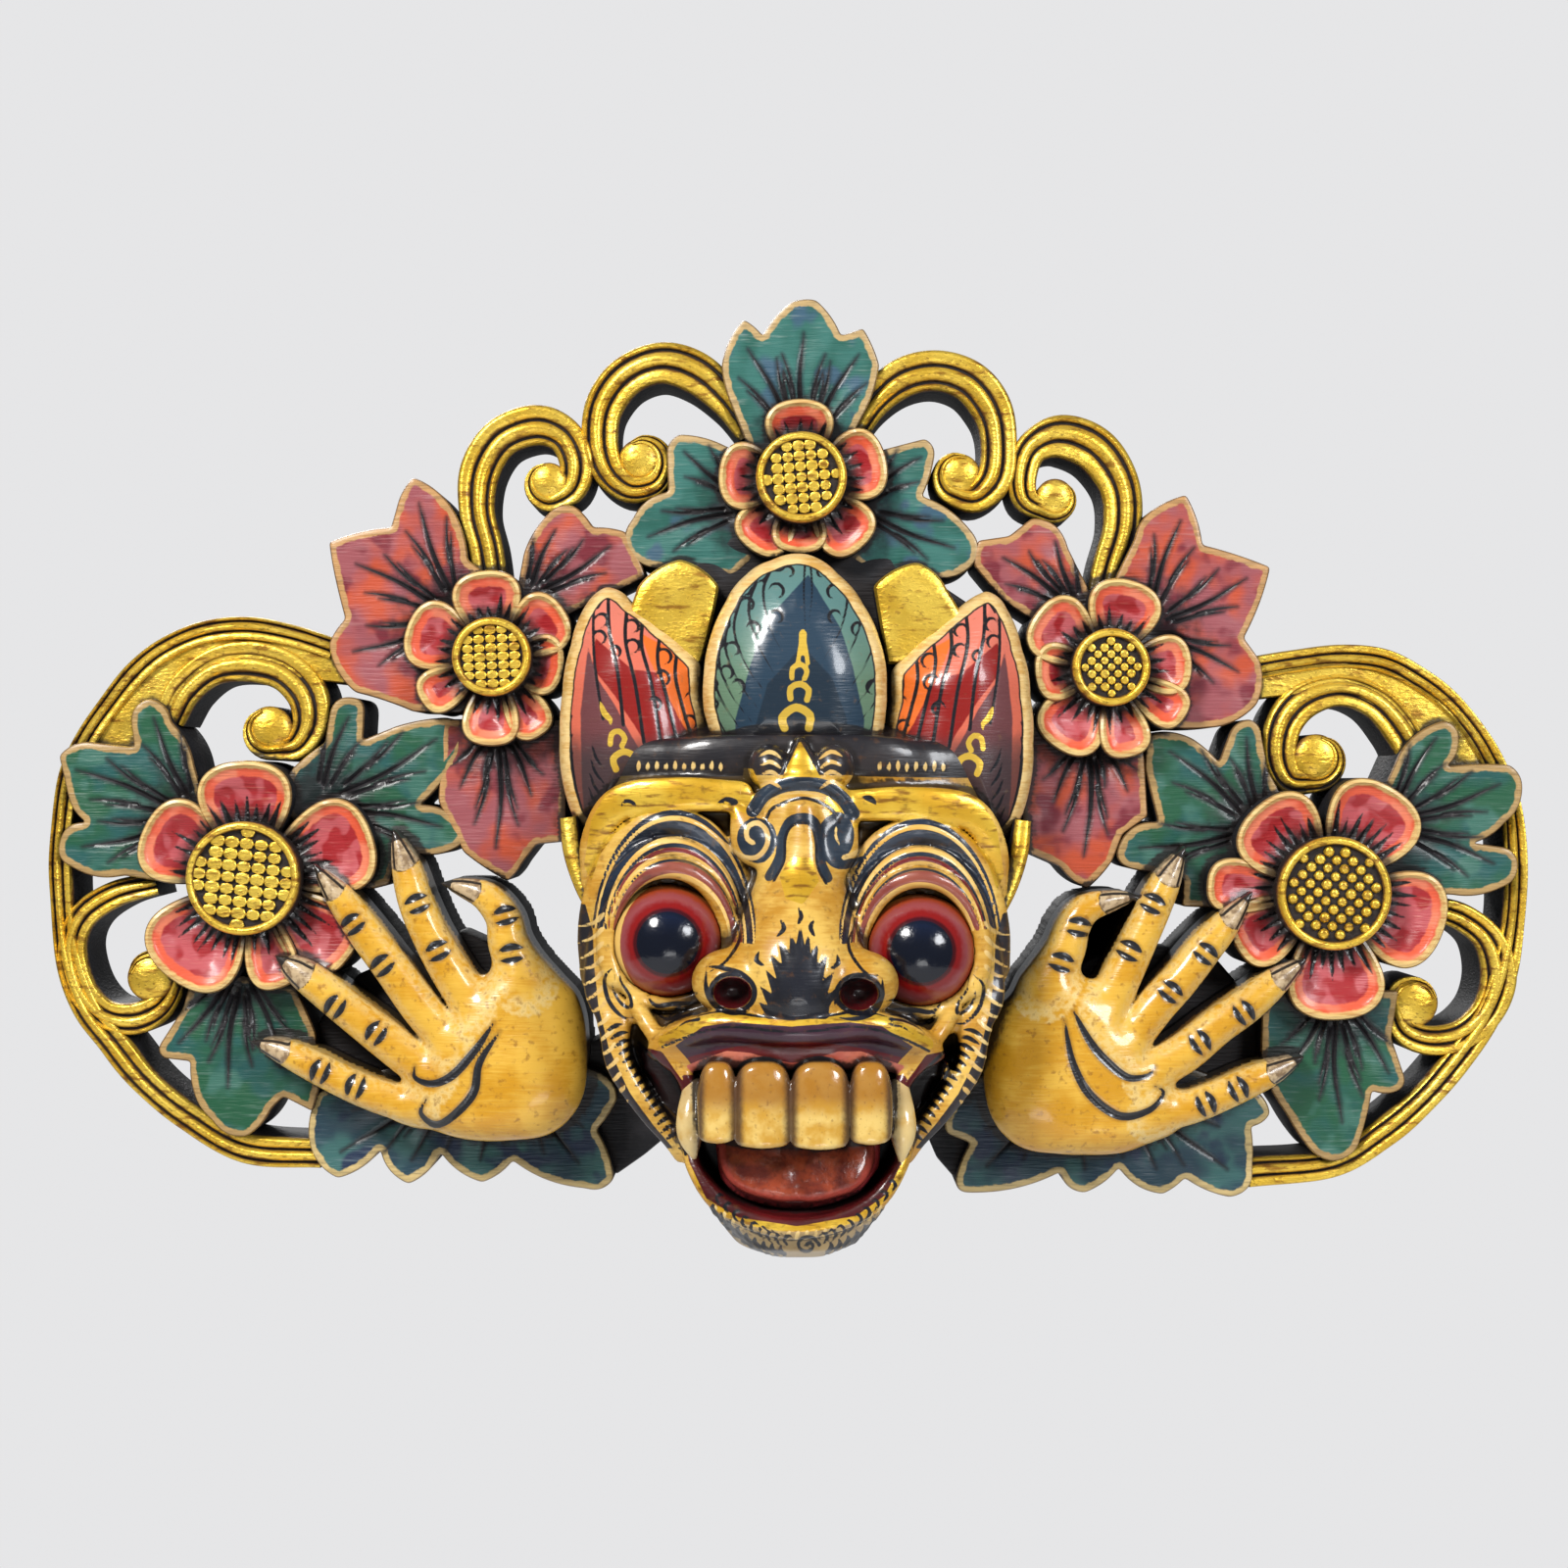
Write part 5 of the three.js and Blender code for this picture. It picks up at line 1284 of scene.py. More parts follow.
# Levels of the head from the chin up: [z, middle x, half width, height of the front].
HEAD = [
    [-154.5, 2, 6, 66], [-153, 2, 14, 78], [-149, 2, 22.5, 89], [-140, 2, 30, 95], [-126, 1.5, 35.5, 94],
    [-108, 1, 46, 92], [-88, 0.5, 58, 90], [-68, 0, 67, 84], [-46, 0, 71, 80], [-22, 1, 72, 76],
    [-2, 2, 72, 70], [10, 2, 67, 66], [18, 2, 56, 56], [26, 2, 34, 40],
]
EYES = {"left": (-39.5, -50.5), "right": (41.5, -53.5)}
EYE_HEIGHT, EYE_RADIUS = 80.0, 18.5
PUPILS = {"left": (-42, -54), "right": (44.3, -57)}


def mirrored(places):
    """The same places on the other side of the face, which the carver set a little lower at the eyes."""
    return [(2 - x, z - 3 * min(1, max(0, (z + 110) / 50)), *rest) for x, z, *rest in places]


def both(places):
    return [places, mirrored(places)]


def twice(line, half, taper):
    """A painted stroke on both sides of the face."""
    return [(side, half, taper) for side in both(line)]


def arc(middle, across, up, start, end, width, height, fall=0.0, count=13):
    """Stations of a ridge on part of an ellipse, lower towards its sides by fall."""
    stations = []
    for k in range(count):
        turn = math.radians(start + (end - start) * k / (count - 1))
        stations.append((middle[0] + across * math.cos(turn), middle[1] + up * math.sin(turn), width,
                         height - fall * abs(math.cos(turn)) ** 1.5))
    return stations


def head_block():
    block = Block((-80, 42, -158), (84, 118, 26), 0.93)
    x, h, z = np.ix_(*block.axes)
    levels = np.array(HEAD, float)
    middle, half, front = (np.interp(z, levels[:, 0], levels[:, k]) for k in (1, 2, 3))
    mass = (((np.abs(x - middle) / half) ** 4 + (h / front) ** 4) ** 0.25 - 1).astype(np.float32)
    slope = np.sqrt(sum(np.gradient(mass, block.cell, axis=a) ** 2 for a in range(3)))
    block.wood = np.maximum(mass / np.maximum(slope, 0.004), -154.5 - z)

    for side, (ex, ez) in EYES.items():
        out = -1 if side == "left" else 1
        block.ball((ex, 76, ez), (22, 14, 23), 5)
        for across, up, width, top, fall in ((25.0, 38.5, 9.5, 85, 6), (21.6, 30.2, 6.5, 88.5, 5),
                                             (19.6, 23.6, 6.5, 93, 4)):
            start, end = (-8, 196) if up > 30 else (-30, 210)
            block.ridge(arc((ex, ez), across, up, start, end, width, top, fall), 1.6)
        block.ridge(arc((ex, ez), 19.2, 19.6, 200, 340, 5.0, 88, 0), 2.0)
        block.ridge(arc((ex + out, ez - 1), 22.5, 25.0, 205, 325, 4.6, 88, 3), 1.5)
    for places in both([(-66, -32, 5, 72), (-64, -18, 8, 78), (-55, -6, 11, 82), (-36, -3.4, 11, 85),
                        (-17, -4, 10, 83)]):
        block.ridge(places, 1.0, crown=0.22)
    block.ridge([(-52, 6, 16, 62), (-38, 7, 16, 67), (-20, 8, 16, 72), (24, 8, 16, 72), (40, 6.5, 16, 67),
                 (54, 5.5, 16, 62)], 5.0, crown=0.3)
    for x0 in (-7, 13.5):
        block.ball((x0, 78, 5.5), (7, 8, 7.5), 1.0)
    block.ridge([(3, 14, 3, 80), (3.4, 8, 8, 85), (3.6, 1, 14, 86)], 0.6, crown=0.5)
    block.ridge([(4, -3, 26, 84), (4, -12, 30, 86), (4, -18, 24, 86)], 1.5, crown=0.45)
    block.ridge(arc((4, -11), 15.5, 12.5, 15, 165, 5, 87, 3), 0.8)
    for places in both([(-17, -9, 5, 84), (-13, -17, 13, 87), (-11.5, -20, 13, 87)]):
        block.ridge(places, 1.2, crown=0.6)
    block.ridge([(4, -9, 9, 89), (4, -20, 9, 91), (3.5, -32, 11, 93)], 1.5, crown=0.7)
    block.ridge([(4, -14, 20, 87), (3, -32, 28, 93), (2, -48, 37, 104), (1.5, -62, 44, 114),
                 (1.5, -70, 36, 110)], 4.0, crown=0.85)
    for wx, wz in ((-19.5, -62.5), (22, -63)):
        block.ball((wx, 97, wz), (12, 14, 10.5), 3.0)
    for wx, wz in ((-18.6, -65.4), (21.2, -65.8)):
        block.ball((wx, 110, wz), (6.2, 10, 4.9), 0.8, away=True)

    block.ridge([(-45, -91, 6, 92), (-40, -82.5, 8, 99), (-30, -77.5, 9, 107), (-20, -75.6, 9, 111),
                 (1, -77, 9, 113.4), (22, -75.6, 9, 111), (33, -78, 9, 107), (43, -83.5, 8, 99),
                 (48, -92, 6, 92)], 1.5, crown=0.8)
    block.ridge([(-37, -84, 14, 99), (-18, -82, 16, 106), (1, -82, 16, 108), (20, -82, 16, 106),
                 (39, -85, 14, 99)], 2.5, crown=0.5)
    block.ridge([(-33, -110, 5, 92), (-30, -122, 6, 98), (-20, -134, 6.5, 102), (2, -139.8, 7, 104.5),
                 (24, -133.5, 6.5, 102), (34, -121, 6, 98), (37, -109, 5, 92)], 2.0, crown=0.7)
    for places in both([(-50, -70, 5, 89), (-46, -76, 5.5, 94), (-39, -85.5, 5.5, 98), (-32.5, -95, 5.5, 101),
                        (-33, -104, 5, 98), (-35, -112, 4, 94)]):
        block.ridge(places, 1.2)
    for places in both([(-57, -78, 9, 88), (-55, -90, 8, 90), (-46, -104, 7, 91), (-38.5, -113, 6, 91),
                        (-35.5, -119, 4, 89)]):
        block.ridge(places, 2.0, crown=0.5)
    for places in both([(-62, -52, 7, 82), (-62, -66, 9, 85), (-56, -78, 8, 88)]):
        block.ridge(places, 3.0, crown=0.5)

    block.boss(bowed_outline([(-30, -100), (-30, -112), (-26, -125, 1.5), (2, -135.5, 3.5), (29, -125, 3.5),
                              (34, -112, 1.5), (34, -100)], 2), None, 2.0, 1.0, away=True, floor=72)
    for places in both([(-49, -84), (-46, -97, 1.2), (-35.5, -109, 1), (-33.5, -101), (-37, -92)]):
        outline = bowed_outline(places, 2)
        if places[0][0] > 0:
            outline = outline[::-1]
        block.boss(outline, None, 1.5, 0.8, away=True, floor=76)
    for ex, ez in EYES.values():
        block.ball((ex, EYE_HEIGHT, ez), (EYE_RADIUS + 0.2,) * 3, away=True)
    return block


def eye_bands(drawn):
    """How far out a place lies from the nearer eye, along the rings that the painter drew round it."""
    best = np.full(len(drawn), 99.0)
    sizes = np.array([[0, 0.01], [10.2, 10.5], [19, 22], [28, 45], [36, 66]])
    steps = np.linspace(0.5, 66, 140)
    for cx, cz in ((-39.8, -54), (43.8, -57)):
        dx, dz = np.abs(drawn[:, 0] - cx), np.abs(drawn[:, 1] - cz)
        found = np.full(len(drawn), 99.0)
        for up in steps[::-1]:
            across = np.interp(up, sizes[:, 1], sizes[:, 0])
            inside = (dx / across) ** 2 + (dz / up) ** 2 < 1
            value = np.sqrt((dx / across) ** 2 + (dz / up) ** 2) * up
            found[inside] = value[inside]
        best = np.minimum(best, found)
    return best


def area(drawn, outlines):
    """Signed distance to the nearest of some painted areas, negative inside."""
    near = np.full(len(drawn), 12.0)
    for outline in outlines:
        outline = np.array(outline, float)
        close = ((drawn > outline.min(0) - 8) & (drawn < outline.max(0) + 8)).all(1)
        if close.any():
            near[close] = np.minimum(near[close], outline_distance(drawn[close], outline))
    return near


def band_of(bands, inner, outer):
    return np.maximum(inner - bands, bands - outer)


def oval(x, z, across, up, count):
    turns = np.linspace(0, 2 * math.pi, count, False)
    return [(x + across * math.cos(t), z + up * math.sin(t)) for t in turns]


GLOOM = [  # charcoal: the forehead, and the strips down both sides
    [(-84, 6), (-62, 2), (-22, 2.5), (-14, 3), (20, 3), (26, 2.5), (64, 2), (88, 6), (88, 50), (-84, 50)],
    *both([(-84, -38), (-70, -41), (-67.5, -50), (-67, -62), (-65.5, -76), (-62, -90), (-55, -105),
           (-47, -116),
           (-40, -124), (-52, -124), (-70, -104), (-84, -84)]),
]
GILT = [
    *both([(-60, 2.5), (-50, 3.2), (-17, 1.5), (-18.5, -12), (-30, -10.8), (-42, -9), (-52, -11), (-60, -17),
           (-65, -24), (-68, -33), (-70.5, -28), (-68, -12)]),
    *both([(-16, 5.5), (-13, 5), (-9, -4), (-13, -11), (-18, -9)]),
    [(3, 15), (-4, 0.3), (11, 0.3)],
    [(0, -25), (7, -25), (9.5, -33), (4, -41), (-2, -39), (-4, -31)],
]
GILT_LINES = [
    ([(-43, -87.5), (-37, -84), (-30, -81.4), (-20, -79.8), (-8, -81), (1, -81.8), (10, -81), (21, -79.4),
      (31, -81), (39, -84.5), (46, -88.5)], 2.3, "even"),
    ([(-33, -126), (-31, -134), (-28, -140), (-19, -147.4), (-9, -150), (2, -151), (14, -150), (24, -146.5),
      (32, -139), (36, -133), (38, -126)], 1.8, "even"),
]
CHEEK_GAPS = both([(-53, -89), (-44, -91), (-37, -101), (-36, -112), (-38, -114), (-47, -105)])
MOUTH = [(-37, -99), (-35, -128), (-29, -141), (-18, -147.5), (2, -150.5), (22, -147), (32, -140), (38, -128),
         (39, -99)]
LIP = [(-39.5, -89), (-30, -82.5), (-20, -81), (0, -82.5), (20, -81), (31, -82.5), (41.5, -89.5), (37, -94),
       (33, -100), (-31, -100), (-35, -94)]
GUM = [(-36, -96), (-30, -93.5), (-22, -90.8), (-14, -91.5), (-7, -93.5), (0, -95), (8, -93.5), (16, -91),
       (24, -91), (31, -93.5), (39, -96), (34, -101), (-31, -101)]
FLAME = [(-8, -80), (-11.5, -74), (-8, -75.5), (-11, -68.5), (-6.5, -71.5), (-9, -63), (-5, -66.5),
         (-7.5, -57.5), (-3.2, -61.5), (-4.5, -53), (-0.6, -57.5), (-0.5, -50.5), (1.6, -54.5),
         (3, -47), (4.6, -55),
         (6.2, -50),
         (6.6, -58), (9.4, -53.5), (8.6, -62), (12.4, -58), (10.6, -67), (14.8, -63.5), (12, -72), (16, -69),
         (13, -76), (12.5, -80)]
NOSTRILS = [oval(-20, -71, 6.6, 5.6, 24), oval(23, -71.5, 6.6, 5.6, 24)]

NAVY_LINES = [
    ([(-13, -9), (-9, -3.5), (-2, -0.4), (4, 0), (11, -0.8), (17, -4.5), (21, -10)], 2.4, "even"),
    ([(-7.5, -31.5), (-4, -25), (-3, -18), (-0.5, -12.8), (4, -11.4), (8, -13), (9.5, -19), (10, -26),
      (12.5, -32)], 1.6, "even"),
    ([(15.5, -10), (12, -14), (12, -20), (15, -26), (20, -27), (24, -25)], 2.6, "arc"),
    ([(17.5, -12), (18.5, -17), (17, -22)], 2.6, "arc"),
    ([(-12, -12), (-8, -15), (-7.5, -20), (-10, -25), (-14, -26)], 2.4, "arc"),
]
NAVY_SPOTS = [oval(-12, -18.5, 6.5, 7, 20), oval(16, -17.5, 5.5, 8, 20)]
CREAM_LINES = [
    ([(-28, -16), (-22, -21), (-17, -24.5), (-12, -25), (-8.3, -21), (-8.4, -16), (-11.5, -13.2), (-15, -15),
      (-15, -18.5), (-13, -20)], 0.85, "even"),
    ([(-9, -8), (-4, -4), (4, -2.8), (12, -4.5), (16, -9)], 0.5, "arc"),
    ([(30, -17), (26, -20), (22, -23.5), (18, -25)], 0.9, "even"),
    ([(16, -13.5), (15, -17), (16.5, -21)], 0.5, "arc"),
    ([(-1.6, -77), (-0.6, -73.6), (2.4, -72.6), (5.2, -73.8), (6, -77)], 0.65, "arc"),
    ([(0, -70), (1.4, -66.8), (2.6, -65), (3.8, -66.8), (5, -70)], 0.6, "arc"),
    ([(1.4, -63), (2.6, -59.5), (3.8, -63)], 0.5, "arc"),
    ([(-6, -77), (-5.4, -73), (-3.4, -70.4)], 0.45, "arc"),
    ([(10.4, -77), (9.8, -73), (8, -70.4)], 0.45, "arc"),
]
INK_LINES = [
    # the third eye, and the folds of the forehead
    ([(-8.5, -12), (-6, -8), (4, -4.8), (13, -8), (16.5, -13)], 0.6, "even"),
    ([(-6, -33), (-2.5, -26), (-2, -18), (0.5, -14), (4, -13.2), (7, -14.5), (8.5, -20), (9, -28),
      (12, -34)], 0.5,
     "even"),
    ([(-58, -8), (-56.5, -5.8), (-53.5, -6.5), (-53, -8.5)], 0.7, "arc"),
    ([(-25, -6.5), (-22, -5.4), (-19, -6.2), (-22, -7)], 1.1, "arc"),
    ([(24, -4.5), (27, -5), (29, -7)], 1.1, "arc"),
    # round the eyes and the nose
    *twice([(-20, -44), (-17.5, -52), (-22, -60), (-28, -64)], 0.6, "arc"),
    *twice([(-29, -62), (-24, -62.5), (-17, -64.5), (-13, -69), (-13, -74)], 0.9, "arc"),
    *twice([(-29, -63), (-29, -70), (-26, -75.5), (-20, -78), (-14, -77.5)], 0.9, "arc"),
    *twice([(-49, -72), (-45, -70.5), (-38, -70.5), (-30.5, -71.5)], 0.8, "arc"),
    *twice([(-49, -72), (-46, -75.5), (-40, -74.8), (-31, -74.5)], 0.9, "arc"),
    *twice([(-48, -76), (-42, -80), (-36, -77), (-31, -76.5)], 0.55, "arc"),
    *twice([(-31, -78), (-36, -78.6), (-41, -81), (-44, -84)], 0.6, "tail"),
    *twice([(-31, -80), (-36, -81), (-40, -84)], 0.6, "tail"),
    *twice([(-38, -76), (-41, -78.5), (-43, -82)], 0.6, "tail"),
    # the loops on the cheeks
    *twice([(-60, -62), (-63.5, -66), (-62, -74), (-57, -79.5), (-53, -79.5)], 0.75, "arc"),
    *twice([(-60, -64.5), (-60.5, -70), (-57.5, -75), (-54.5, -76), (-55, -72), (-58, -67), (-58.5, -62)],
           0.6, "arc"),
    # loose flames over the nose
    ([(-5, -52), (-2.5, -49), (-3.8, -46)], 0.8, "arc"),
    ([(8, -52), (6.5, -48.5), (8, -46)], 0.8, "arc"),
    ([(2, -48), (3.4, -45), (2.4, -42)], 0.8, "arc"),
    ([(-9, -62), (-12, -60), (-11, -57)], 0.8, "arc"),
    ([(13, -63), (16, -61), (15.5, -58)], 0.8, "arc"),
    # round the mouth
    ([(-44, -89.5), (-38, -87), (-30, -84.2), (-20, -82.6), (-8, -83.8), (1, -84.6), (10, -83.8), (21, -82.4),
      (31, -84.2), (40, -87.5), (47, -91)], 0.5, "even"),
    ([(-34, -79.4), (-24, -77.4), (-12, -78.8), (0, -79.8), (12, -78.8), (24, -77.4), (36, -80)], 0.6, "arc"),
    *twice([(-52, -88), (-47, -93), (-41, -100), (-37.5, -106)], 0.55, "even"),
    *twice([(-54, -89), (-51, -98), (-45, -108), (-38, -117), (-36, -126)], 0.6, "even"),
]
TOOTH_ARCS = [
    ([(-31, -99), (-29, -96.4), (-24, -95.6), (-20, -98), (-19.4, -101)], 1.2, "arc"),
    ([(-19.4, -101), (-17, -96), (-10, -94), (-3.5, -95.5), (-0.5, -99.5)], 1.3, "arc"),
    ([(-0.5, -99.5), (2.5, -95.8), (9, -93.8), (16, -95.5), (19, -100)], 1.3, "arc"),
    ([(19.5, -100), (22, -96.5), (27, -95.8), (31.5, -98), (33.5, -101)], 1.2, "arc"),
]


def side_hairs():
    """Tan hair lines that sweep out and down over the dark side strips."""
    hairs = []
    for k in range(14):
        z = -44 - k * 4.9
        x = -64.0 + max(0, -z - 66) * 0.20
        hairs.append(([(x, z), (x - 3.5, z - 3.4), (x - 10.5, z - 4.6 - (k % 3) * 1.2)], 0.85, "tail"))
    return hairs + [(mirrored(line), half, taper) for line, half, taper in hairs]


def jaw_stripes():
    """The ladder of stripes along each side of the jaw."""
    stripes = []
    for k in range(15):
        t = k / 14
        x, z = -60.0 + 19.5 * t, -83 - 37 * t
        stripes.append(([(x - 3.6 + t, z - 1.6), (x + 0.5, z + 0.9), (x + 3.4, z + 1.0)], 0.8, "arc"))
    return stripes + [(mirrored(line), half, taper) for line, half, taper in stripes]


def chin_scrolls():
    """The leafy scrolls painted under the lower lip."""
    lines = [([(5, -157), (6.2, -156), (7.4, -157.2), (6, -159), (3.4, -158.6), (2.4, -156.4), (4.2, -154.2),
               (7.6, -154.4), (9.6, -157)], 0.6, "even")]
    for way in (-1, 1):
        for k in range(9):
            x = 5 + way * (5.6 + k * 2.9)
            z = -154.4 + 0.020 * (x - 3) ** 2
            lines.append(([(x, z - 3.6), (x + way * 1.8, z - 1.2), (x + way * 0.4, z + 0.6),
                           (x - way * 1.2, z - 0.6)], 0.6, "arc"))
            lines.append(([(x + way * 1.2, z - 6.6), (x + way * 3.2, z - 4.4), (x + way * 2.6, z - 2.6)],
                          0.8, "arc"))
            lines.append(([(x - way * 1.0, z - 9.0), (x + way * 1.6, z - 7.4), (x + way * 1.0, z - 5.4)],
                          0.7, "arc"))
    return lines


def chin_dashes():
    dashes = []
    for k in range(19):
        t = k / 18 * 2 - 1
        x = 2 + 28 * t
        z = -153.6 + 8.6 * abs(t) ** 2.4
        dashes.append(([(x - 0.3, z - 1.0), (x + 0.3, z + 1.2)], 0.62, "even"))
    return dashes


def forehead_dashes():
    dashes = []
    for start, end in ((-52, -22), (30, 56)):
        for k in range(round((end - start) / 3.1)):
            x = start + 3.1 * k
            dashes.append(([(x, 4.2), (x + 0.3, 8.0 - (k % 2) * 0.6)], 0.72, "arc"))
    for x, way in ((-7, -1), (13.5, 1)):
        for k in range(4):
            z = 11 - 3.4 * k
            dashes.append(([(x - way * 4, z - 2.6), (x, z), (x + way * 4, z - 1.6)], 0.7, "arc"))
    return dashes


def head_marks(points):
    drawn = laid_out(points)
    bands = eye_bands(drawn)
    above = -56 + 0.10 * np.abs(drawn[:, 0] - 2)  # the rings of the brows end level with the eyes
    arch = above - drawn[:, 1]
    inner = 13.5 - np.abs(drawn[:, 0] - 2) - np.clip(-26 - drawn[:, 1], 0, 60) * -0.03
    outside = np.maximum(arch, inner)
    navy = np.minimum.reduce([band_of(bands, 43.2, 45.2), band_of(bands, 36.2, 41.6),
                              band_of(bands, 32.4, 34.0),
                              band_of(bands, 27.6, 28.6)])
    cream = np.minimum.reduce([band_of(bands, 41.6, 43.2), band_of(bands, 34.0, 36.2),
                               band_of(bands, 29.4, 30.8),
                               band_of(bands, 21.6, 23.6)])
    rings_red = band_of(bands, 30.8, 32.4)
    mauve = band_of(bands, 23.6, 27.6)
    nostril = area(drawn, NOSTRILS)
    chin = np.maximum(drawn[:, 1] + 152.4 - 0.0085 * (drawn[:, 0] - 2) ** 2, np.abs(drawn[:, 0] - 2) - 31)
    return {
        "gloom": area(drawn, GLOOM),
        "navy_band": np.maximum(navy, outside),
        "red_band": np.maximum(rings_red, outside),
        "mauve_band": np.maximum(mauve, outside),
        "gilt": np.minimum(area(drawn, GILT), stroke_distance(drawn, GILT_LINES)),
        "cream_band": np.maximum(cream, outside),
        "lip": area(drawn, [LIP]),
        "crimson": np.minimum(area(drawn, [MOUTH, *CHEEK_GAPS]), nostril),
        "lip_red": np.maximum(area(drawn, [LIP]), drawn[:, 1] + 87.8 + 0.004 * (drawn[:, 0] - 1) ** 2),
        "gum": area(drawn, [GUM]),
        "chin": np.where(drawn[:, 1] < -130, chin, 12),
        "navy": np.minimum(stroke_distance(drawn, NAVY_LINES + TOOTH_ARCS), area(drawn, NAVY_SPOTS)),
        "cream": stroke_distance(drawn, CREAM_LINES + side_hairs() + chin_dashes() + forehead_dashes()),
        "ink": np.minimum(stroke_distance(drawn, INK_LINES + jaw_stripes() + chin_scrolls()),
                          np.minimum(np.abs(nostril - 0.9) - 0.9, area(drawn, [FLAME]))),
    }


FACE_COATS = [  # value, colour, second colour, how metallic
    ("gloom", (0.010, 0.009, 0.012), (0.026, 0.021, 0.022), 0.0),
    ("gilt", (0.62, 0.34, 0.018), (0.74, 0.48, 0.05), 0.45),
    ("navy_band", (0.005, 0.009, 0.018), (0.012, 0.022, 0.042), 0.0),
    ("red_band", (0.12, 0.008, 0.010), (0.20, 0.03, 0.03), 0.0),
    ("mauve_band", (0.17, 0.030, 0.024), (0.26, 0.07, 0.045), 0.0),
    ("cream_band", (0.70, 0.47, 0.15), (0.62, 0.35, 0.07), 0.0),
    ("chin", (0.33, 0.22, 0.09), (0.42, 0.29, 0.12), 0.0),
    ("lip", (0.030, 0.010, 0.020), (0.055, 0.018, 0.032), 0.0),
    ("lip_red", (0.075, 0.003, 0.006), (0.12, 0.008, 0.010), 0.0),
    ("gum", (0.42, 0.075, 0.045), (0.54, 0.16, 0.10), 0.0),
    ("crimson", (0.040, 0.002, 0.003), (0.085, 0.004, 0.006), 0.0),
    ("navy", (0.008, 0.013, 0.022), (0.018, 0.030, 0.048), 0.0),
    ("cream", (0.64, 0.46, 0.18), (0.55, 0.34, 0.10), 0.0),
    ("ink", (0.004, 0.004, 0.006), (0.009, 0.010, 0.016), 0.0),
]


def make_head():
    def engrave(values):
        cut = 0.45 * np.clip(-values["ink"], 0, 0.8) + 0.35 * np.clip(-values["navy_band"], 0, 1)
        return cut - 0.3 * np.clip(-values["cream"], 0, 0.8)

    form = carved_form(head_block(), 1, head_marks, engrave)
    piece = make_piece("head", form, [FINISHES["face"], FINISHES["board"]], sharp=80)
    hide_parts("carving")
    return piece


def make_eye(side):
    """An eyeball with its pole to the front, painted in rings about its pupil."""
    forward = 56
    tilts = [math.radians(112) * k / forward for k in range(forward + 1)]
    form = lathe(EYES[side], [(EYE_RADIUS * math.sin(tilt), EYE_HEIGHT + EYE_RADIUS * math.cos(tilt), 0.0)
                              for tilt in tilts], sides=96)
    drawn, pupil = laid_out(form.points), PUPILS[side]
    form.values = {"look": np.maximum(np.hypot(*(drawn - pupil).T), 9), "bands": eye_bands(drawn),
                   "over": drawn[:, 1] - pupil[1]}
    return make_piece(side + "_eye", form, [FINISHES["eye"]], sharp=80)


def eye_finish(name):
    f = Finish(name)
    look, bands, over = f.value("look"), f.value("bands"), f.value("over")
    fine = f.noise(2.0, 3.0)
    jitter = (fine - 0.5) * 0.8
    colour = f.mix(f.rise(look + jitter * 2, 13.0, 15.5), (0.20, 0.006, 0.006), (0.24, 0.050, 0.055))
    colour = f.mix(f.rise(look + jitter * 2, 16.0, 18.0), colour, (0.26, 0.040, 0.012))
    colour = f.mix(f.rise(look + jitter, 18.0, 20.0) * f.rise(over, -2, 8), colour, (0.30, 0.12, 0.02))
    colour = f.mix(f.rise(bands + jitter * 0.5, 21.0, 21.5), colour, (0.68, 0.45, 0.13))
    colour = f.mix(f.rise(look + jitter * 0.6, 12.4, 11.3), colour, (0.045, 0.002, 0.004))
    colour = f.mix(f.rise(look + jitter * 0.4, 10.9, 10.3), colour, (0.0025, 0.004, 0.010))
    # a painted highlight: a soft blue sheen over the upper part of the pupil
    colour = f.mix(f.rise(look + over * -0.35, 8.5, 3.0) * 0.6, colour, (0.010, 0.022, 0.070))
    return f.done(colour, 0.16, coat=0.4, coat_roughness=0.05, bumps=fine, depth=0.12, shade_and_grime=0)


def make_teeth():
    block = Block((-40, 78, -121), (44, 119, -80), 0.6)
    for x, width, bottom in ((-23.0, 13.0, -111.2), (-8.9, 18.6, -112.6), (8.9, 19.2, -113.0),
                             (24.6, 14.0, -111.6)):
        outline = bowed_outline([(x - width / 2 + 0.5, bottom + 1.0), (x - width / 2 + 3, bottom, 0.6),
                                 (x + width / 2 - 3, bottom, 0.6), (x + width / 2 - 0.5, bottom + 1.4, 0.6),
                                 (x + width / 2, -100, 0.3), (x + width / 2 - 1.4, -90, 0.4),
                                 (x, -86.6, 1.4), (x - width / 2 + 1.4, -90, 1.4),
                                 (x - width / 2, -100, 0.4)], 1.0)

        def crown(px, pz, x=x, width=width):
            return (115.6 - 0.0011 * (x - 1) ** 2 - 3.4 * np.abs((px - x) / (width / 2)) ** 2.6
                    - 2.2 * np.clip((pz + 96) / 10, 0, 1) ** 2)

        block.boss(outline, crown, 1.8)
    for stations in ([(-30.5, -97, 8, 102), (-31.5, -104, 9, 106), (-31.8, -110, 8, 107),
                      (-30.6, -117, 2, 105)],
                     [(33.5, -97, 8, 102), (34.5, -104, 9, 106), (35, -110, 8, 107), (34.6, -118, 2, 105)]):
        block.ridge(stations, 0, crown=0.8)

    def marks(points):
        gaps = np.array([-17.0, -0.1, 18.0, -29.0, 31.4])
        between = np.abs(points[:, :1] - gaps).min(1)
        return {"between": between, "down": points[:, 2] + 112, "fang": np.where(
            (points[:, 0] < -29.4) | (points[:, 0] > 31.8), 1.0, 0.0)}

    return make_piece("teeth", carved_form(block, 2, marks), [FINISHES["tooth"], FINISHES["board"]], sharp=80)


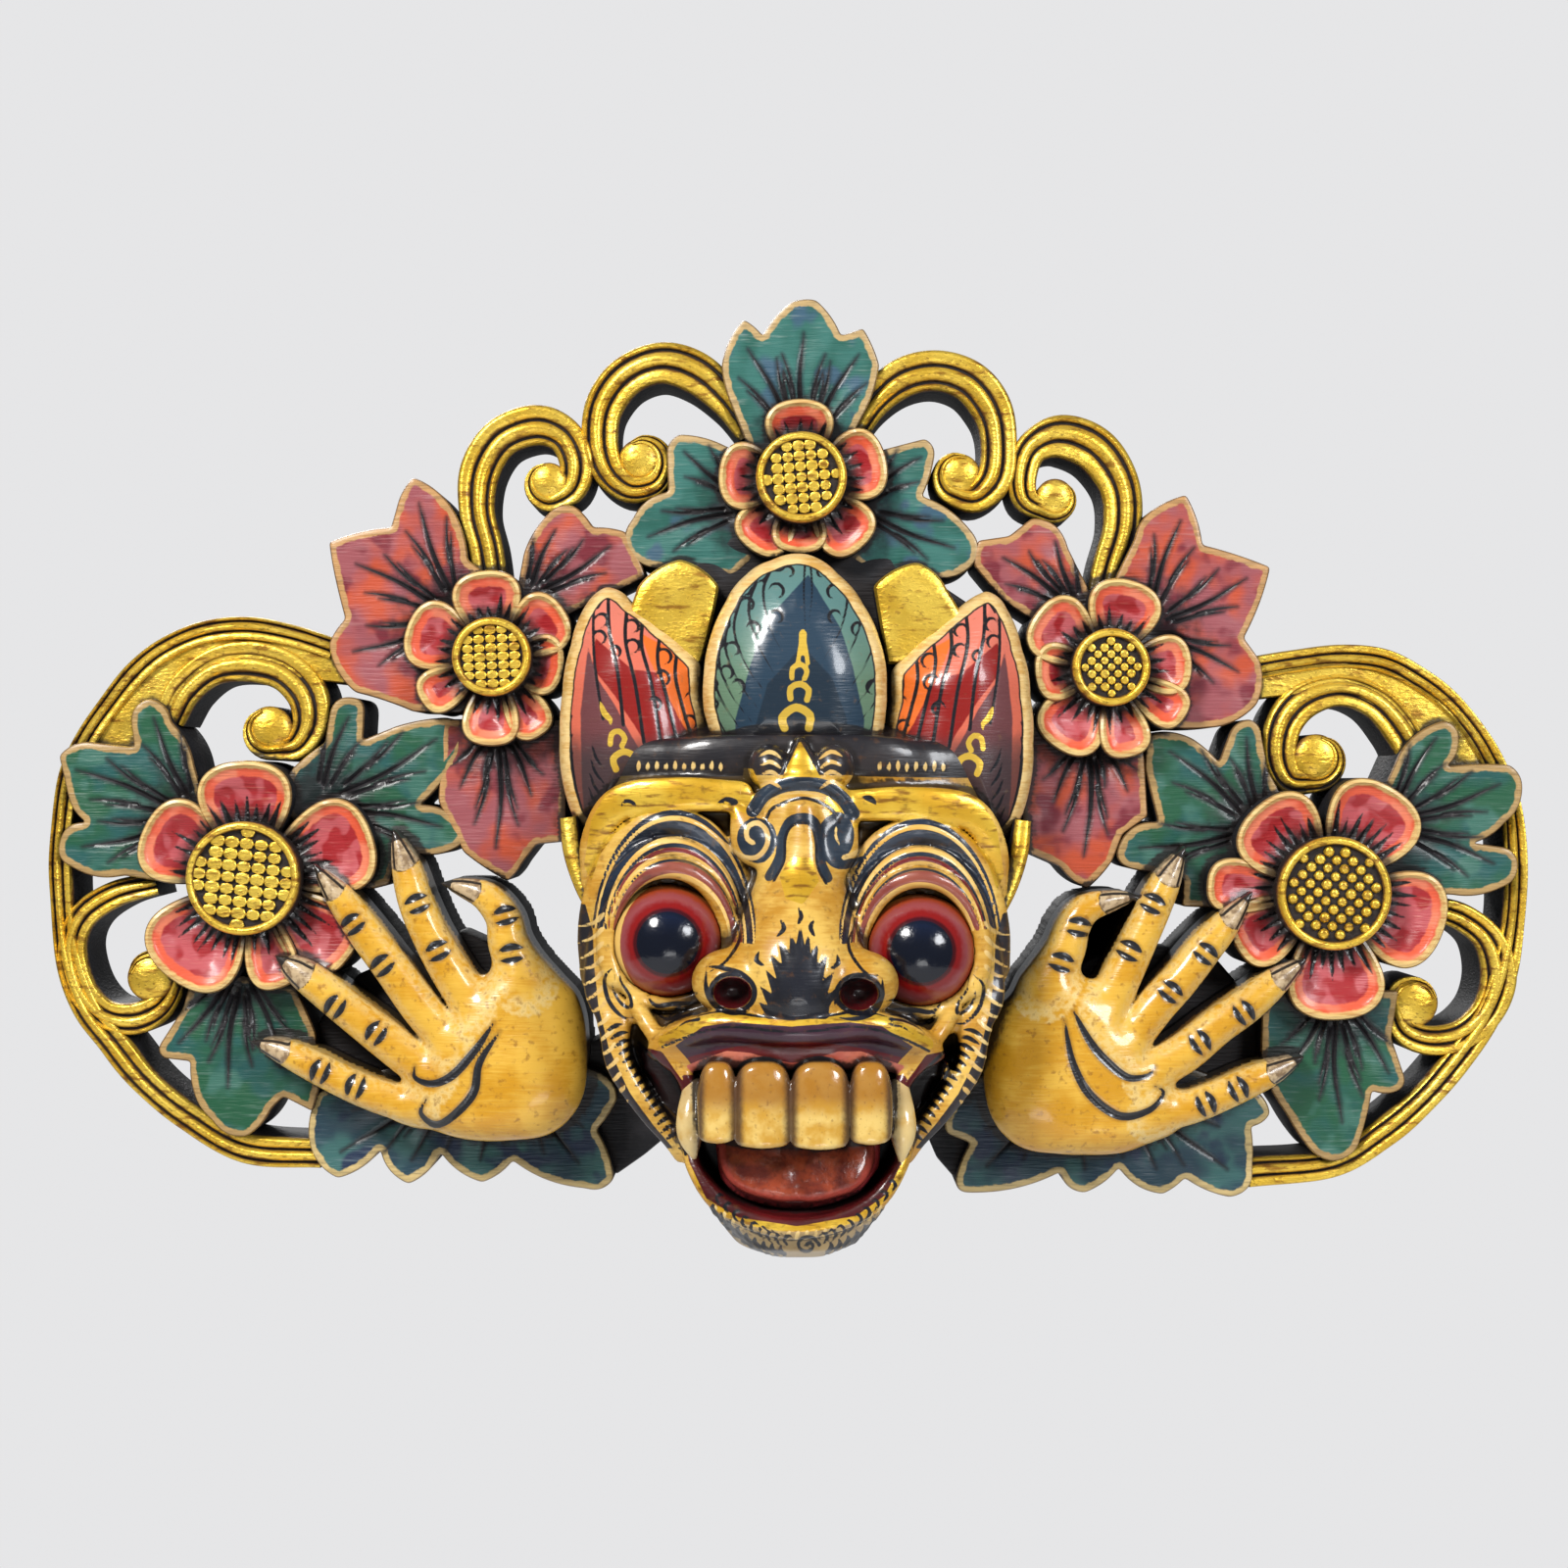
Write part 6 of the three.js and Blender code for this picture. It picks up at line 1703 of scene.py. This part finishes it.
def tooth_finish(name):
    f = Finish(name)
    between, down = f.value("between"), f.value("down")
    cloud, fine = f.noise(6.0, 3.0), f.noise(1.4, 4.0)
    colour = f.mix(f.rise(cloud, 0.35, 0.65), (0.50, 0.27, 0.035), (0.66, 0.46, 0.14))
    colour = f.mix(f.rise(down + (cloud - 0.5) * 8, 8, 16) * 0.85, colour, (0.30, 0.12, 0.012))
    colour = f.mix(f.rise(fine, 0.58, 0.74) * 0.5, colour, (0.16, 0.07, 0.02))
    colour = f.mix(f.rise(between + (fine - 0.5) * 1.4, 3.2, 0.6) * 0.9, colour, (0.06, 0.03, 0.02))
    colour = f.mix(f.value("fang") * f.rise(cloud, 0.2, 0.5) * 0.7, colour, (0.60, 0.46, 0.22))
    return f.done(colour, 0.22, coat=0.9, coat_roughness=0.06, bumps=cloud, depth=0.35)


def make_tongue():
    outline = bowed_outline([(-22, -100), (-23.5, -116), (-20, -126, 1), (-9, -131, 1), (2, -132.2, 0.6),
                             (15, -130.5, 0.8), (24, -125, 1.2), (27, -115, 1), (25, -100)], 0.9)

    def tops(places, depth):
        x, z = places.T
        return (89 + 10.5 * np.clip((-100 - z) / 26, 0, 1) ** 0.8 - 2.4 * np.abs((x - 2) / 25) ** 2.4
                - 1.2 * np.exp(-((x - 2) / 3.0) ** 2) + wobble(places, 3.4, 0.3))

    form = relief(outline, tops, rounding=3.0, base=66.0)
    form = form + relief(bowed_outline([(-25, -108), (-23, -124), (-17, -131.5, 1), (2, -136, 1),
                                        (22, -130.5, 1),
                                        (28, -122), (29, -108)], 0.9), lambda p, d: 92.0 + wobble(p, 5, 0.3),
                         rounding=2.4, base=66.0, marks=lambda p, d: {"ledge": np.ones(len(p))})
    return make_piece("tongue", form, [FINISHES["tongue"], FINISHES["tongue"]], sharp=80)


def tongue_finish(name):
    f = Finish(name)
    edge, ledge = f.value("edge"), f.value("ledge")
    cloud, fine = f.noise(7.0, 4.0), f.noise(1.6, 4.0)
    colour = f.mix(f.rise(cloud, 0.35, 0.65), (0.13, 0.016, 0.008), (0.34, 0.055, 0.018))
    colour = f.mix(f.rise(fine, 0.5, 0.75) * 0.5, colour, (0.05, 0.008, 0.006))
    colour = f.mix(f.rise(edge + (fine - 0.5) * 1.5, 3.4, 1.0) * 0.85, colour, (0.46, 0.075, 0.055))
    colour = f.mix(ledge * 0.9, colour, f.mix(f.rise(edge + (fine - 0.5), 2.6, 1.4), (0.16, 0.014, 0.016),
                                            (0.30, 0.03, 0.035)))
    return f.done(colour, 0.3, coat=0.8, coat_roughness=0.1, bumps=fine, depth=0.3)


# ------------------------------------------------------------------------------------------ the crown

def other_side(places):
    return [(3.8 - x, z - 1.5, *rest) for x, z, *rest in places]


def hook(x, z, size=2.1, way=1):
    return ([(x + way * size * a, z + size * b) for a, b in
             ((-1.1, 0.2), (-0.6, 1.0), (0.3, 1.1), (1.0, 0.3), (0.8, -0.7), (0.0, -1.1))], 0.55, "arc")


CENTRE_PETAL = [(-24, 3), (29, 3), (33, 28, 0.5), (33, 38), (30.5, 50, 0.4), (25, 62, 0.6), (16.5, 72.5, 0.8),
                (5, 79.8, 1.2), (-7, 77.5, 1.0), (-15.5, 72.5, 0.8), (-22.5, 63, 0.8), (-28, 50, 0.5),
                (-30, 38, 0.4),
                (-30, 25, 0.4)]
SIDE_PETAL = [(-66, -22), (-52, -12), (-24, 6), (-28, 18, 0.5), (-30.5, 30, 0.4), (-31, 41), (-36, 46.5, 0.4),
              (-45, 54.5, 0.4), (-55, 63, 0.6), (-64, 68.4, 1.2), (-71, 62, 0.8), (-76, 48, 0.8),
              (-78.8, 32, 0.6),
              (-79.8, 15, 0.4), (-79, 2, 0.4), (-75, -12, 0.4)]


def centre_petal_lines():
    left = [
        ([(-6.5, 75), (-9.5, 66), (-7, 53), (-1, 42)], 0.6, "tail"),
        ([(-11.5, 71), (-14.5, 60), (-11, 47), (-4, 35)], 0.6, "tail"),
        ([(-17, 65), (-19.5, 53), (-15, 40), (-7, 29)], 0.6, "tail"),
        ([(-21, 58), (-22.5, 47), (-18, 35), (-10, 24)], 0.6, "tail"),
        ([(-24, 51), (-24.5, 41), (-20, 30), (-12.5, 20)], 0.6, "tail"),
        ([(-26, 42), (-25.5, 33), (-21, 24), (-15, 16)], 0.6, "tail"),
        ([(-27, 33), (-26, 25), (-22, 17), (-18, 12)], 0.6, "tail"),
        ([(-26.5, 22), (-25, 17), (-22, 12)], 0.6, "tail"),
        hook(-13, 53), hook(-15, 61.5), hook(-5, 66, 2.4), hook(-5, 57), hook(-22, 38), hook(-18, 33),
        hook(-20, 46), hook(-1, 73, 1.8),
    ]
    edge = []
    rim = smooth_route([(-26, 20), (-26.5, 36), (-24.5, 49), (-19.5, 61), (-12.5, 69.5), (-4, 75),
                        (5, 76.4)], 1.0)
    for k in range(4, len(rim) - 6, 7):
        a, b, c = rim[k], rim[k + 3], rim[k + 6]
        inward = np.array([5, 40]) - b
        edge.append(([a, b + inward / np.hypot(*inward) * 1.5, c], 0.45, "arc"))
    lines = left + edge
    lines += [([(10 - p[0], p[1]) for p in line], half, taper) for line, half, taper in lines]
    return lines + [([(5, 79), (4.4, 66), (5, 50)], 0.45, "tail"),
                    ([(6.6, 78), (7.2, 66), (6, 54)], 0.45, "tail")]


def side_petal_lines():
    lines = [
        ([(-63, 65), (-62, 52), (-59, 38), (-57, 20)], 0.6, "even"),
        ([(-56.5, 61), (-56.5, 49), (-53, 34), (-50, 14)], 0.6, "even"),
        ([(-51, 57), (-51, 47), (-47.5, 34), (-44, 12)], 0.6, "even"),
        ([(-45, 52), (-45.5, 42), (-42.5, 30), (-38, 11)], 0.6, "even"),
        ([(-39, 47), (-39.5, 37), (-37, 26), (-32.5, 11)], 0.6, "even"),
        ([(-34, 42), (-34.5, 34), (-31.5, 24), (-28, 11)], 0.55, "even"),
        ([(-68, 60), (-67.5, 46), (-66, 34), (-64, 22)], 0.5, "even"),
        hook(-65, 56), hook(-65.5, 50), hook(-54.5, 54), hook(-54, 47), hook(-43.5, 43.5, 2.4),
        hook(-44, 36, 2.4), hook(-34, 29), hook(-34.5, 21), hook(-46.5, 27), hook(-60, 45, 1.8),
        ([(-71.5, 58), (-74.5, 42), (-76, 22), (-74.5, 2), (-71, -12)], 0.6, "even"),
        ([(-28, 40), (-29, 28), (-26.5, 16), (-23, 8)], 0.5, "even"),
    ]
    tops = [(-66.5, 62), (-63, 65.5), (-57, 61.5), (-51, 57.5), (-45, 52.8), (-39, 47.5), (-34, 42.5),
            (-30, 37)]
    for (x0, z0), (x1, z1) in zip(tops, tops[1:]):
        lines.append(([(x0, z0 - 1.5), ((x0 + x1) / 2 + 0.9, (z0 + z1) / 2 + 1.2), (x1, z1 - 1.2)], 0.45,
                      "even"))
    for k in range(11):
        z = 52 - 6.2 * k
        x = -74.8 - 1.6 * math.sin((k + 1) / 12 * math.pi)
        lines.append(([(x + 1.6, z + 2.4), (x - 0.4, z - 1.6), (x - 1.8, z - 5.4)], 0.5, "arc"))
    for k in range(7):
        z = 14 - 5.0 * k
        lines.append(([(-68 - 0.4 * k, z), (-66.5 - 0.2 * k, z - 5), (-63.5, z - 9)], 0.5, "arc"))
    return lines


SIDE_AREAS = {
    "warm": [(-52, 52), (-26, 38), (-20, 4), (-33, 6), (-40, 24), (-48, 42)],
    "deep": [(-67, 50), (-60, 44), (-54, 39), (-46, 38), (-38, 22), (-27, 4), (-44, 2), (-52, 18), (-60, 30),
             (-68, 40)],
    "dusk": [(-69.5, 47), (-66, 36), (-60, 27), (-54, 16), (-46, 3), (-56, -14), (-70, -22), (-71.5, 0),
             (-72, 24)],
}
SIDE_GOLD = [([(-65, 28), (-63.5, 24), (-61.5, 22), (-61.5, 20)], 1.0, "arc"),
             ([(-61.5, 13.5), (-61, 17), (-58.5, 18), (-56.5, 15.5), (-57.5, 13)], 0.9, "even"),
             ([(-59.5, 5), (-60.5, 8.5), (-57, 11), (-53.5, 9.5), (-53, 6)], 1.1, "even")]
CENTRE_AREAS = {
    "warm": [(6, 72), (-9, 55), (-14, 40), (-19, 22), (-19, -2), (24, -2), (25, 22), (21, 40), (17, 53)],
    "deep": [(4, 47), (-8, 34), (-12, 20), (-13, -2), (20, -2), (19, 22), (14, 36)],
    "dusk": [(-30, 16), (-14, 20), (4, 22), (22, 20), (36, 16), (30, -2), (-26, -2)],
}
CENTRE_GOLD = [([(2.3, 41), (4, 52)], 0.7, "even"), ([(5.7, 41), (4, 52)], 0.7, "even"),
               ([(4, 45), (4, 51)], 1.3, "even"),
               ([(0.3, 36), (0.6, 39.4), (3.5, 40.6), (5.4, 38.4), (4.6, 35.8)], 0.85, "even"),
               ([(-0.2, 29), (-0.2, 32.6), (3.2, 34), (6, 32), (5.4, 28.6)], 1.0, "even"),
               ([(-2.2, 19), (-3, 22.6), (1.6, 26), (6.4, 23.4), (6, 19)], 1.35, "even")]


def make_crown_petal(name, outline, lines, areas, gold, scale, top, drop, finish):
    """A pointed petal of the crown, its lines and patches drawn before it is scaled to its true size."""
    outline = bowed_outline(outline, 0.8) * scale

    def tops(places, depth):
        z = places[:, 1]
        bend = 1 - np.clip(depth / 20, 0, 1)
        rim = 0.7 * np.clip(1 - np.abs(depth - 2.2) / 2.2, 0, 1)
        return (top - drop * bend ** 1.7 - 7.0 * np.clip((z - 34) / 40, 0, 1) ** 1.5 + rim
                + wobble(places, 9, 0.25)
                - 0.45 * np.clip(-stroke_distance(places / scale, lines), 0, 0.7))

    def marks(places, depth):
        drawn = places / scale
        return {"ink": stroke_distance(drawn, lines), "gold": stroke_distance(drawn, gold),
                "down": drawn[:, 1], **{label: area(drawn, [outline]) for label, outline in areas.items()}}

    return make_piece(name, relief(outline, tops, spacing=0.75, rounding=1.6, marks=marks),
                      [finish, FINISHES["board"]])


def crown_finish(name, field, second, warm, deep, dusk):
    """A crown petal: a cream rim, a field with three translucent patches, black line work, gold marks."""
    f = Finish(name)
    edge, ink, down = f.value("edge"), f.value("ink"), f.value("down")
    cloud, fine, grain = f.noise(12.0, 3.0), f.noise(2.2, 4.0), grain_of(f)
    jitter = (fine - 0.5) * 0.5
    colour = f.mix(f.rise(down + (cloud - 0.5) * 10, 30, 64), field, second)
    for label, tint, strength in (("warm", warm, 1.0), ("deep", deep, 1.0), ("dusk", dusk, 0.92)):
        colour = f.mix(f.rise(f.value(label) + jitter, 0.3, -0.3) * strength, colour, tint)
    colour = f.mix(f.rise(down + (cloud - 0.5) * 14, 20, 8) * 0.8, colour, (0.035, 0.028, 0.030))
    colour = f.mix(f.rise(grain, 0.58, 0.8) * 0.3, colour, (0.30, 0.28, 0.25))
    colour = f.mix(f.rise(ink + jitter * 0.5, 0.2, -0.15), colour, (0.006, 0.006, 0.009))
    colour = f.mix(f.rise(edge + jitter, 4.6, 4.1), colour, (0.010, 0.009, 0.010))
    colour = f.mix(f.rise(edge + jitter, 4.0, 3.6), colour,
                   f.mix(f.rise(grain + (cloud - 0.5) * 0.6, 0.35, 0.7), (0.68, 0.49, 0.21),
                         (0.50, 0.28, 0.07)))
    colour = f.mix(f.rise(fine, 0.6, 0.8) * 0.35, colour, (0.16, 0.09, 0.04))
    gilt = f.rise(f.value("gold") + jitter * 0.6, 0.15, -0.15)
    colour = f.mix(gilt, colour, (0.72, 0.47, 0.06))
    return f.done(colour, 0.33, metallic=gilt * 0.5, coat=0.6, coat_roughness=0.12,
                  bumps=grain * 0.7 + cloud * 0.5, depth=0.3)


GOLD_CORNERS = [("gold_corner_left", [(-60, 40), (-30, 40), (-24, 66, 0.5), (-37, 75, 1.5), (-51, 66, 1.5)]),
                ("gold_corner_right", [(32, 40), (64, 40), (52, 65, 1.0), (42, 74, 1.5), (27.5, 66, 1.5)])]
EARS = [("gold_ear_left", [(-73.5, -11, 5.5, 62), (-72, -22, 6, 64), (-68.5, -33, 5.5, 66),
                           (-64.5, -43, 3, 68)]),
        ("gold_ear_right", [(76.5, -12, 5.5, 62), (75, -23, 6, 64), (71.5, -34, 5.5, 66),
                            (67.5, -44, 3, 68)])]
EAR_PROFILE = [(-0.5, 3, 0.8), (-0.4, 0.8, 0.1), (-0.1, 0.2, 0.0), (0.2, 0.0, 0.0), (0.4, 0.7, 0.1),
               (0.5, 3, 0.8)]
BACKING = [(-64, -26), (66, -26), (68, 56), (26, 84), (-20, 84), (-62, 56)]


def make_plain(name, corners, height, front, rounding=1.4, hollow=0.0):
    # cavity by the edge: the gilding paints shade and dark ground there
    form = relief(bowed_outline(corners), lambda p, d: height + wobble(p, 6, 0.3) - 0.3, spacing=1.3,
                  rounding=rounding, marks=lambda p, d: {"cavity": np.clip(hollow - d / 3, 0, 1)})
    return make_piece(name, form, [front, FINISHES["board"]])


# ------------------------------------------------------------------------------------------- the stage

def area_light(name, place, size, power, colour=(1, 1, 1)):
    data = bpy.data.lights.new(name, "AREA")
    data.shape, data.size, data.energy, data.color = "DISK", size, power, colour
    light = bpy.data.objects.new(name, data)
    light.location = place
    light.rotation_euler = (Vector((0, -0.05, 0)) - Vector(place)).to_track_quat("-Z", "Y").to_euler()
    bpy.context.scene.collection.objects.link(light)


def set_stage():
    scene = bpy.context.scene
    data = bpy.data.cameras.new("camera")
    data.sensor_width, data.lens, data.clip_start = 36.0, 64.1, 0.01
    camera = bpy.data.objects.new("camera", data)
    camera.location, camera.rotation_euler = (-0.0023, -0.98, 0.0), (math.pi / 2, 0, 0)
    scene.collection.objects.link(camera)
    scene.camera = camera

    area_light("key_light", (-0.75, -1.15, 0.95), 0.45, 31, (1.0, 0.98, 0.95))
    area_light("fill_light", (0.95, -1.2, 0.55), 0.5, 16, (0.95, 0.97, 1.0))
    area_light("low_light", (0.1, -1.4, -0.8), 0.6, 5)
    area_light("back_light", (-0.5, 1.4, 0.9), 0.9, 14)

    floor = bpy.data.meshes.new("floor")
    rim = [(1.15 * math.cos(t), 1.15 * math.sin(t), -0.62) for t in np.linspace(0, 2 * math.pi, 64, False)]
    floor.from_pydata(rim, [], [tuple(range(64))])
    pale = bpy.data.materials.new("pale_floor")
    pale.use_nodes = True
    pale.node_tree.nodes["Principled BSDF"].inputs["Base Color"].default_value = (0.75, 0.75, 0.75, 1)
    pale.node_tree.nodes["Principled BSDF"].inputs["Roughness"].default_value = 0.8
    floor.materials.append(pale)
    ground = bpy.data.objects.new("floor", floor)
    scene.collection.objects.link(ground)

    world = bpy.data.worlds.new("studio")
    world.use_nodes = True
    nodes, links = world.node_tree.nodes, world.node_tree.links
    seen, cast = nodes.new("ShaderNodeBackground"), nodes["Background"]
    seen.inputs[0].default_value, seen.inputs[1].default_value = (0.79, 0.79, 0.80, 1), 1.0
    cast.inputs[0].default_value, cast.inputs[1].default_value = (0.93, 0.96, 1.0, 1), 0.22
    pick, path = nodes.new("ShaderNodeMixShader"), nodes.new("ShaderNodeLightPath")
    links.new(path.outputs["Is Camera Ray"], pick.inputs[0])
    links.new(cast.outputs[0], pick.inputs[1])
    links.new(seen.outputs[0], pick.inputs[2])
    links.new(pick.outputs[0], nodes["World Output"].inputs[0])
    scene.world = world
    scene.view_settings.view_transform = "Standard"


def blurred(ground, reach):
    """A height map softened over a reach in cells, in both directions."""
    for axis in (0, 1):
        steps = np.arange(-2 * reach, 2 * reach + 1)
        weights = np.exp(-0.5 * (steps / reach) ** 2)
        ground = sum(w * np.roll(ground, s, axis) for w, s in zip(weights / weights.sum(), steps))
    return ground


def mark_hollows(pieces):
    """Give every point "sunk": 0 on the swells, 1 where it lies well below the carving around it."""
    places = []
    for piece in pieces:
        flat = np.empty(len(piece.data.vertices) * 3, np.float32)
        piece.data.vertices.foreach_get("co", flat)
        places.append(flat.reshape(-1, 3) / MM)
    every = np.vstack(places)
    low = every[:, [0, 2]].min(0) - 20
    cells = np.ceil((every[:, [0, 2]].max(0) + 20 - low)).astype(int)
    ground = np.zeros(cells)
    spots = (every[:, [0, 2]] - low).astype(int)
    np.maximum.at(ground, (spots[:, 0], spots[:, 1]), -every[:, 1])
    for _ in range(2):
        near = np.maximum.reduce([np.roll(ground, step, axis) for step in (-1, 1) for axis in (0, 1)])
        ground = np.where(ground < 1, near, ground)
    close, wide = blurred(ground, 2), blurred(ground, 6)
    for piece, points in zip(pieces, places):
        spots = (points[:, [0, 2]] - low).astype(int)
        height = -points[:, 1]
        sunk = np.maximum((close[spots[:, 0], spots[:, 1]] - height) / 4.5,
                          (wide[spots[:, 0], spots[:, 1]] - height) / 14)
        layer = piece.data.attributes.new("sunk", "FLOAT", "POINT")
        layer.data.foreach_set("value", np.clip(sunk, 0, 1.2).astype(np.float32))


# -------------------------------------------------------------------------------------- the whole carving

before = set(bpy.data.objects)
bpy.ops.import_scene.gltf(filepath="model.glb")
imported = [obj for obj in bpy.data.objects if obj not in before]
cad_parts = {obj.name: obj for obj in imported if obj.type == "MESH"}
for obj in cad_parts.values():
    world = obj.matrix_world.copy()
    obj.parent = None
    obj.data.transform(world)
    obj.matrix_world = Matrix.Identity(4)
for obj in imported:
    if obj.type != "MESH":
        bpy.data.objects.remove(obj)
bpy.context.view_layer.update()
set_stage()

FINISHES = {
    "gold": gilding("gilding"),
    "board": board_finish("black_board"),
    "green": leaf_finish("green_leaf", (0.010, 0.075, 0.034), (0.012, 0.075, 0.070), (0.035, 0.12, 0.09),
                         (0.008, 0.014, 0.014), (0.38, 0.24, 0.09), (0.20, 0.28, 0.25)),
    "teal": leaf_finish("teal_leaf", (0.030, 0.13, 0.11), (0.012, 0.085, 0.065), (0.035, 0.085, 0.13),
                        (0.010, 0.018, 0.024), (0.44, 0.30, 0.13), (0.36, 0.42, 0.38)),
    "pink": leaf_finish("pink_leaf", (0.26, 0.065, 0.075), (0.42, 0.060, 0.022), (0.15, 0.014, 0.024),
                        (0.030, 0.008, 0.011), (0.44, 0.24, 0.09), (0.42, 0.22, 0.21)),
    "blue": leaf_finish("blue_leaf", (0.014, 0.042, 0.062), (0.035, 0.11, 0.105), (0.010, 0.022, 0.055),
                        (0.006, 0.008, 0.014), (0.54, 0.40, 0.17), (0.16, 0.22, 0.25)),
    "petal": petal_finish("flower_petal"),
    "hand": hand_finish("ochre_hand"),
    "face": face_finish("painted_face", FACE_COATS, (0.63, 0.40, 0.085), (0.42, 0.20, 0.018)),
    "eye": eye_finish("painted_eye"),
    "tooth": tooth_finish("ivory_tooth"),
    "tongue": tongue_finish("red_tongue"),
    "centre_petal": crown_finish("green_crown", (0.11, 0.19, 0.12), (0.085, 0.18, 0.17),
                                 (0.015, 0.036, 0.062),
                                 (0.009, 0.020, 0.034), (0.012, 0.012, 0.014)),
    "side_petal": crown_finish("red_crown", (0.56, 0.12, 0.07), (0.60, 0.17, 0.12), (0.66, 0.13, 0.018),
                               (0.22, 0.008, 0.006), (0.085, 0.032, 0.040)),
    "back": back_finish("bare_back"),
}

flower_kinds = {"left_flower": "green", "right_flower": "green", "top_flower": "teal",
                "left_small": "pink", "right_small": "pink"}
for shape in LEAVES:
    kind = next(paint for start, paint in flower_kinds.items() if shape["name"].startswith(start))
    make_leaf(shape, LEAF, FINISHES[kind])
for shape, name in zip(BLUE_LEAVES, ("blue_leaf_left", "blue_leaf_right")):
    make_leaf({**shape, "name": name}, BLUE_LEAF, FINISHES["blue"])
for number, corners in enumerate(BOARDS):
    # the boards inside the tops of the two rings are gilded
    top, kind = (GILT_BOARD, "gold") if number < 2 else (BOARD, "board")
    make_plain(f"board_{number + 1}", corners, top, FINISHES[kind], hollow=0.5)
for scroll in SCROLLS:
    make_scroll(scroll)
draw = np.random.default_rng(7)
cells = lattice_tree()
for number, flower in enumerate(FLOWERS):
    make_petals(flower, draw)
    make_disc(flower, cells, number + 1)
for hand in HANDS:
    make_hand(hand)

make_plain("crown_backing", BACKING, LEAF, FINISHES["board"])
for name, corners in GOLD_CORNERS:
    make_plain(name, corners, GOLD_CORNER, FINISHES["gold"], rounding=2.5, hollow=0.3)
for name, rows in EARS:
    make_piece(name, sweep(smooth_route(rows, 1.2), EAR_PROFILE), [FINISHES["gold"], FINISHES["board"]],
               sharp=60)
make_crown_petal("crown_petal_left", SIDE_PETAL, side_petal_lines(), SIDE_AREAS, SIDE_GOLD, SIDE_SCALE,
                 SIDE_CROWN, 12.0, FINISHES["side_petal"])
make_crown_petal("crown_petal_right", other_side(SIDE_PETAL)[::-1],
                 [(other_side(line), half, taper) for line, half, taper in side_petal_lines()],
                 {label: other_side(outline) for label, outline in SIDE_AREAS.items()},
                 [(other_side(line), half, taper) for line, half, taper in SIDE_GOLD], SIDE_SCALE,
                 SIDE_CROWN, 12.0, FINISHES["side_petal"])
make_crown_petal("crown_petal_centre", CENTRE_PETAL, centre_petal_lines(), CENTRE_AREAS, CENTRE_GOLD,
                 CENTRE_SCALE, CENTRE_CROWN, 11.0, FINISHES["centre_petal"])
make_head()
for side in EYES:
    make_eye(side)
make_teeth()
make_tongue()
# every point's sunk value, by which the finishes paint shade and grime in the hollows
mark_hollows([piece for piece in bpy.context.scene.objects
              if piece.type == "MESH" and piece.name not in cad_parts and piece.name != "floor"])
